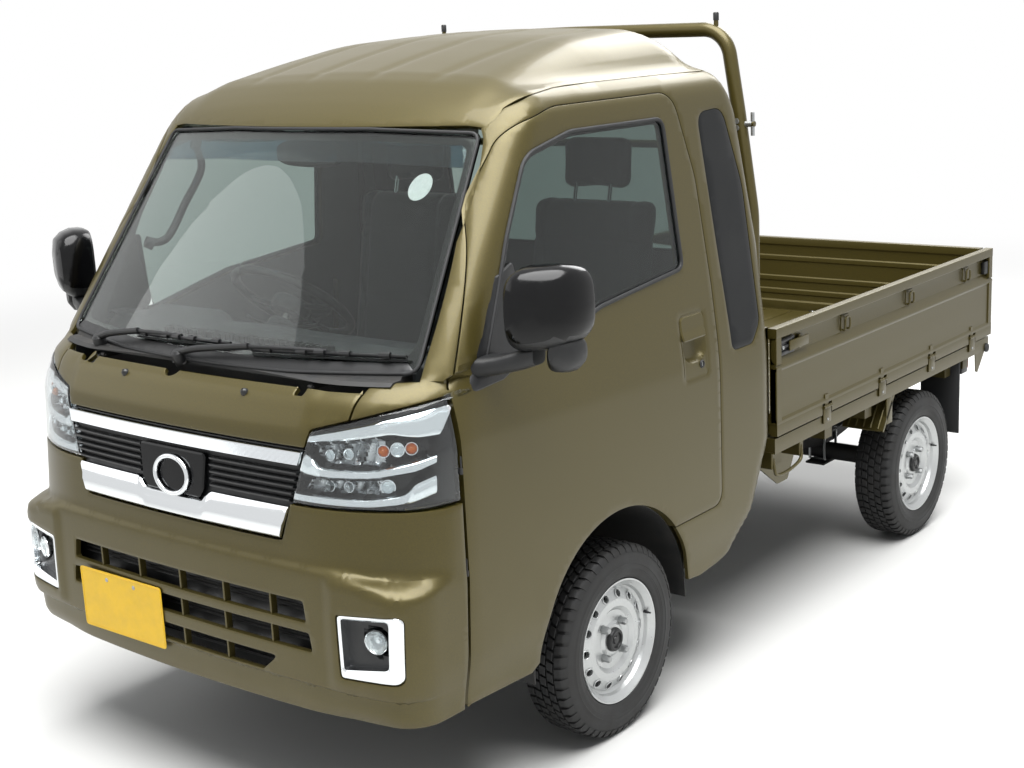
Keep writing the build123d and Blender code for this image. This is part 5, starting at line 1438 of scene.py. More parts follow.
for side, flip in SIDES:
    loops = [flat_loop(BUMPER, from_front(loop, bumper), step=0.008) for loop in (fog_loop, FOG_INNER)]
    panel(f"fog_bezel_{side}", BUMPER, [move_in(loops[0], 0.0012), loops[1]], "chassis", "chrome_trim",
          () if flip else ("front_lamps",), mirror=flip, paint=CHROME, inner=BLACK_PLASTIC, step=0.012,
          thick=0.035, lift=0.004, edge=0.0035, drop=0.003)
    pod = move_in(loops[1], -0.006)
    panel(f"fog_pod_{side}", BUMPER, [pod], "chassis", "black_plastic", mirror=flip, paint=BLACK_PLASTIC,
          step=0.01, thick=0.004, lift=-0.02, shape=fog_bowl)
    base = from_front([FOG_LAMP_AT], bumper)
    out = Vector((0.3, -0.95, 0.0)).normalized()
    centre = Vector(base[0]) - out * 0.052
    bowl = [(0.006, 0.0), (0.008, 0.009), (0.02, 0.02), (0.036, 0.026), (0.04, 0.0285), (0.036, 0.03),
            (0.006, 0.023), (0.002, 0.0)]
    lens = [(0.037, 0.0275), (0.042, 0.025), (0.046, 0.016), (0.048, 0.0), (0.045, 0.0), (0.043, 0.016),
            (0.039, 0.025), (0.037, 0.0275)]
    bulb = [(0.01, 0.0), (0.01, 0.01), (0.024, 0.009), (0.029, 0.005), (0.03, 0.0)]
    gather(f"fog_lamp_{side}", [(*turned(bowl, centre, out, 36), REFLECTOR),
                                (*turned(lens, centre, out, 36), LENS_CLEAR),
                                (*turned(bulb, centre, out, 16), CHROME)], "chassis",
           mirror=flip)

# %% Intake grid
# Painted shade: a black plate 46 mm behind the intake closes the view through it and stands in for the dark,
# shaded space behind the intake.
backing = outline(((0.51, 0.64, 0.01), (0.51, 0.46, 0.01), (0.34, 0.34, 0.01), (-0.34, 0.34, 0.01),
                   (-0.51, 0.46, 0.01), (-0.51, 0.64, 0.01)), 0.02)
panel("intake_backing", BUMPER, [flat_loop(BUMPER, from_front(backing, bumper), step=0.02)], "chassis",
      "black_plastic", paint=BLACK_PLASTIC, step=0.03, thick=0.004, lift=-0.046)
uprights = Parts()
for top_half, low_half, top_z, low_z in INTAKE_CELLS:
    for x in (-0.32, -0.16, 0.0, 0.16, 0.32):
        if abs(x) > min(top_half, low_half) - 0.01:
            continue
        front = from_front([(x, top_z + 0.004), (x, low_z - 0.004)], bumper)
        low_corner = (x - 0.003, front[:, 1].max() + 0.004, low_z - 0.004)
        high_corner = (x + 0.003, front[:, 1].max() + 0.024, top_z + 0.004)
        uprights.add(PAINT, rounded_box, low_corner, high_corner, 0.0012, 1)
for z in (0.572, 0.584, 0.597, 0.5, 0.512, 0.524, 0.424, 0.44):
    width = 0.43 if z > 0.48 else 0.29
    front = from_front([(x, z) for x in np.linspace(-width, width, 41)], bumper)
    front[:, 1] += 0.034
    uprights.add(BLACK_PLASTIC, tube, front, 0.0028, 6)
gather("intake_grid", uprights, "chassis")

# %% Number plate
PLATE_FACE_Y = -1.6965
PLATE_ROWS = outline(((-0.4, 0.3825, 0.01), (-0.07, 0.3825, 0.01), (-0.07, 0.5475, 0.01),
                      (-0.4, 0.5475, 0.01)), 0.02)
plate_parts = Parts()
plate_parts.add(PLATE_YELLOW, extruded, PLATE_ROWS, PLATE_FACE_Y, PLATE_FACE_Y + 0.0014)
rim_line = [(a, PLATE_FACE_Y - 0.0001, b) for a, b in move_in(PLATE_ROWS, 0.005)]
plate_parts.add(PLATE_YELLOW, tube, rim_line, 0.0008, 6, closed=True)
for x in (-0.29, -0.18):
    bolt = [(-0.0008, 0.0), (-0.0008, 0.0052), (0.0, 0.0058), (0.002, 0.0058), (0.002, 0.0)]
    plate_parts.add(BOLT_STEEL, turned, bolt, (x, PLATE_FACE_Y - 0.0002, 0.527), (0, 1, 0), 20)
bracket_low, bracket_high = (-0.34, -1.695, 0.44), (-0.13, -1.655, 0.53)
plate_parts.add(BLACK_PLASTIC, rounded_box, bracket_low, bracket_high, 0.002)
gather("number_plate_blank", plate_parts, "chassis", ("number_plate",))

# %% [markdown]
# ## Windows, seals and cowl
# The windscreen's own CAD glass stays. Behind its border lies the black ceramic frit that hides the
# glue, across its top the blue shade band, and around it a rubber seal. The quarter windows are
# smoked and bonded flush. The door glass slides down in a black sash.

# %% Glass fans
def screen_only(x, y, z):
    return screen_y(x, z) - y


SCREEN = Fan(screen_only, (-0.9, 0.9), 1.05, 0.3, ((1, 0, 0), (0, -1, 0), (0, 0, 1)))
SCREEN_ROWS = ((0.634, 1.127, 0.025), (0.562, 1.635, 0.03), (0.25, 1.647, 0.4), (-0.25, 1.647, 0.4),
               (-0.562, 1.635, 0.03), (-0.634, 1.127, 0.025), (-0.3, 1.115, 0.4), (0.3, 1.115, 0.4))
screen_loop = outline(SCREEN_ROWS, 0.014)


def paint_node(node, mat):
    """Gives every slot of a CAD node one finish."""
    for slot in NODES[node].material_slots:
        slot.material = mat


frit_hole = outline(((0.607, 1.158, 0.04), (0.541, 1.612, 0.035), (0.25, 1.624, 0.4), (-0.25, 1.624, 0.4),
                     (-0.541, 1.612, 0.035), (-0.607, 1.158, 0.04), (-0.3, 1.15, 0.4), (0.3, 1.15, 0.4)),
                    0.014)
panel("screen_frit", SCREEN, [move_in(screen_loop, 0.001), frit_hole], "chassis", "dark_glass", paint=FRIT,
      step=0.03, thick=0.0016, lift=-0.0105, edge=0.001, drop=0.0002)
band = outline(((0.5405, 1.611, 0.03), (0.25, 1.6235, 0.4), (-0.25, 1.6235, 0.4), (-0.5405, 1.611, 0.03),
                (-0.548, 1.562, 0.0), (-0.25, 1.574, 0.4), (0.25, 1.574, 0.4), (0.548, 1.562, 0.0)), 0.014)
panel("screen_shade_band", SCREEN, [band], "chassis", "clear_glass", paint=TOP_BAND_GLASS, step=0.03,
      thick=0.0008, lift=-0.0098, edge=0.001, drop=0.0001)


def seal(name, points, radius, body, mirror=False):
    """A soft rubber strip round a closed line of skin points."""
    verts, faces = tube(points, radius, 10, closed=True)
    gather(name, [(verts, faces, SEAL_RUBBER)], body, mirror=mirror)


seal("screen_seal", SCREEN.lay(screen_loop) + np.array([0.0, -0.0005, 0.0]), 0.0045, "chassis")
sticker_rows = [(0.455 + 0.03 * math.cos(t), 1.52 + 0.03 * math.sin(t))
                for t in np.linspace(0, 2 * math.pi, 33)[:-1]]
panel("screen_sticker", SCREEN, [np.array(sticker_rows)], "chassis", "clear_glass", paint=STICKER_WHITE,
      step=0.01, thick=0.0004, lift=-0.01, edge=0.001, drop=0.0001)

# %% [markdown]
# ### Side and rear windows
# The quarter glass is bonded flush. The door glass slides behind a black sash, whose rubber seal
# follows the same outline as the hole in the door, and the rear window sits in a thick seal.

# %% Side windows
for side, flip in SIDES:
    panel(f"quarter_glass_{side}", SIDE, [move_in(quarter_flat, 0.0015)], "chassis", "dark_glass",
          () if flip else ("fixed_windows",), mirror=flip, paint=DARK_GLASS, step=0.03, thick=0.005,
          edge=0.006, drop=0.001, lift=-0.0012)
    seal(f"door_window_seal_{side}", SIDE.lay(side_window), 0.0058, f"door_{side}", mirror=flip)
    sash = move_in(side_window, 0.012)
    panel(f"door_sash_{side}", SIDE, [move_in(side_window, 0.003), sash], f"door_{side}", "black_plastic",
          mirror=flip, paint=BLACK_PLASTIC, step=0.02, thick=0.01, lift=-0.004, edge=0.002)
rear_glass = outline(((-0.469, 1.181, 0.05), (-0.469, 1.579, 0.05), (0.469, 1.579, 0.05),
                      (0.469, 1.181, 0.05)), 0.02)
panel("rear_glass", REAR, [flat_loop(REAR, from_rear(rear_glass))], "chassis", "dark_glass",
      paint=DOOR_GLASS, step=0.05, thick=0.004, lift=-0.01, edge=0.003)
seal("rear_window_seal", from_rear(REAR_WINDOW) + np.array([0.0, -0.006, 0.0]), 0.009, "chassis")

# %% Cowl strip
COWL_ROWS = ((0.63, 1.127, 0.0), (0.56, 1.111, 0.0), (-0.56, 1.111, 0.0), (-0.63, 1.127, 0.0),
             (-0.6, 1.148, 0.0), (-0.3, 1.14, 0.4), (0.3, 1.14, 0.4), (0.6, 1.148, 0.0))
panel("cowl_strip", SCREEN, [outline(COWL_ROWS, 0.016)], "chassis", "black_plastic", paint=BLACK_PLASTIC,
      step=0.02, thick=0.003, lift=-0.0002, edge=0.002, drop=0.001)

# %% [markdown]
# ## Mirrors
# Each mirror is a moulded shell on an arm from a black plate in the window's front corner. The shell
# is a smooth closed form: rings of points from the small front face back to the glass, joined into
# one skin and swept back towards its outer edge, with a smaller lobe below it.

# %% Mirrors
MIRROR_MIDDLE = (0.868, -1.275)
MIRROR_SWEEP = 0.47
MIRROR_RISE = 0.16
MIRROR_RINGS = (
    # y from the middle, inner x, outer x, low z, high z
    (-0.066, 0.838, 0.9, 1.215, 1.306),
    (-0.056, 0.812, 0.926, 1.183, 1.338),
    (-0.032, 0.796, 0.94, 1.163, 1.355),
    (0.000, 0.79, 0.946, 1.156, 1.363),
    (0.032, 0.789, 0.947, 1.156, 1.361),
    (0.046, 0.792, 0.944, 1.16, 1.357),
)
COVER_SEAM_Z = 1.205


def swept(rings):
    """Mirror rings carried back and up towards the outer edge."""
    middle_x, middle_y = MIRROR_MIDDLE
    out = []
    for ring in rings:
        moved = []
        for x, y, z in ring:
            low = min(max((1.36 - z) / 0.2, 0.0), 1.3)
            moved.append((x, middle_y + y + MIRROR_SWEEP * (x - middle_x),
                          z + MIRROR_RISE * (x - 0.79) * low))
        out.append(moved)
    return out


def ring_outline(x0, x1, z0, z1, count=28, power=3.4):
    """A rounded rectangle between limits as a superellipse."""
    points = []
    for k in range(count):
        t = 2 * math.pi * k / count
        c, s = math.cos(t), math.sin(t)
        points.append(((x0 + x1) / 2 + (x1 - x0) / 2 * math.copysign(abs(c) ** (2 / power), c),
                       (z0 + z1) / 2 + (z1 - z0) / 2 * math.copysign(abs(s) ** (2 / power), s)))
    return points


def lofted(rings):
    """Verts and faces of rings of equal count, closed at both ends by a middle point."""
    verts, faces = [], []
    size = len(rings[0])
    for ring in rings:
        verts += [Vector(p) for p in ring]
    for i in range(len(rings) - 1):
        for k in range(size):
            j = (k + 1) % size
            faces.append((i * size + k, i * size + j, (i + 1) * size + j, (i + 1) * size + k))
    for index, flip in ((0, True), (len(rings) - 1, False)):
        middle = sum((Vector(p) for p in rings[index]), Vector()) / size
        verts.append(middle)
        for k in range(size):
            face = (index * size + k, index * size + (k + 1) % size, len(verts) - 1)
            faces.append(face[::-1] if flip else face)
    return verts, faces


def mirror_parts():
    rings = swept([[(x, y, z) for x, z in ring_outline(*limits)] for y, *limits in MIRROR_RINGS])
    shell = lofted(rings)
    lip = lofted(swept([[(x, y, z) for x, z in ring_outline(*limits)] for y, limits in (
        (0.043, (0.794, 0.942, 1.163, 1.355)), (0.054, (0.797, 0.939, 1.166, 1.352)),
        (0.054, (0.804, 0.932, 1.173, 1.345)), (0.046, (0.804, 0.932, 1.173, 1.345)))]))
    glass_face = lofted(swept([[(x, y, z) for x, z in ring_outline(*limits)] for y, limits in (
        (0.044, (0.805, 0.931, 1.174, 1.344)), (0.049, (0.806, 0.93, 1.175, 1.343)))]))
    lobe = lofted(swept([[(x, y, z) for x, z in ring_outline(*limits, 20, 2.6)] for y, *limits in (
        (-0.03, 0.884, 0.918, 1.12, 1.17), (-0.014, 0.872, 0.93, 1.098, 1.176),
        (0.02, 0.866, 0.934, 1.09, 1.18), (0.036, 0.87, 0.93, 1.096, 1.176))]))
    arm = lofted([[(x, y, z) for y, z in ring_outline(y0, y1, z0, z1, 20, 3.0)] for x, y0, y1, z0, z1 in (
        (0.7, -1.365, -1.255, 1.092, 1.15), (0.735, -1.352, -1.262, 1.102, 1.15),
        (0.775, -1.34, -1.262, 1.112, 1.158), (0.815, -1.325, -1.262, 1.122, 1.17),
        (0.85, -1.31, -1.262, 1.135, 1.18))])
    return shell, lip, glass_face, lobe, arm


SAIL_PLATE = ((-1.388, 1.072, 0.02), (-1.345, 1.15, 0.06), (-1.24, 1.318, 0.01), (-1.17, 1.345, 0.012),
              (-1.135, 1.128, 0.03), (-1.26, 1.08, 0.06))
for side, flip in SIDES:
    (verts, faces), lip, mirror_face, lobe, arm = mirror_parts()
    above = [sum(verts[k][2] for k in face) / len(face) > COVER_SEAM_Z for face in faces]
    cover = (verts, [face for face, over in zip(faces, above) if over])
    skirt = (verts, [face for face, over in zip(faces, above) if not over])
    gather(f"mirror_shell_{side}", [(*cover, GLOSS_BLACK), (*skirt, BLACK_PLASTIC), (*lip, BLACK_PLASTIC),
                                    (*mirror_face, REFLECTOR), (*lobe, BLACK_PLASTIC),
                                    (*arm, BLACK_PLASTIC)], f"door_{side}",
           (f"mirror_{side}",), crease=48.0, mirror=flip)
    sail = flat_loop(SIDE, from_side(outline(SAIL_PLATE, 0.012)))
    panel(f"mirror_plate_{side}", SIDE, [sail], f"door_{side}", "black_plastic", mirror=flip,
          paint=BLACK_PLASTIC, step=0.02, thick=0.012, lift=0.002, edge=0.004, drop=0.003)

# %% [markdown]
# ## Door handles, wipers and small fittings
# The pull flap fills the upper part of its bezel and curls out at the bottom, with the key barrel
# below. Each wiper is an arm from its pivot with a spring cover, and a blade whose rubber lies along
# the glass.

# %% Door handles
for side, flip in SIDES:
    flap = outline(((-0.4975, 1.018, 0.012), (-0.4975, 1.0865, 0.02), (-0.3795, 1.0865, 0.02),
                    (-0.3795, 1.018, 0.012)), 0.006)
    panel(f"door_handle_{side}", SIDE, [flat_loop(SIDE, from_side(flap))], f"door_{side}", "body_paint",
          mirror=flip, step=0.006, thick=0.006, edge=0.004, drop=0.003,
          shape=lambda points: 0.0015 + 0.005 * soft_step(1.05 - points[:, 2], 0.0, 0.03))
    key_at = from_side([(-0.408, 0.943)])[0] - np.array([0.0045, 0.0, 0.0])
    out = (1.0, 0.0, 0.02)
    barrel = [(0.0, 0.0), (0.0, 0.0115), (0.004, 0.0115), (0.006, 0.01), (0.006, 0.008), (0.004, 0.0075),
              (0.004, 0.0)]
    slot_low = key_at + np.array((0.0038, -0.0012, -0.006))
    slot_high = key_at + np.array((0.0052, 0.0012, 0.006))
    parts = Parts()
    parts.add(BLACK_PLASTIC, turned, barrel, key_at, out, 28)
    parts.add(BOLT_STEEL, rounded_box, slot_low, slot_high, 0.0005)
    gather(f"door_key_{side}", parts, f"door_{side}", mirror=flip)

# %% [markdown]
# ### Wipers
# A wiper follows the glass, so each of its points is found on the screen's skin and lifted off it
# along the normal: the rubber lip by 2.5 mm and the blade's spine by 10.5 mm.

# %% Wipers
WIPER_ROWS = (
    # pivot x and y, x where the blade starts and ends, x and z of the arm's tip
    (-0.06, -1.5715, 0.175, 0.6, 0.395, 1.158),
    (-0.42, -1.541, -0.275, 0.1, -0.08, 1.158),
)


def over_screen(x, z, lift):
    point = SCREEN.lay([(x, z)])[0]
    return Vector(point + normals(screen_only, np.array([point]))[0] * lift)


wiper_parts = Parts()
for pivot_x, pivot_y, blade_from, blade_to, tip_x, tip_z in WIPER_ROWS:
    head = Vector((pivot_x, pivot_y, 1.122))
    cap = [(-0.022, 0.0), (-0.022, 0.016), (0.0, 0.0175), (0.012, 0.0165), (0.018, 0.011), (0.019, 0.0)]
    wiper_parts.add(BLACK_PLASTIC, turned, cap, head, (0, -0.35, 1), 24)
    tip = over_screen(tip_x, tip_z, 0.014)
    bend = over_screen(pivot_x + (tip_x - pivot_x) * 0.52, 1.15, 0.026)
    first = head + Vector((0.004, -0.002, 0.01))
    neck = first.lerp(bend, 0.3) + Vector((0, -0.004, 0.006))
    wiper_parts.add(BLACK_PLASTIC, tube, smooth_line([first, neck, bend], 8), 0.0105, 12, flat=0.7)
    wiper_parts.add(BLACK_PLASTIC, tube, smooth_line([bend, bend.lerp(tip, 0.5) + Vector((0, -0.004, 0.002)),
                                                      tip], 8), 0.005, 10)
    xs = np.linspace(blade_from, blade_to, 26)
    zs = np.interp(xs, (blade_from, tip_x, blade_to), (1.148, tip_z - 0.004, tip_z - 0.002))
    spine = [over_screen(x, z, 0.0105) for x, z in zip(xs, zs)]
    lip = [over_screen(x, z - 0.005, 0.0025) for x, z in zip(xs, zs)]
    wiper_parts.add(BLACK_PLASTIC, tube, spine, 0.0066, 8, flat=0.6)
    wiper_parts.add(SEAL_RUBBER, tube, lip, 0.003, 6)
    for share in (0.12, 0.36, 0.5, 0.64, 0.88):
        k = int(share * (len(spine) - 1))
        clip = [spine[k] + (spine[k + 1] - spine[k]) * t + Vector((0, -0.004, 0.003))
                for t in (-0.8, 0.0, 0.8)]
        wiper_parts.add(BLACK_PLASTIC, tube, clip, 0.0075, 8)
gather("wiper_arms", wiper_parts, "chassis", ("wipers",))

# %% Washer nozzles
nozzle_parts = Parts()
for x in (0.223, -0.223):
    base = from_front([(x, 1.071)])[0]
    out = normals(cab, np.array([base]))[0]
    body = [(-0.002, 0.0), (-0.002, 0.011), (0.004, 0.01), (0.01, 0.007), (0.0125, 0.003), (0.013, 0.0)]
    nozzle_parts.add(BLACK_PLASTIC, turned, body, base, out, 20)
    nozzle_parts.add(GLOSS_BLACK, turned, [(0.006, 0.0), (0.006, 0.0022), (0.0145, 0.002), (0.0145, 0.0)],
                     base + np.array([0.0, 0.002, 0.001]), out, 10)
gather("washer_nozzles", nozzle_parts, "front_lid")

# %% [markdown]
# ## Wheels
# The tyres are 145 mm wide light-truck tyres on 12-inch pressed steel wheels. The carcass is a
# profile turned about the axle. The tread is what repeats: Geometry Nodes place one small block 54
# times round each of five rows. The wheel discs are the CAD's own, with nuts, hub cap and valve.

# %% Tread tree
TREAD_COUNT = 54
TREAD_RADIUS = 0.2555


def tread_tree():
    """Geometry Nodes tree that sets a block round a ring: inputs Block, Count, Radius and Phase."""
    tree = bpy.data.node_groups.new("tread_ring", "GeometryNodeTree")
    tree.interface.new_socket("Geometry", in_out="INPUT", socket_type="NodeSocketGeometry")
    for label, kind in (("Block", "NodeSocketObject"), ("Count", "NodeSocketInt"),
                        ("Radius", "NodeSocketFloat"), ("Phase", "NodeSocketFloat"),
                        ("Rubber", "NodeSocketMaterial")):
        tree.interface.new_socket(label, in_out="INPUT", socket_type=kind)
    tree.interface.new_socket("Geometry", in_out="OUTPUT", socket_type="NodeSocketGeometry")
    given = add(tree, "NodeGroupInput").outputs
    points = add(tree, "GeometryNodePoints", {"Count": given["Count"]})
    index = add(tree, "GeometryNodeInputIndex").outputs[0]
    share = add(tree, "ShaderNodeMath", {0: index, 1: given["Count"]}, operation="DIVIDE").outputs[0]
    turn = add(tree, "ShaderNodeMath", {0: share, 1: 2 * math.pi, 2: given["Phase"]},
               operation="MULTIPLY_ADD").outputs[0]
    cosine = add(tree, "ShaderNodeMath", {0: turn}, operation="COSINE").outputs[0]
    sine = add(tree, "ShaderNodeMath", {0: turn}, operation="SINE").outputs[0]
    unit = add(tree, "ShaderNodeCombineXYZ", {"X": cosine, "Y": sine}).outputs[0]
    at = add(tree, "ShaderNodeVectorMath", {0: unit, "Scale": given["Radius"]}, operation="SCALE").outputs[0]
    placed = add(tree, "GeometryNodeSetPosition", {"Geometry": points.outputs[0], "Position": at})
    angle = add(tree, "ShaderNodeCombineXYZ", {"Z": turn}).outputs[0]
    block = add(tree, "GeometryNodeObjectInfo", {"Object": given["Block"]})
    many = add(tree, "GeometryNodeInstanceOnPoints",
               {"Points": placed.outputs[0], "Instance": block.outputs["Geometry"], "Rotation": angle})
    real = add(tree, "GeometryNodeRealizeInstances", {"Geometry": many.outputs[0]})
    coated = add(tree, "GeometryNodeSetMaterial", {"Geometry": real.outputs[0], "Material": given["Rubber"]})
    add(tree, "NodeGroupOutput", {0: coated.outputs[0]})
    return tree


def grown(tree, name, **inputs):
    """Plain mesh made by a Geometry Nodes tree whose named inputs are set first."""
    holder = bpy.data.objects.new(name, bpy.data.meshes.new(name))
    bpy.context.scene.collection.objects.link(holder)
    modifier = holder.modifiers.new(name, "NODES")
    modifier.node_group = tree
    for item in tree.interface.items_tree:
        if item.in_out == "INPUT" and item.name in inputs:
            modifier[item.identifier] = inputs[item.name]
    bpy.context.view_layer.update()
    depsgraph = bpy.context.evaluated_depsgraph_get()
    mesh = bpy.data.meshes.new_from_object(holder.evaluated_get(depsgraph))
    bpy.data.objects.remove(holder)
    verts = [v.co.copy() for v in mesh.vertices]
    faces = [tuple(p.vertices) for p in mesh.polygons]
    bpy.data.meshes.remove(mesh)
    return verts, faces


def block_object(name, section, half_length, skew):
    """A tread block: its section, rows of across and radial place, carried along the ring."""
    verts, faces = [], []
    for sign in (-1, 1):
        for across, radial in section:
            verts.append((radial, sign * half_length + skew * across, across))
    size = len(section)
    faces.append(tuple(range(size)))
    faces.append(tuple(range(2 * size - 1, size - 1, -1)))
    for k in range(size):
        j = (k + 1) % size
        faces.append((j, k, k + size, j + size))
    mesh = bpy.data.meshes.new(name)
    mesh.from_pydata(verts, [], faces)
    return bpy.data.objects.new(name, mesh)


MIDDLE_BLOCK = ((-0.0095, -0.004), (-0.0095, 0.0072), (-0.0082, 0.0083), (0.0082, 0.0083), (0.0095, 0.0072),
                (0.0095, -0.004))
SHOULDER_BLOCK = ((0.0375, -0.004), (0.0375, 0.0066), (0.0388, 0.0078), (0.054, 0.0066), (0.0595, 0.004),
                  (0.065, -0.004), (0.069, -0.013), (0.065, -0.013))
ring_tree = tread_tree()
tread_verts, tread_faces = [], []
TREAD_ROWS = ((0.0, MIDDLE_BLOCK, 0.0118, 0.25, 0.0), (0.0235, MIDDLE_BLOCK, 0.0112, 0.35, 0.5),
              (-0.0235, MIDDLE_BLOCK, 0.0112, 0.35, 0.5), (0.0, SHOULDER_BLOCK, 0.0105, -0.15, 0.2),
              (0.0, tuple((-a, r) for a, r in SHOULDER_BLOCK[::-1]), 0.0105, -0.15, 0.2))
for number, (shift, section, half_length, skew, phase) in enumerate(TREAD_ROWS):
    block = block_object(f"tread_block_{number}", section, half_length, skew)
    verts, faces = grown(ring_tree, f"tread_row_{number}", Block=block, Count=TREAD_COUNT,
                         Radius=TREAD_RADIUS, Phase=phase * 2 * math.pi / TREAD_COUNT, Rubber=TYRE_RUBBER)
    start = len(tread_verts)
    tread_verts += [v + Vector((0, 0, shift)) for v in verts]
    tread_faces += [tuple(i + start for i in f) for f in faces]
    bpy.data.objects.remove(block)
print("tread blocks:", len(tread_faces), "faces")

# %% [markdown]
# ### Tyres and fittings
# A wheel's fittings are turned profiles: a hub cap, four nuts, a valve, and the brake drum behind
# the disc's hand holes, whose pressed lips are rings. They ride on the wheel's own body.

# %% Tyres, nuts and hubs
CARCASS_HALF = ((0.0, 0.2572), (0.056, 0.2566), (0.0605, 0.2545), (0.0645, 0.249), (0.0672, 0.243),
                (0.0694, 0.235), (0.0708, 0.224), (0.0716, 0.215), (0.0722, 0.214), (0.0722, 0.211),
                (0.0714, 0.21), (0.0712, 0.198), (0.0704, 0.197), (0.0704, 0.1945), (0.0698, 0.1935),
                (0.0686, 0.185), (0.0672, 0.179), (0.065, 0.1745), (0.06, 0.1715), (0.0588, 0.17),
                (0.0566, 0.1604))
carcass = list(CARCASS_HALF) + [(-a, r) for a, r in CARCASS_HALF[::-1]]
FRONT_AXLE_Y, REAR_AXLE_Y = -0.815, 1.085
WHEELS = [(end, y, side, flip) for end, y in (("front", FRONT_AXLE_Y), ("rear", REAR_AXLE_Y))
          for side, flip in SIDES]
WHEEL_HEIGHT = 0.2643
WHEEL_X = 0.65


def spoke(angle):
    """Unit vector from an axle along X, at an angle in radians."""
    return Vector((0, math.cos(angle), math.sin(angle)))


for end, y, side, flip in WHEELS:
    name = f"{end}_{side}"
    sign = -1 if flip else 1
    centre = Vector((sign * WHEEL_X, y, WHEEL_HEIGHT))
    body = f"wheel_{name}"
    verts, faces = turned(carcass, centre, (1, 0, 0), 96)
    blocks = [centre + Vector((v.z, v.x, v.y)) for v in tread_verts]
    gather(f"tyre_skin_{name}", [(verts, faces, TYRE_RUBBER), (blocks, tread_faces, TYRE_RUBBER)], body,
           (f"tyre_{name}",))
    outward = Vector((sign, 0, 0))
    parts = Parts()
    cap = [(0.034, 0.0335), (0.045, 0.033), (0.052, 0.03), (0.0545, 0.0255), (0.0535, 0.022),
           (0.049, 0.0205), (0.049, 0.012), (0.0525, 0.01), (0.053, 0.0)]
    parts.add(BLACK_PLASTIC, turned, [(0.034, 0.0)] + cap, centre, outward, 40)
    for k in range(4):
        at = centre + spoke(math.radians(45 + 90 * k)) * 0.057
        nut = [(0.034, 0.0), (0.034, 0.013), (0.0375, 0.013), (0.0375, 0.0105)]
        parts.add(BOLT_STEEL, turned, nut + [(0.0555, 0.01), (0.059, 0.0075), (0.06, 0.0)], at, outward, 6)
    at = centre + spoke(math.radians(12)) * 0.148
    valve = [(0.044, 0.0), (0.044, 0.0042), (0.058, 0.0038), (0.06, 0.0026), (0.066, 0.0026), (0.067, 0.0)]
    parts.add(BLACK_PLASTIC, turned, valve, at, outward, 10)
    weight = [centre + outward * 0.0625 + spoke(t) * 0.1665 for t in np.linspace(3.4, 3.75, 10)]
    parts.add(BOLT_STEEL, tube, weight, 0.0035, 8)
    drum = [(-0.04, 0.0), (-0.04, 0.098), (-0.034, 0.105), (0.012, 0.105), (0.016, 0.1), (0.018, 0.03),
            (0.018, 0.0)]
    parts.add(CAST_METAL, turned, drum, centre, outward, 48)
    # Pressed lips round the ring of hand holes
    for k in range(14):
        angle = 2 * math.pi * k / 14
        at = centre + outward * 0.0415 + spoke(angle) * 0.126
        tilt = (outward + spoke(angle) * 0.42).normalized()
        ring = [at + v for v in ring_points(tilt, 0.0118, 22)]
        parts.add(WHEEL_SILVER, tube, ring, 0.0019, 8, closed=True)
    gather(f"wheel_fittings_{name}", parts, body)
    paint_node(f"rim_{name}", WHEEL_SILVER)

# %% [markdown]
# ## Bed
# Each drop gate is a roll-formed steel panel: a boxed rail along the top, a recessed band for the
# rope hooks, a sloping ledge, a flat field and a boxed rail along the bottom. One section, drawn
# with its small bends, is carried along the gate, and flanges close its ends.

# %% Gate section
def bent(rows, radius=0.0022):
    """Closed section whose corners have a small bend radius."""
    return [tuple(p) for p in outline([(a, b, radius) for a, b in rows], 0.05)]


GATE_OUT = 0.7308
GATE_IN = 0.701
BAND_X = 0.712
GATE_SECTION = ((GATE_IN, 0.637), (0.711, 0.627), (GATE_OUT, 0.627), (GATE_OUT, 0.672), (0.7262, 0.68),
                (0.7262, 0.826), (GATE_OUT, 0.834), (GATE_OUT, 0.84), (BAND_X, 0.864), (BAND_X, 0.922),
                (GATE_OUT, 0.93), (GATE_OUT, 0.96), (GATE_IN, 0.96), (GATE_IN, 0.932), (0.7062, 0.926),
                (0.7062, 0.7), (GATE_IN, 0.694))
GATE_FRONT, GATE_REAR = 0.017, 1.6895
HINGES = (0.341, 0.741, 1.142, 1.505)
ROPE_PLACES = (0.495, 0.981, 1.472)


HINGE_CUT = 0.032
END_FLANGES = ((0.668, 0.838), (0.848, 0.932))
BARREL = ((-0.012, 0.0), (-0.012, 0.0052), (0.012, 0.0052), (0.012, 0.0))


def in_sections(places, first, last):
    """Runs along a gate between the cut-outs at its hinges."""
    runs, start = [], first
    for at in places:
        runs.append((start, at - HINGE_CUT))
        start = at + HINGE_CUT
    runs.append((start, last))
    return runs


def gate_place(axis, across, along, z):
    """A point of a gate that runs along axis: 1 for a side gate, 0 for the tail gate."""
    return (across, along, z) if axis == 1 else (along, across, z)


def gate_box(axis, low, high, edge):
    """A rounded box whose two corners are given as across, along and height."""
    return (*rounded_box(gate_place(axis, *low), gate_place(axis, *high), edge, 1), PAINT)


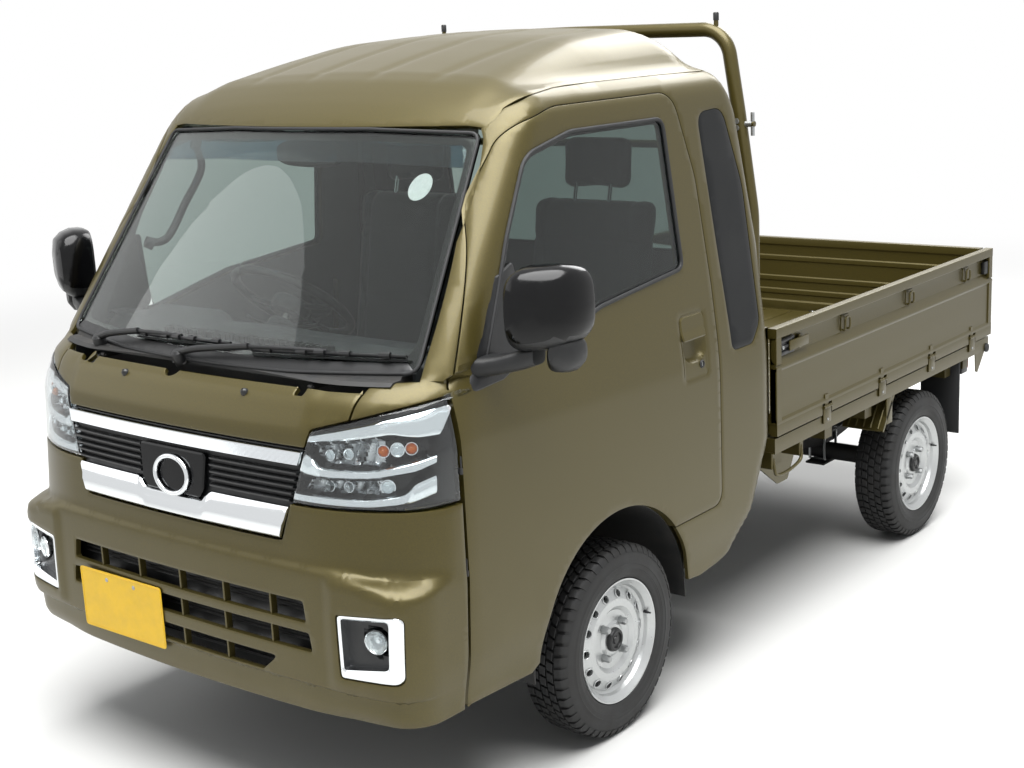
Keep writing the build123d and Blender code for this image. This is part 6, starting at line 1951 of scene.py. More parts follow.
def gate_parts(axis, inner, outer, first, last, hinges, ends, strap, pin):
    """A gate's panel, the lower rail between its hinges, the end flanges, straps and barrels."""
    upper = tuple((a + outer - GATE_OUT, z) for a, z in GATE_SECTION[3:])
    parts = Parts()
    parts.add(PAINT, extruded, bent(((inner, 0.662), (outer, 0.662)) + upper), first, last, axis)
    foot = ((inner, 0.637), (inner + 0.01, 0.627), (outer, 0.627), (outer, 0.664), (inner, 0.664))
    for low, high in in_sections(hinges, first, last):
        parts.add(PAINT, extruded, bent(foot), low, high, axis)
    for low, high in ends:
        for z0, z1 in END_FLANGES:
            parts.append(gate_box(axis, (inner + 0.007, low, z0), (outer - 0.0002, high, z1), 0.0015))
    for at in hinges:
        parts.append(gate_box(axis, (strap[0], at - 0.012, 0.647), (strap[1], at + 0.012, 0.69), 0.001))
        centre = gate_place(axis, pin, at, 0.65)
        parts.add(PAINT, turned, BARREL, centre, gate_place(axis, 0, 1, 0), 16)
    return parts


def hook_loop(y, x, z):
    """A rope hook: a bent rod on a base plate, open at the bottom."""
    line = [(x - 0.001, y - 0.017, z - 0.022), (x + 0.011, y - 0.017, z - 0.018),
            (x + 0.0125, y - 0.016, z + 0.01), (x + 0.0125, y - 0.008, z + 0.019),
            (x + 0.0125, y + 0.008, z + 0.019), (x + 0.0125, y + 0.016, z + 0.01),
            (x + 0.011, y + 0.017, z - 0.018), (x - 0.001, y + 0.017, z - 0.022)]
    return [(*tube(smooth_line(line, 5), 0.0034, 8), PAINT),
            (*rounded_box((x - 0.001, y - 0.026, z - 0.026), (x + 0.0025, y + 0.026, z + 0.026), 0.001, 1),
             PAINT)]


for side, flip in SIDES:
    ends = ((GATE_FRONT, 0.048), (GATE_REAR - 0.03, GATE_REAR))
    parts = gate_parts(1, GATE_IN, GATE_OUT, GATE_FRONT, GATE_REAR, HINGES, ends, (0.7235, 0.73), 0.732)
    for y in ROPE_PLACES:
        parts += hook_loop(y, BAND_X, 0.892)
    # Latch at the front end: a flat lever that turns out of a black guide
    parts.add(BLACK_PLASTIC, rounded_box, (BAND_X - 0.001, 0.022, 0.866), (BAND_X + 0.007, 0.15, 0.918),
              0.002)
    for z in (0.876, 0.894, 0.912):
        parts.add(BLACK_PLASTIC, rounded_box, (BAND_X + 0.006, 0.024, z - 0.0045),
                  (BAND_X + 0.012, 0.128, z + 0.0045), 0.002)
    parts.add(PAINT, rounded_box, (BAND_X + 0.0105, 0.105, 0.876), (BAND_X + 0.0165, 0.225, 0.908), 0.0028)
    parts.add(PAINT, rounded_box, (BAND_X - 0.001, 0.176, 0.87), (BAND_X + 0.009, 0.19, 0.914), 0.002)
    pin = [(BAND_X, 0.0), (BAND_X, 0.006), (BAND_X + 0.0175, 0.006), (BAND_X + 0.0187, 0.004),
           (BAND_X + 0.0187, 0.0)]
    parts.add(BOLT_STEEL, turned, pin, (0, 0.062, 0.895), (1, 0, 0), 16)
    # Latch at the rear end
    parts.add(BLACK_PLASTIC, rounded_box, (BAND_X - 0.001, 1.622, 0.868), (BAND_X + 0.015, 1.658, 0.916),
              0.003)
    gather(f"side_gate_skin_{side}", parts, f"side_gate_{side}", (f"side_gate_{side}",),
           mirror=flip)

TAIL_OUT, TAIL_IN = 1.6908, 1.6612
TAIL_HALF = 0.691
TAIL_HINGES = (-0.52, 0.0, 0.52)
ends = ((-TAIL_HALF, 0.03 - TAIL_HALF), (TAIL_HALF - 0.03, TAIL_HALF))
strap = (TAIL_OUT - 0.0075, TAIL_OUT - 0.001)
parts = gate_parts(0, TAIL_IN, TAIL_OUT, -TAIL_HALF, TAIL_HALF, TAIL_HINGES, ends, strap, 1.692)
for z in (0.735, 0.79, 0.875):
    rib = ((TAIL_IN + 0.006, z - 0.014), (TAIL_IN + 0.001, z - 0.008), (TAIL_IN + 0.001, z + 0.008),
           (TAIL_IN + 0.006, z + 0.014))
    parts.add(PAINT, extruded, bent(rib, 0.001), -0.64, 0.64, 0)
gather("tail_gate_skin", parts, "tail_gate", ("tail_gate",))

# %% [markdown]
# ### Bed floor and front wall
# The CAD floor stays, with its sills and hinge halves. Long pressed ribs stiffen the real floor and
# keep a load off the water, and a boxed rail closes the top of the front wall.

# %% Bed floor ribs and front wall
parts = Parts()
for k in range(11):
    x = -0.6 + 0.12 * k
    rib = ((x - 0.03, 0.6598), (x - 0.021, 0.6655), (x + 0.021, 0.6655), (x + 0.03, 0.6598))
    parts.add(PAINT_BED, extruded, bent(rib, 0.0015), 0.052, 1.63, 1)
front_rail = ((0.0105, 0.925), (0.0105, 0.9602), (0.035, 0.9602), (0.035, 0.925))
parts.add(PAINT_BED, extruded, bent(front_rail), -0.692, 0.692, 0)
for z in (0.735, 0.83):
    rib = ((0.015, z - 0.016), (0.021, z - 0.009), (0.021, z + 0.009), (0.015, z + 0.016))
    parts.add(PAINT_BED, extruded, bent(rib, 0.001), -0.655, 0.655, 0)
for x in (-0.684, 0.684):
    parts.add(PAINT_BED, rounded_box, (x - 0.008, 0.012, 0.66), (x + 0.008, 0.04, 0.96), 0.003)
gather("bed_ribs", parts, "chassis")
paint_node("bed_deck", PAINT_BED)
paint_node("guard_frame", PAINT)

# %% [markdown]
# ### Under the gates
# A folded rail runs below each side gate and carries the fixed halves of its hinges, with a post and
# a rubber stop at the rear corner, and a rod loop on a plate below the front of the bed.

# %% Rails, hooks and corner posts under the gates
for side, flip in SIDES:
    parts = Parts()
    rail = ((0.64, 0.5735), (0.7265, 0.5735), (0.7265, 0.6215), (0.7225, 0.6215), (0.7225, 0.5775),
            (0.64, 0.5775))
    parts.add(PAINT, extruded, bent(rail, 0.001), 0.01, 1.64, 1)
    for y in HINGES:
        parts.add(PAINT, rounded_box, (0.7235, y - 0.026, 0.596), (0.7325, y + 0.026, 0.646), 0.003)
        parts.add(BOLT_STEEL, turned, [(0.731, 0.0), (0.731, 0.005), (0.7345, 0.0046), (0.7352, 0.0)],
                  (0, y, 0.608), (1, 0, 0), 6)
    post = ((1.655, 0.624), (1.649, 0.6), (1.643, 0.567), (1.58, 0.498), (1.563, 0.505), (1.557, 0.56),
            (1.545, 0.624))
    parts.add(PAINT, extruded, post, 0.7245, 0.7215, 0)
    parts.add(SEAL_RUBBER, turned, [(0.7245, 0.0), (0.7245, 0.0165), (0.729, 0.0175), (0.7335, 0.015),
                                    (0.7352, 0.0)], (0, 1.655, 0.58), (1, 0, 0), 28)
    # Plate and rod loop under the front of the bed
    plate = [(0.05, 0.5745), (0.3, 0.5745), (0.3, 0.53), (0.235, 0.425), (0.17, 0.425), (0.05, 0.51)]
    parts.add(PAINT, extruded, bent(plate, 0.008), 0.64, 0.645, 0)
    for y in (0.03, 0.205):
        parts.add(PAINT, rounded_box, (0.644, y - 0.012, 0.52), (0.712, y + 0.012, 0.5745), 0.003, 1)
    loop = [(0.708, 0.03, 0.555), (0.7135, 0.03, 0.52), (0.7145, 0.045, 0.498), (0.7145, 0.11, 0.494),
            (0.7145, 0.18, 0.506), (0.7135, 0.2, 0.524), (0.708, 0.205, 0.555)]
    parts.add(PAINT, tube, smooth_line(loop, 6), 0.0055, 10)
    gather(f"bed_rail_{side}", parts, "chassis", mirror=flip)

# %% [markdown]
# ### Mudguards and tail lamps
# A sloped plate with pressed ribs stands before each rear wheel and a rubber flap hangs behind it. A
# tail lamp is a black housing with three lenses, each over a bright reflector.

# %% Mudguards, flaps and tail lamps
GUARD_X = (0.572, 0.7245)
for side, flip in SIDES:
    parts = Parts()
    guard = [(0.8405, 0.5745), (0.76, 0.464), (0.768, 0.458), (0.853, 0.5745)]
    parts.add(PAINT, extruded, bent(guard, 0.0015), *GUARD_X, 0)
    for k in range(5):
        x = 0.592 + 0.028 * k
        parts.add(PAINT, tube, [(x, 0.764, 0.469), (x, 0.798, 0.516), (x, 0.832, 0.562)], 0.0045, 8)
    parts.add(PAINT, rounded_box, (0.719, 0.79, 0.48), (0.7245, 0.835, 0.575), 0.002)
    parts.add(SEAL_RUBBER, rounded_box, (GUARD_X[0], 1.4075, 0.2985), (GUARD_X[1], 1.416, 0.575), 0.002)
    for z in (0.34, 0.38, 0.42):
        parts.add(SEAL_RUBBER, tube, [(0.585, 1.4165, z), (0.71, 1.4165, z)], 0.0022, 6)
    gather(f"mudguards_{side}", parts, "chassis", () if flip else ("rear_mudguards",), mirror=flip)
    lamp = Parts()
    lamp.add(BLACK_PLASTIC, rounded_box, (0.44, 1.588, 0.48), (0.66, 1.645, 0.575), 0.006)
    for x0, x1, mat in ((0.446, 0.498, LENS_CLEAR), (0.5, 0.562, AMBER), (0.564, 0.654, RED_LENS)):
        lamp.add(mat, rounded_box, (x0, 1.64, 0.487), (x1, 1.6715, 0.568), 0.009, 3)
        lamp.add(REFLECTOR, rounded_box, (x0 + 0.004, 1.6448, 0.491), (x1 - 0.004, 1.65, 0.564), 0.002, 1)
        for k in range(7):
            z = 0.497 + 0.01 * k
            lamp.add(mat, tube, [(x0 + 0.007, 1.6716, z), (x1 - 0.007, 1.6716, z)], 0.0011, 6)
    gather(f"tail_lamp_{side}", lamp, "chassis", () if flip else ("tail_lamps",), mirror=flip)

# %% Guard frame fittings
parts = Parts()
for sign in (1, -1):
    parts.add(BLACK_PLASTIC, turned, [(0.0, 0.0), (0.0, 0.0085), (0.02, 0.0085), (0.0225, 0.007),
                                      (0.0228, 0.0)], (sign * 0.527, 0.04, 1.862), (0, 0, 1), 20)
    parts.add(BOLT_STEEL, turned, [(0.0, 0.0), (0.0, 0.0092), (0.038, 0.0092), (0.038, 0.0)],
              (sign * 0.607, 0.04, 1.562), (sign, 0, 0), 16)
    line = [(sign * 0.645, 0.04, z) for z in (1.596, 1.562, 1.528)]
    parts.add(BOLT_STEEL, tube, line, 0.006, 10)
    for z in (1.552, 1.572):
        parts.add(BOLT_STEEL, turned, [(-0.0235, 0.0), (-0.0235, 0.008), (-0.0215, 0.0085), (-0.0215, 0.0)],
                  (sign * 0.604, 0.04, z), (0, 1, 0), 6)
    foot_x = sign * 0.64
    parts.add(PAINT, rounded_box, (foot_x - 0.042, 0.014, 0.66), (foot_x + 0.042, 0.08, 0.668), 0.002)
    for x in (foot_x - 0.032, foot_x + 0.032):
        bolt = [(0.668, 0.0), (0.668, 0.0065), (0.6735, 0.0062), (0.6745, 0.0)]
        parts.add(BOLT_STEEL, turned, bolt, (x, 0.068, 0), (0, 0, 1), 6)
gather("guard_fittings", parts, "chassis")

# %% [markdown]
# ## Cabin
# Through the glass one sees two seats with head rests, the dashboard with its vents and cluster
# hood, the steering wheel and dark trim. The cushions are real pads: a slightly small shape is
# remeshed, blown up as cloth and smoothed, so that the sides pull in between the seams.

# %% Seat fabric
def woven(name, base, light, thread_mm):
    """Knitted polyester: fine loops, drawn a little coarse so that they show, with a soft sheen."""
    made, tree, shader = material(name, base, 0.9, 0.0, Sheen_Weight=0.35, Sheen_Roughness=0.5)
    weave = add(tree, "ShaderNodeTexVoronoi", {"Vector": place(tree), "Scale": 1000.0 / thread_mm})
    share = spread(tree, noise(tree, 45.0, 4.0), 0.35, 0.7, 0.0, 0.6)
    join(tree, shader, Base_Color=blend_colours(tree, share, base, light))
    bump(tree, shader, weave.outputs["Distance"], 0.35, 0.7)
    return made


SEAT_CLOTH = woven("knitted_seat_cloth", "#2B2C2F", "#3B3C40", 2.4)
SEAT_SIDE = grained("grained_seat_vinyl", "#1F2022", "#2A2B2D", 0.6, 1.8, 0.08)


def applied(made):
    """Applies all modifiers of a piece to its mesh."""
    bpy.context.view_layer.update()
    depsgraph = bpy.context.evaluated_depsgraph_get()
    mesh = bpy.data.meshes.new_from_object(made.evaluated_get(depsgraph))
    made.modifiers.clear()
    old = made.data
    made.data = mesh
    bpy.data.meshes.remove(old)


def pad(name, low, high, slope, cap):
    """A padded piece that fills a sloped box, blown up as cloth by up to cap.
"""
    verts, faces = rounded_box(low, high, 0.03, 3)
    lean = lambda v: Vector((v[0], v[1] + slope * (v[2] - low[2]), v[2]))
    made = link_mesh(name, [lean(v) for v in verts], faces, [SEAT_CLOTH], crease=70.0)
    work = bmesh.new()
    work.from_mesh(made.data)
    bmesh.ops.recalc_face_normals(work, faces=work.faces)
    work.to_mesh(made.data)
    work.free()
    remesh = made.modifiers.new("even", "REMESH")
    remesh.mode = "VOXEL"
    remesh.voxel_size = 0.009
    remesh.use_smooth_shade = True
    applied(made)
    start = np.array([v.co for v in made.data.vertices])
    cloth = made.modifiers.new("swell", "CLOTH")
    cloth.settings.use_pressure = True
    cloth.settings.uniform_pressure_force = 4.0
    cloth.settings.effector_weights.gravity = 0.0
    cloth.settings.quality = 4
    cloth.point_cache.frame_start = 1
    cloth.point_cache.frame_end = 20
    for number in range(1, 21):
        bpy.context.scene.frame_set(number)
    applied(made)
    bpy.context.scene.frame_set(1)
    end = np.array([v.co for v in made.data.vertices])
    moved = end - start
    length = np.linalg.norm(moved, axis=1)
    moved *= np.minimum(1.0, cap / np.maximum(length, 1e-9))[:, None]
    made.data.vertices.foreach_set("co", (start + moved).astype(np.float32).ravel())
    made.data.update()
    return made


def sewn(made, channels, depth, width):
    """Presses sewn channels into a pad; each channel gives a point's distance from its seam."""
    points = np.array([v.co for v in made.data.vertices])
    vectors = np.array([v.normal for v in made.data.vertices])
    press = np.zeros(len(points))
    for channel in channels:
        press = np.maximum(press, np.exp(-(channel(points) / width) ** 2))
    points -= vectors * (press * depth)[:, None]
    made.data.vertices.foreach_set("co", points.astype(np.float32).ravel())
    made.data.update()


for side, x in (("left", 0.35), ("right", -0.35)):
    cushion = pad(f"seat_cushion_{side}", (x - 0.214, -0.95, 0.7), (x + 0.214, -0.442, 0.832), 0.0, 0.01)
    sewn(cushion, (lambda p: np.abs(p[:, 0] - x) - 0.15, lambda p: p[:, 1] + 0.7, lambda p: p[:, 2] - 0.76),
         0.0055, 0.007)
    back_pad = pad(f"seat_back_{side}", (x - 0.203, -0.49, 0.852), (x + 0.203, -0.402, 1.385), 0.178, 0.009)
    sewn(back_pad, (lambda p: np.abs(p[:, 0] - x) - 0.14, lambda p: p[:, 2] - 1.06,
                    lambda p: p[:, 2] - 1.27), 0.005, 0.007)
    rest = pad(f"head_rest_{side}", (x - 0.112, -0.366, 1.41), (x + 0.112, -0.316, 1.555), 0.085, 0.007)
    sewn(rest, (lambda p: np.abs(p[:, 0] - x) - 0.096,), 0.003, 0.005)
    for made in (cushion, back_pad, rest):
        level = made.modifiers.new("smooth", "SUBSURF")
        level.levels = level.render_levels = 1
        for polygon in made.data.polygons:
            polygon.use_smooth = True
        finish(made, "chassis", ("seats",) if made is cushion and side == "left" else ())
    parts = Parts()
    for rod_x in (x - 0.06, x + 0.06):
        parts.add(CHROME, tube, [(rod_x, -0.372, 1.375), (rod_x, -0.355, 1.44)], 0.006, 12)
    parts.add(SEAT_SIDE, rounded_box, (x - 0.2245, -0.955, 0.6905), (x + 0.2245, -0.44, 0.712), 0.006)
    for hinge_x in (x - 0.218, x + 0.218):
        low, high = (hinge_x - 0.006, -0.52, 0.7), (hinge_x + 0.006, -0.44, 0.86)
        parts.add(SEAT_SIDE, rounded_box, low, high, 0.004)
    buckle_x = x - math.copysign(0.215, x)
    low, high = (buckle_x - 0.012, -0.56, 0.8), (buckle_x + 0.012, -0.515, 0.9)
    parts.add(BLACK_PLASTIC, rounded_box, low, high, 0.006)
    low, high = (buckle_x - 0.0125, -0.556, 0.895), (buckle_x + 0.0125, -0.519, 0.906)
    parts.add(RED_LENS, rounded_box, low, high, 0.003)
    gather(f"seat_fittings_{side}", parts, "chassis")
    belt = [(x * 1.7, -0.3, 1.56), (x * 1.72, -0.29, 1.3), (x * 1.74, -0.3, 0.9), (x * 1.74, -0.33, 0.72)]
    line = smooth_line(belt, 8)
    verts, faces = [], []
    for point in line:
        for dy, dx in ((-0.023, 0.0), (0.023, 0.0), (0.023, 0.0014), (-0.023, 0.0014)):
            verts.append(point + Vector((dx, dy, 0)))
    for i in range(len(line) - 1):
        for k in range(4):
            j = (k + 1) % 4
            faces.append((i * 4 + k, i * 4 + j, i * 4 + 4 + j, i * 4 + 4 + k))
    faces += [(3, 2, 1, 0), tuple(len(verts) - 4 + k for k in range(4))]
    gather(f"belt_{side}", [(verts, faces, SEAT_CLOTH),
                            (*rounded_box((x * 1.7 - 0.012, -0.328, 1.535), (x * 1.7 + 0.012, -0.272, 1.585),
                                          0.005), BLACK_PLASTIC)], "chassis")

# %% [markdown]
# ### Dashboard and steering wheel
# The dashboard is one section carried across the cab in 49 rings, which a hood over the instruments
# and a raised middle push outwards. Vents, knobs, stalks and the column's shroud are added to it.
# The wheel's rim is a tube round the tilted column, on three spokes.

# %% Dashboard
DASH_SECTION = ((-1.44, 1.116), (-1.4, 1.138), (-1.35, 1.15), (-1.3, 1.152), (-1.275, 1.14), (-1.262, 1.118),
                (-1.26, 1.085), (-1.268, 1.06), (-1.27, 1.000), (-1.276, 0.9), (-1.295, 0.86),
                (-1.35, 0.825), (-1.44, 0.805))
DASH_HALF = 0.632
HOOD_RISE = 0.026
dash_outline = bent(DASH_SECTION, 0.012)
rings = []
for x in np.linspace(-DASH_HALF, DASH_HALF, 49):
    near = abs(x) / DASH_HALF
    hood = HOOD_RISE * soft_step(0.17 - abs(x + 0.35), 0.0, 0.05)
    centre = 0.01 * soft_step(0.14 - abs(x), 0.0, 0.03)
    ring = []
    for y, z in dash_outline:
        top = soft_step(z, 1.08, 1.14)
        rear = soft_step(y, -1.33, -1.29)
        front = soft_step(-y, 1.34, 1.42)
        back_by = centre * rear + 0.09 * near ** 3 * front + 0.012 * hood / HOOD_RISE * top * rear
        ring.append((x, y + back_by, z + hood * top * rear))
    rings.append(ring)
dash_parts = Parts()
dash_parts.add(DASH_PLASTIC, lofted, rings)
for x in (-0.575, -0.105, 0.105, 0.575):
    low, high = (x - 0.048, -1.272, 1.05), (x + 0.048, -1.2555, 1.108)
    dash_parts.add(BLACK_PLASTIC, rounded_box, low, high, 0.006)
    for k in range(5):
        z = 1.0585 + 0.0105 * k
        dash_parts.add(GLOSS_BLACK, rounded_box, (x - 0.041, -1.256, z), (x + 0.041, -1.25, z + 0.0035),
                       0.001, 1)
for k in range(34):
    x = -0.3 + 0.0182 * k
    dash_parts.add(BLACK_PLASTIC, rounded_box, (x, -1.418, 1.1325), (x + 0.006, -1.39, 1.1475), 0.001, 1)
dash_parts.add(GLOSS_BLACK, rounded_box, (-0.095, -1.27, 0.93), (0.095, -1.2535, 1.036), 0.006)
for x in (-0.06, 0.0, 0.06):
    knob = [(0.0, 0.0), (0.0, 0.019), (0.012, 0.0185), (0.02, 0.0165), (0.0215, 0.013), (0.0215, 0.0)]
    dash_parts.add(BLACK_PLASTIC, turned, knob, (x, -1.265, 0.895), (0, 1, 0), 24)
dash_parts.add(DASH_PLASTIC, rounded_box, (0.215, -1.2735, 0.905), (0.575, -1.262, 1.035), 0.008)
dash_parts.add(BLACK_PLASTIC, rounded_box, (0.36, -1.264, 1.000), (0.43, -1.256, 1.014), 0.003)
dash_parts.add(GLOSS_BLACK, rounded_box, (-0.48, -1.302, 1.09), (-0.22, -1.268, 1.166), 0.01)
for x in (-0.415, -0.35, -0.285):
    radius = 0.026 if x == -0.35 else 0.019
    ring = [Vector((x, -1.2672, 1.128)) + v for v in ring_points((0, 1, 0), radius, 28)]
    dash_parts.add(SATIN_CHROME, tube, ring, 0.0016, 6, closed=True)
shroud_axis = Vector((0, math.cos(math.radians(50)), math.sin(math.radians(50))))
wheel_centre = Vector((-0.35, -0.905, 1.12))
shroud = [(-0.33, 0.0), (-0.33, 0.05), (-0.14, 0.048), (-0.075, 0.043), (-0.066, 0.036), (-0.066, 0.014),
          (-0.262, 0.013), (-0.262, 0.0)]
dash_parts.add(DASH_PLASTIC, turned, shroud, wheel_centre, shroud_axis, 28)
for sign in (1, -1):
    stalk = [wheel_centre - shroud_axis * 0.085 + Vector((sign * 0.035, 0, 0)),
             wheel_centre - shroud_axis * 0.08 + Vector((sign * 0.1, 0, 0.004)),
             wheel_centre - shroud_axis * 0.072 + Vector((sign * 0.15, 0, 0.01))]
    dash_parts.add(BLACK_PLASTIC, tube, smooth_line(stalk, 5), 0.0062, 10)
gather("dashboard_top", dash_parts, "chassis", ("dashboard",), crease=40.0)

# %% Steering wheel
side_axis = Vector((1, 0, 0))
up_axis = shroud_axis.cross(side_axis) * -1
rim_line = [wheel_centre + (side_axis * math.cos(t) + up_axis * math.sin(t)) * 0.182
            for t in np.linspace(0, 2 * math.pi, 73)[:-1]]
wheel_parts = Parts()
wheel_parts.add(BLACK_PLASTIC, tube, rim_line, 0.0138, 14, closed=True)
hub = [(-0.034, 0.0), (-0.034, 0.052), (-0.01, 0.06), (0.006, 0.058), (0.015, 0.046), (0.019, 0.024),
       (0.0195, 0.0)]
wheel_parts.add(DASH_PLASTIC, turned, hub, wheel_centre - shroud_axis * 0.008, shroud_axis, 36)
for angle in (0, 180, 270):
    t = math.radians(angle)
    out = side_axis * math.cos(t) + up_axis * math.sin(t)
    line = [wheel_centre + out * 0.045 - shroud_axis * 0.01, wheel_centre + out * 0.11 - shroud_axis * 0.008,
            wheel_centre + out * 0.178]
    wheel_parts.add(DASH_PLASTIC, tube, smooth_line(line, 6), 0.0125, 12, flat=0.6)
wheel_parts.add(CAST_METAL, tube, [wheel_centre - shroud_axis * 0.03, wheel_centre - shroud_axis * 0.25],
                0.0108, 16)
gather("steering_wheel_rim", wheel_parts, "steering_wheel", ("steering_wheel",), crease=40.0)

# %% Trim inside the cab
trim = Parts()
grab = [(-0.562, -1.235, 1.33), (-0.535, -1.19, 1.34), (-0.528, -1.12, 1.43), (-0.523, -1.055, 1.52),
        (-0.52, -1.07, 1.59)]
trim.add(DASH_PLASTIC, tube, smooth_line(grab, 8), 0.011, 12)
for at in (grab[0], grab[-1]):
    trim.add(DASH_PLASTIC, turned, [(-0.012, 0.0), (-0.012, 0.018), (0.01, 0.016), (0.014, 0.0)], at,
             (-0.4, -0.8, 0.4), 18)
inside_mirror = [[(x, y, z) for x, z in ring_outline(x0, x1, z0, z1, 24, 3.0)]
                 for y, x0, x1, z0, z1 in (
                     (-1.148, -0.08, 0.08, 1.555, 1.6), (-1.14, -0.112, 0.112, 1.545, 1.612),
                     (-1.122, -0.118, 0.118, 1.542, 1.614), (-1.116, -0.112, 0.112, 1.547, 1.609))]
trim.add(BLACK_PLASTIC, lofted, inside_mirror)
trim.add(BLACK_PLASTIC, tube, [(0, -1.135, 1.6), (0, -1.13, 1.65)], 0.008, 12)
for x in (-0.34, 0.34):
    visor = [[(xx, y, z) for xx, z in ring_outline(x - w, x + w, z0, z1, 24, 5.0)]
             for y, w, z0, z1 in ((-1.078, 0.18, 1.6, 1.672), (-1.07, 0.186, 1.596, 1.676),
                                  (-1.062, 0.18, 1.6, 1.672))]
    trim.add(HEADLINER, lofted, visor)
lever = [(-0.02, -1.23, 0.88), (-0.02, -1.15, 0.93), (-0.02, -1.095, 0.965)]
trim.add(CHROME, tube, smooth_line(lever, 6), 0.008, 10)
trim.add(BLACK_PLASTIC, turned, [(-0.022, 0.0), (-0.022, 0.016), (0.004, 0.023), (0.018, 0.017),
                                 (0.024, 0.0)], lever[-1], (0, 0.8, 0.6), 20)
gather("cab_trim", trim, "chassis", crease=40.0)

# %% [markdown]
# ## Underneath
# The ladder frame, axle, arms, tank and exhaust keep their CAD shapes and get their real finishes:
# black chassis paint, cast aluminium, bare aluminised steel. Coil springs, spring leaves, bolts and
# pipe clamps, which the solids leave out, are added.

# %% Springs, clamps and liners
parts = Parts()
for sign in (1, -1):
    x, y = sign * 0.54, FRONT_AXLE_Y
    helix = [Vector((x + 0.046 * math.cos(t), y + 0.046 * math.sin(t), 0.47 + 0.0185 * t / (2 * math.pi)))
             for t in np.linspace(0, 2 * math.pi * 5.0, 120)]
    parts.add(CHASSIS_BLACK, tube, helix, 0.0055, 8)
    seat = [(0.455, 0.026), (0.46, 0.054), (0.468, 0.056), (0.472, 0.052), (0.466, 0.026), (0.455, 0.026)]
    parts.add(CHASSIS_BLACK, turned, seat, (x, y, 0), (0, 0, 1), 32)
gather("front_springs", parts, "chassis")


def leaf_height(y, k):
    """Height of leaf k of a spring at y from the axle; leaf 0, the longest, lies on top."""
    return 0.2975 + 0.0085 * (3 - k) + (abs(y) / 0.52) ** 1.6 * 0.112 * (1.0 if k == 0 else 0.96)


parts = Parts()
for sign in (1, -1):
    x = sign * 0.33
    for k, reach in enumerate((0.515, 0.44, 0.34, 0.24)):
        ys = np.linspace(-reach, reach, 25)
        section = [(REAR_AXLE_Y + y, leaf_height(y, k)) for y in ys]
        section += [(REAR_AXLE_Y + y, leaf_height(y, k) + 0.0075) for y in ys[::-1]]
        size = len(section)
        half = 0.0262
        verts = [Vector((at, a, b)) for at in (x - half, x + half) for a, b in section]
        faces = [(i, i + 1, i + 1 + size, i + size) for i in range(size - 1)]
        faces += [(size - 1, 0, size, 2 * size - 1)]
        faces += [(i, size - 1 - i, size - 2 - i, i + 1) for i in range(24)]
        faces += [(size + i + 1, 2 * size - 2 - i, 2 * size - 1 - i, size + i) for i in range(24)]
        parts.append((verts, faces, CHASSIS_BLACK))
    for dy in (-0.045, 0.045):
        y = REAR_AXLE_Y + dy
        bolt = [(x - 0.03, y, 0.345), (x - 0.03, y, 0.24), (x + 0.03, y, 0.24), (x + 0.03, y, 0.345)]
        parts.add(BOLT_STEEL, tube, bolt, 0.0055, 8)
    for z0, z1 in ((0.336, 0.344), (0.222, 0.23)):
        parts.add(CHASSIS_BLACK, rounded_box, (x - 0.038, 1.02, z0), (x + 0.038, 1.15, z1), 0.002)
    damper = [Vector((x * 0.82, 1.13, 0.28)), Vector((x * 0.72, 1.000, 0.52))]
    parts.add(CHASSIS_BLACK, tube, damper, 0.022, 16)
    parts.add(CAST_METAL, tube, [damper[0], damper[0].lerp(damper[1], 0.45)], 0.026, 16)
gather("leaf_packs", parts, "chassis")

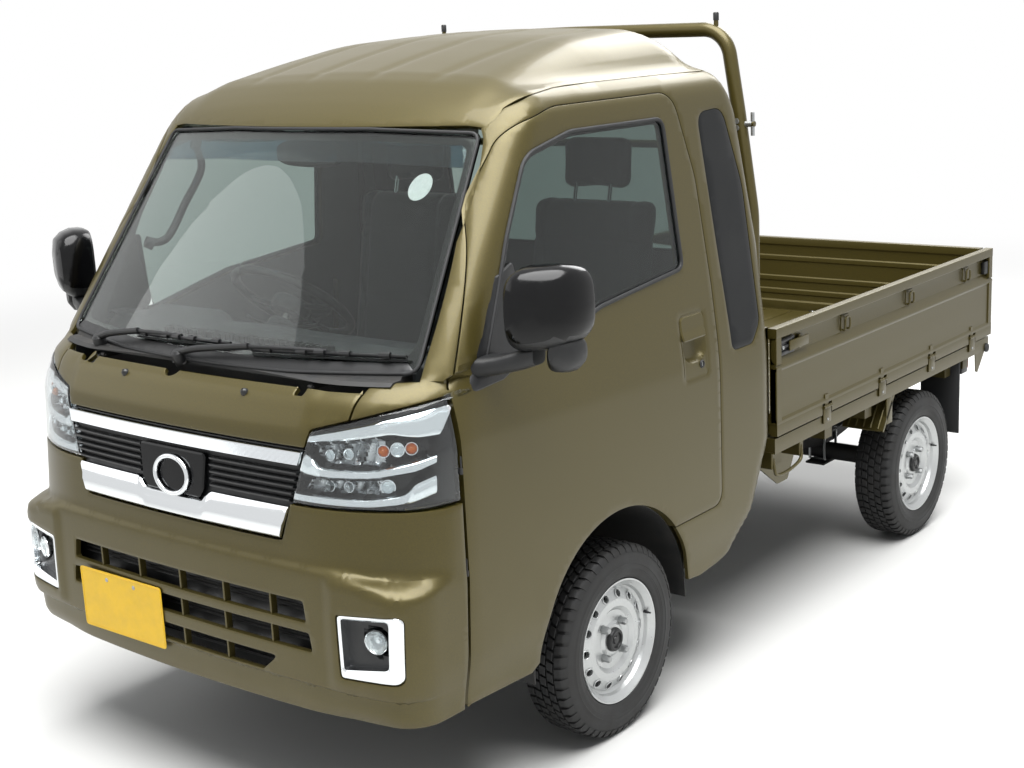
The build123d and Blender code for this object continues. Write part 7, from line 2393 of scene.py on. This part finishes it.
# %% Bolts and ribs on the axle, tank and exhaust
parts = Parts()
for k in range(10):
    t = 2 * math.pi * k / 10
    parts.add(BOLT_STEEL, turned, [(0.0, 0.0), (0.0, 0.0075), (0.006, 0.0072), (0.0065, 0.0)],
              (0.092 * math.cos(t), 1.1548, 0.264 + 0.092 * math.sin(t)), (0, 1, 0), 6)
for y in (0.33, 0.47, 0.61):
    band = [(0.0685, 0.2985), (0.3015, 0.2985), (0.3015, 0.4705), (0.0685, 0.4705)]
    parts.add(CHASSIS_BLACK, extruded, bent(band, 0.012), y, y + 0.028, 1)
for y in (-0.12, 0.26, 0.84):
    parts.add(BOLT_STEEL, turned, [(-0.008, 0.0215), (-0.008, 0.0245), (0.008, 0.0245), (0.008, 0.0215),
                                   (-0.008, 0.0215)], (-0.15, y, 0.33), (0, 1, 0), 24)
for y in (0.3015, 0.7985):
    seam = [Vector((-0.15, y, 0.33)) + v for v in ring_points((0, 1, 0), 0.08, 40)]
    parts.add(EXHAUST_STEEL, tube, seam, 0.003, 6, closed=True)
gather("underbody_fittings", parts, "chassis")

# %% Wheel-arch liners
LINER_RADII = (0.3475, 0.3515)
turns = np.radians(np.linspace(-2.0, 182.0, 44))
n = len(turns)
verts, faces = [], []
for x in (0.4, 0.708):
    for radius in LINER_RADII:
        verts += [Vector((x, ARCH_CENTRE[0] + radius * math.cos(t), ARCH_CENTRE[1] + radius * math.sin(t)))
                  for t in turns]
for i in range(n - 1):
    faces += [(i, i + 1, 2 * n + i + 1, 2 * n + i), (n + i + 1, n + i, 3 * n + i, 3 * n + i + 1),
              (i + 1, i, n + i, n + i + 1), (2 * n + i, 2 * n + i + 1, 3 * n + i + 1, 3 * n + i)]
faces += [(0, 2 * n, 3 * n, n), (n - 1, 2 * n - 1, 4 * n - 1, 3 * n - 1)]
for side, flip in SIDES:
    gather(f"arch_liner_{side}", [(verts, faces, CHASSIS_BLACK)], "chassis", mirror=flip)

# %% Finishes for the CAD nodes that stay
FINISHES = ((CLEAR_GLASS, ("windscreen",)), (DOOR_GLASS, ("door_glass_left", "door_glass_right")),
            (PAINT, ("cab_floor",)), (CAST_METAL, ("engine_block", "knuckle_left", "knuckle_right")),
            (EXHAUST_STEEL, ("exhaust",)),
            (CHASSIS_BLACK, ("cab_front", "chassis_frame", "front_suspension", "rear_axle", "leaf_springs",
                             "propeller_shaft", "fuel_tank")))
for mat, nodes in FINISHES:
    for node in nodes:
        paint_node(node, mat)
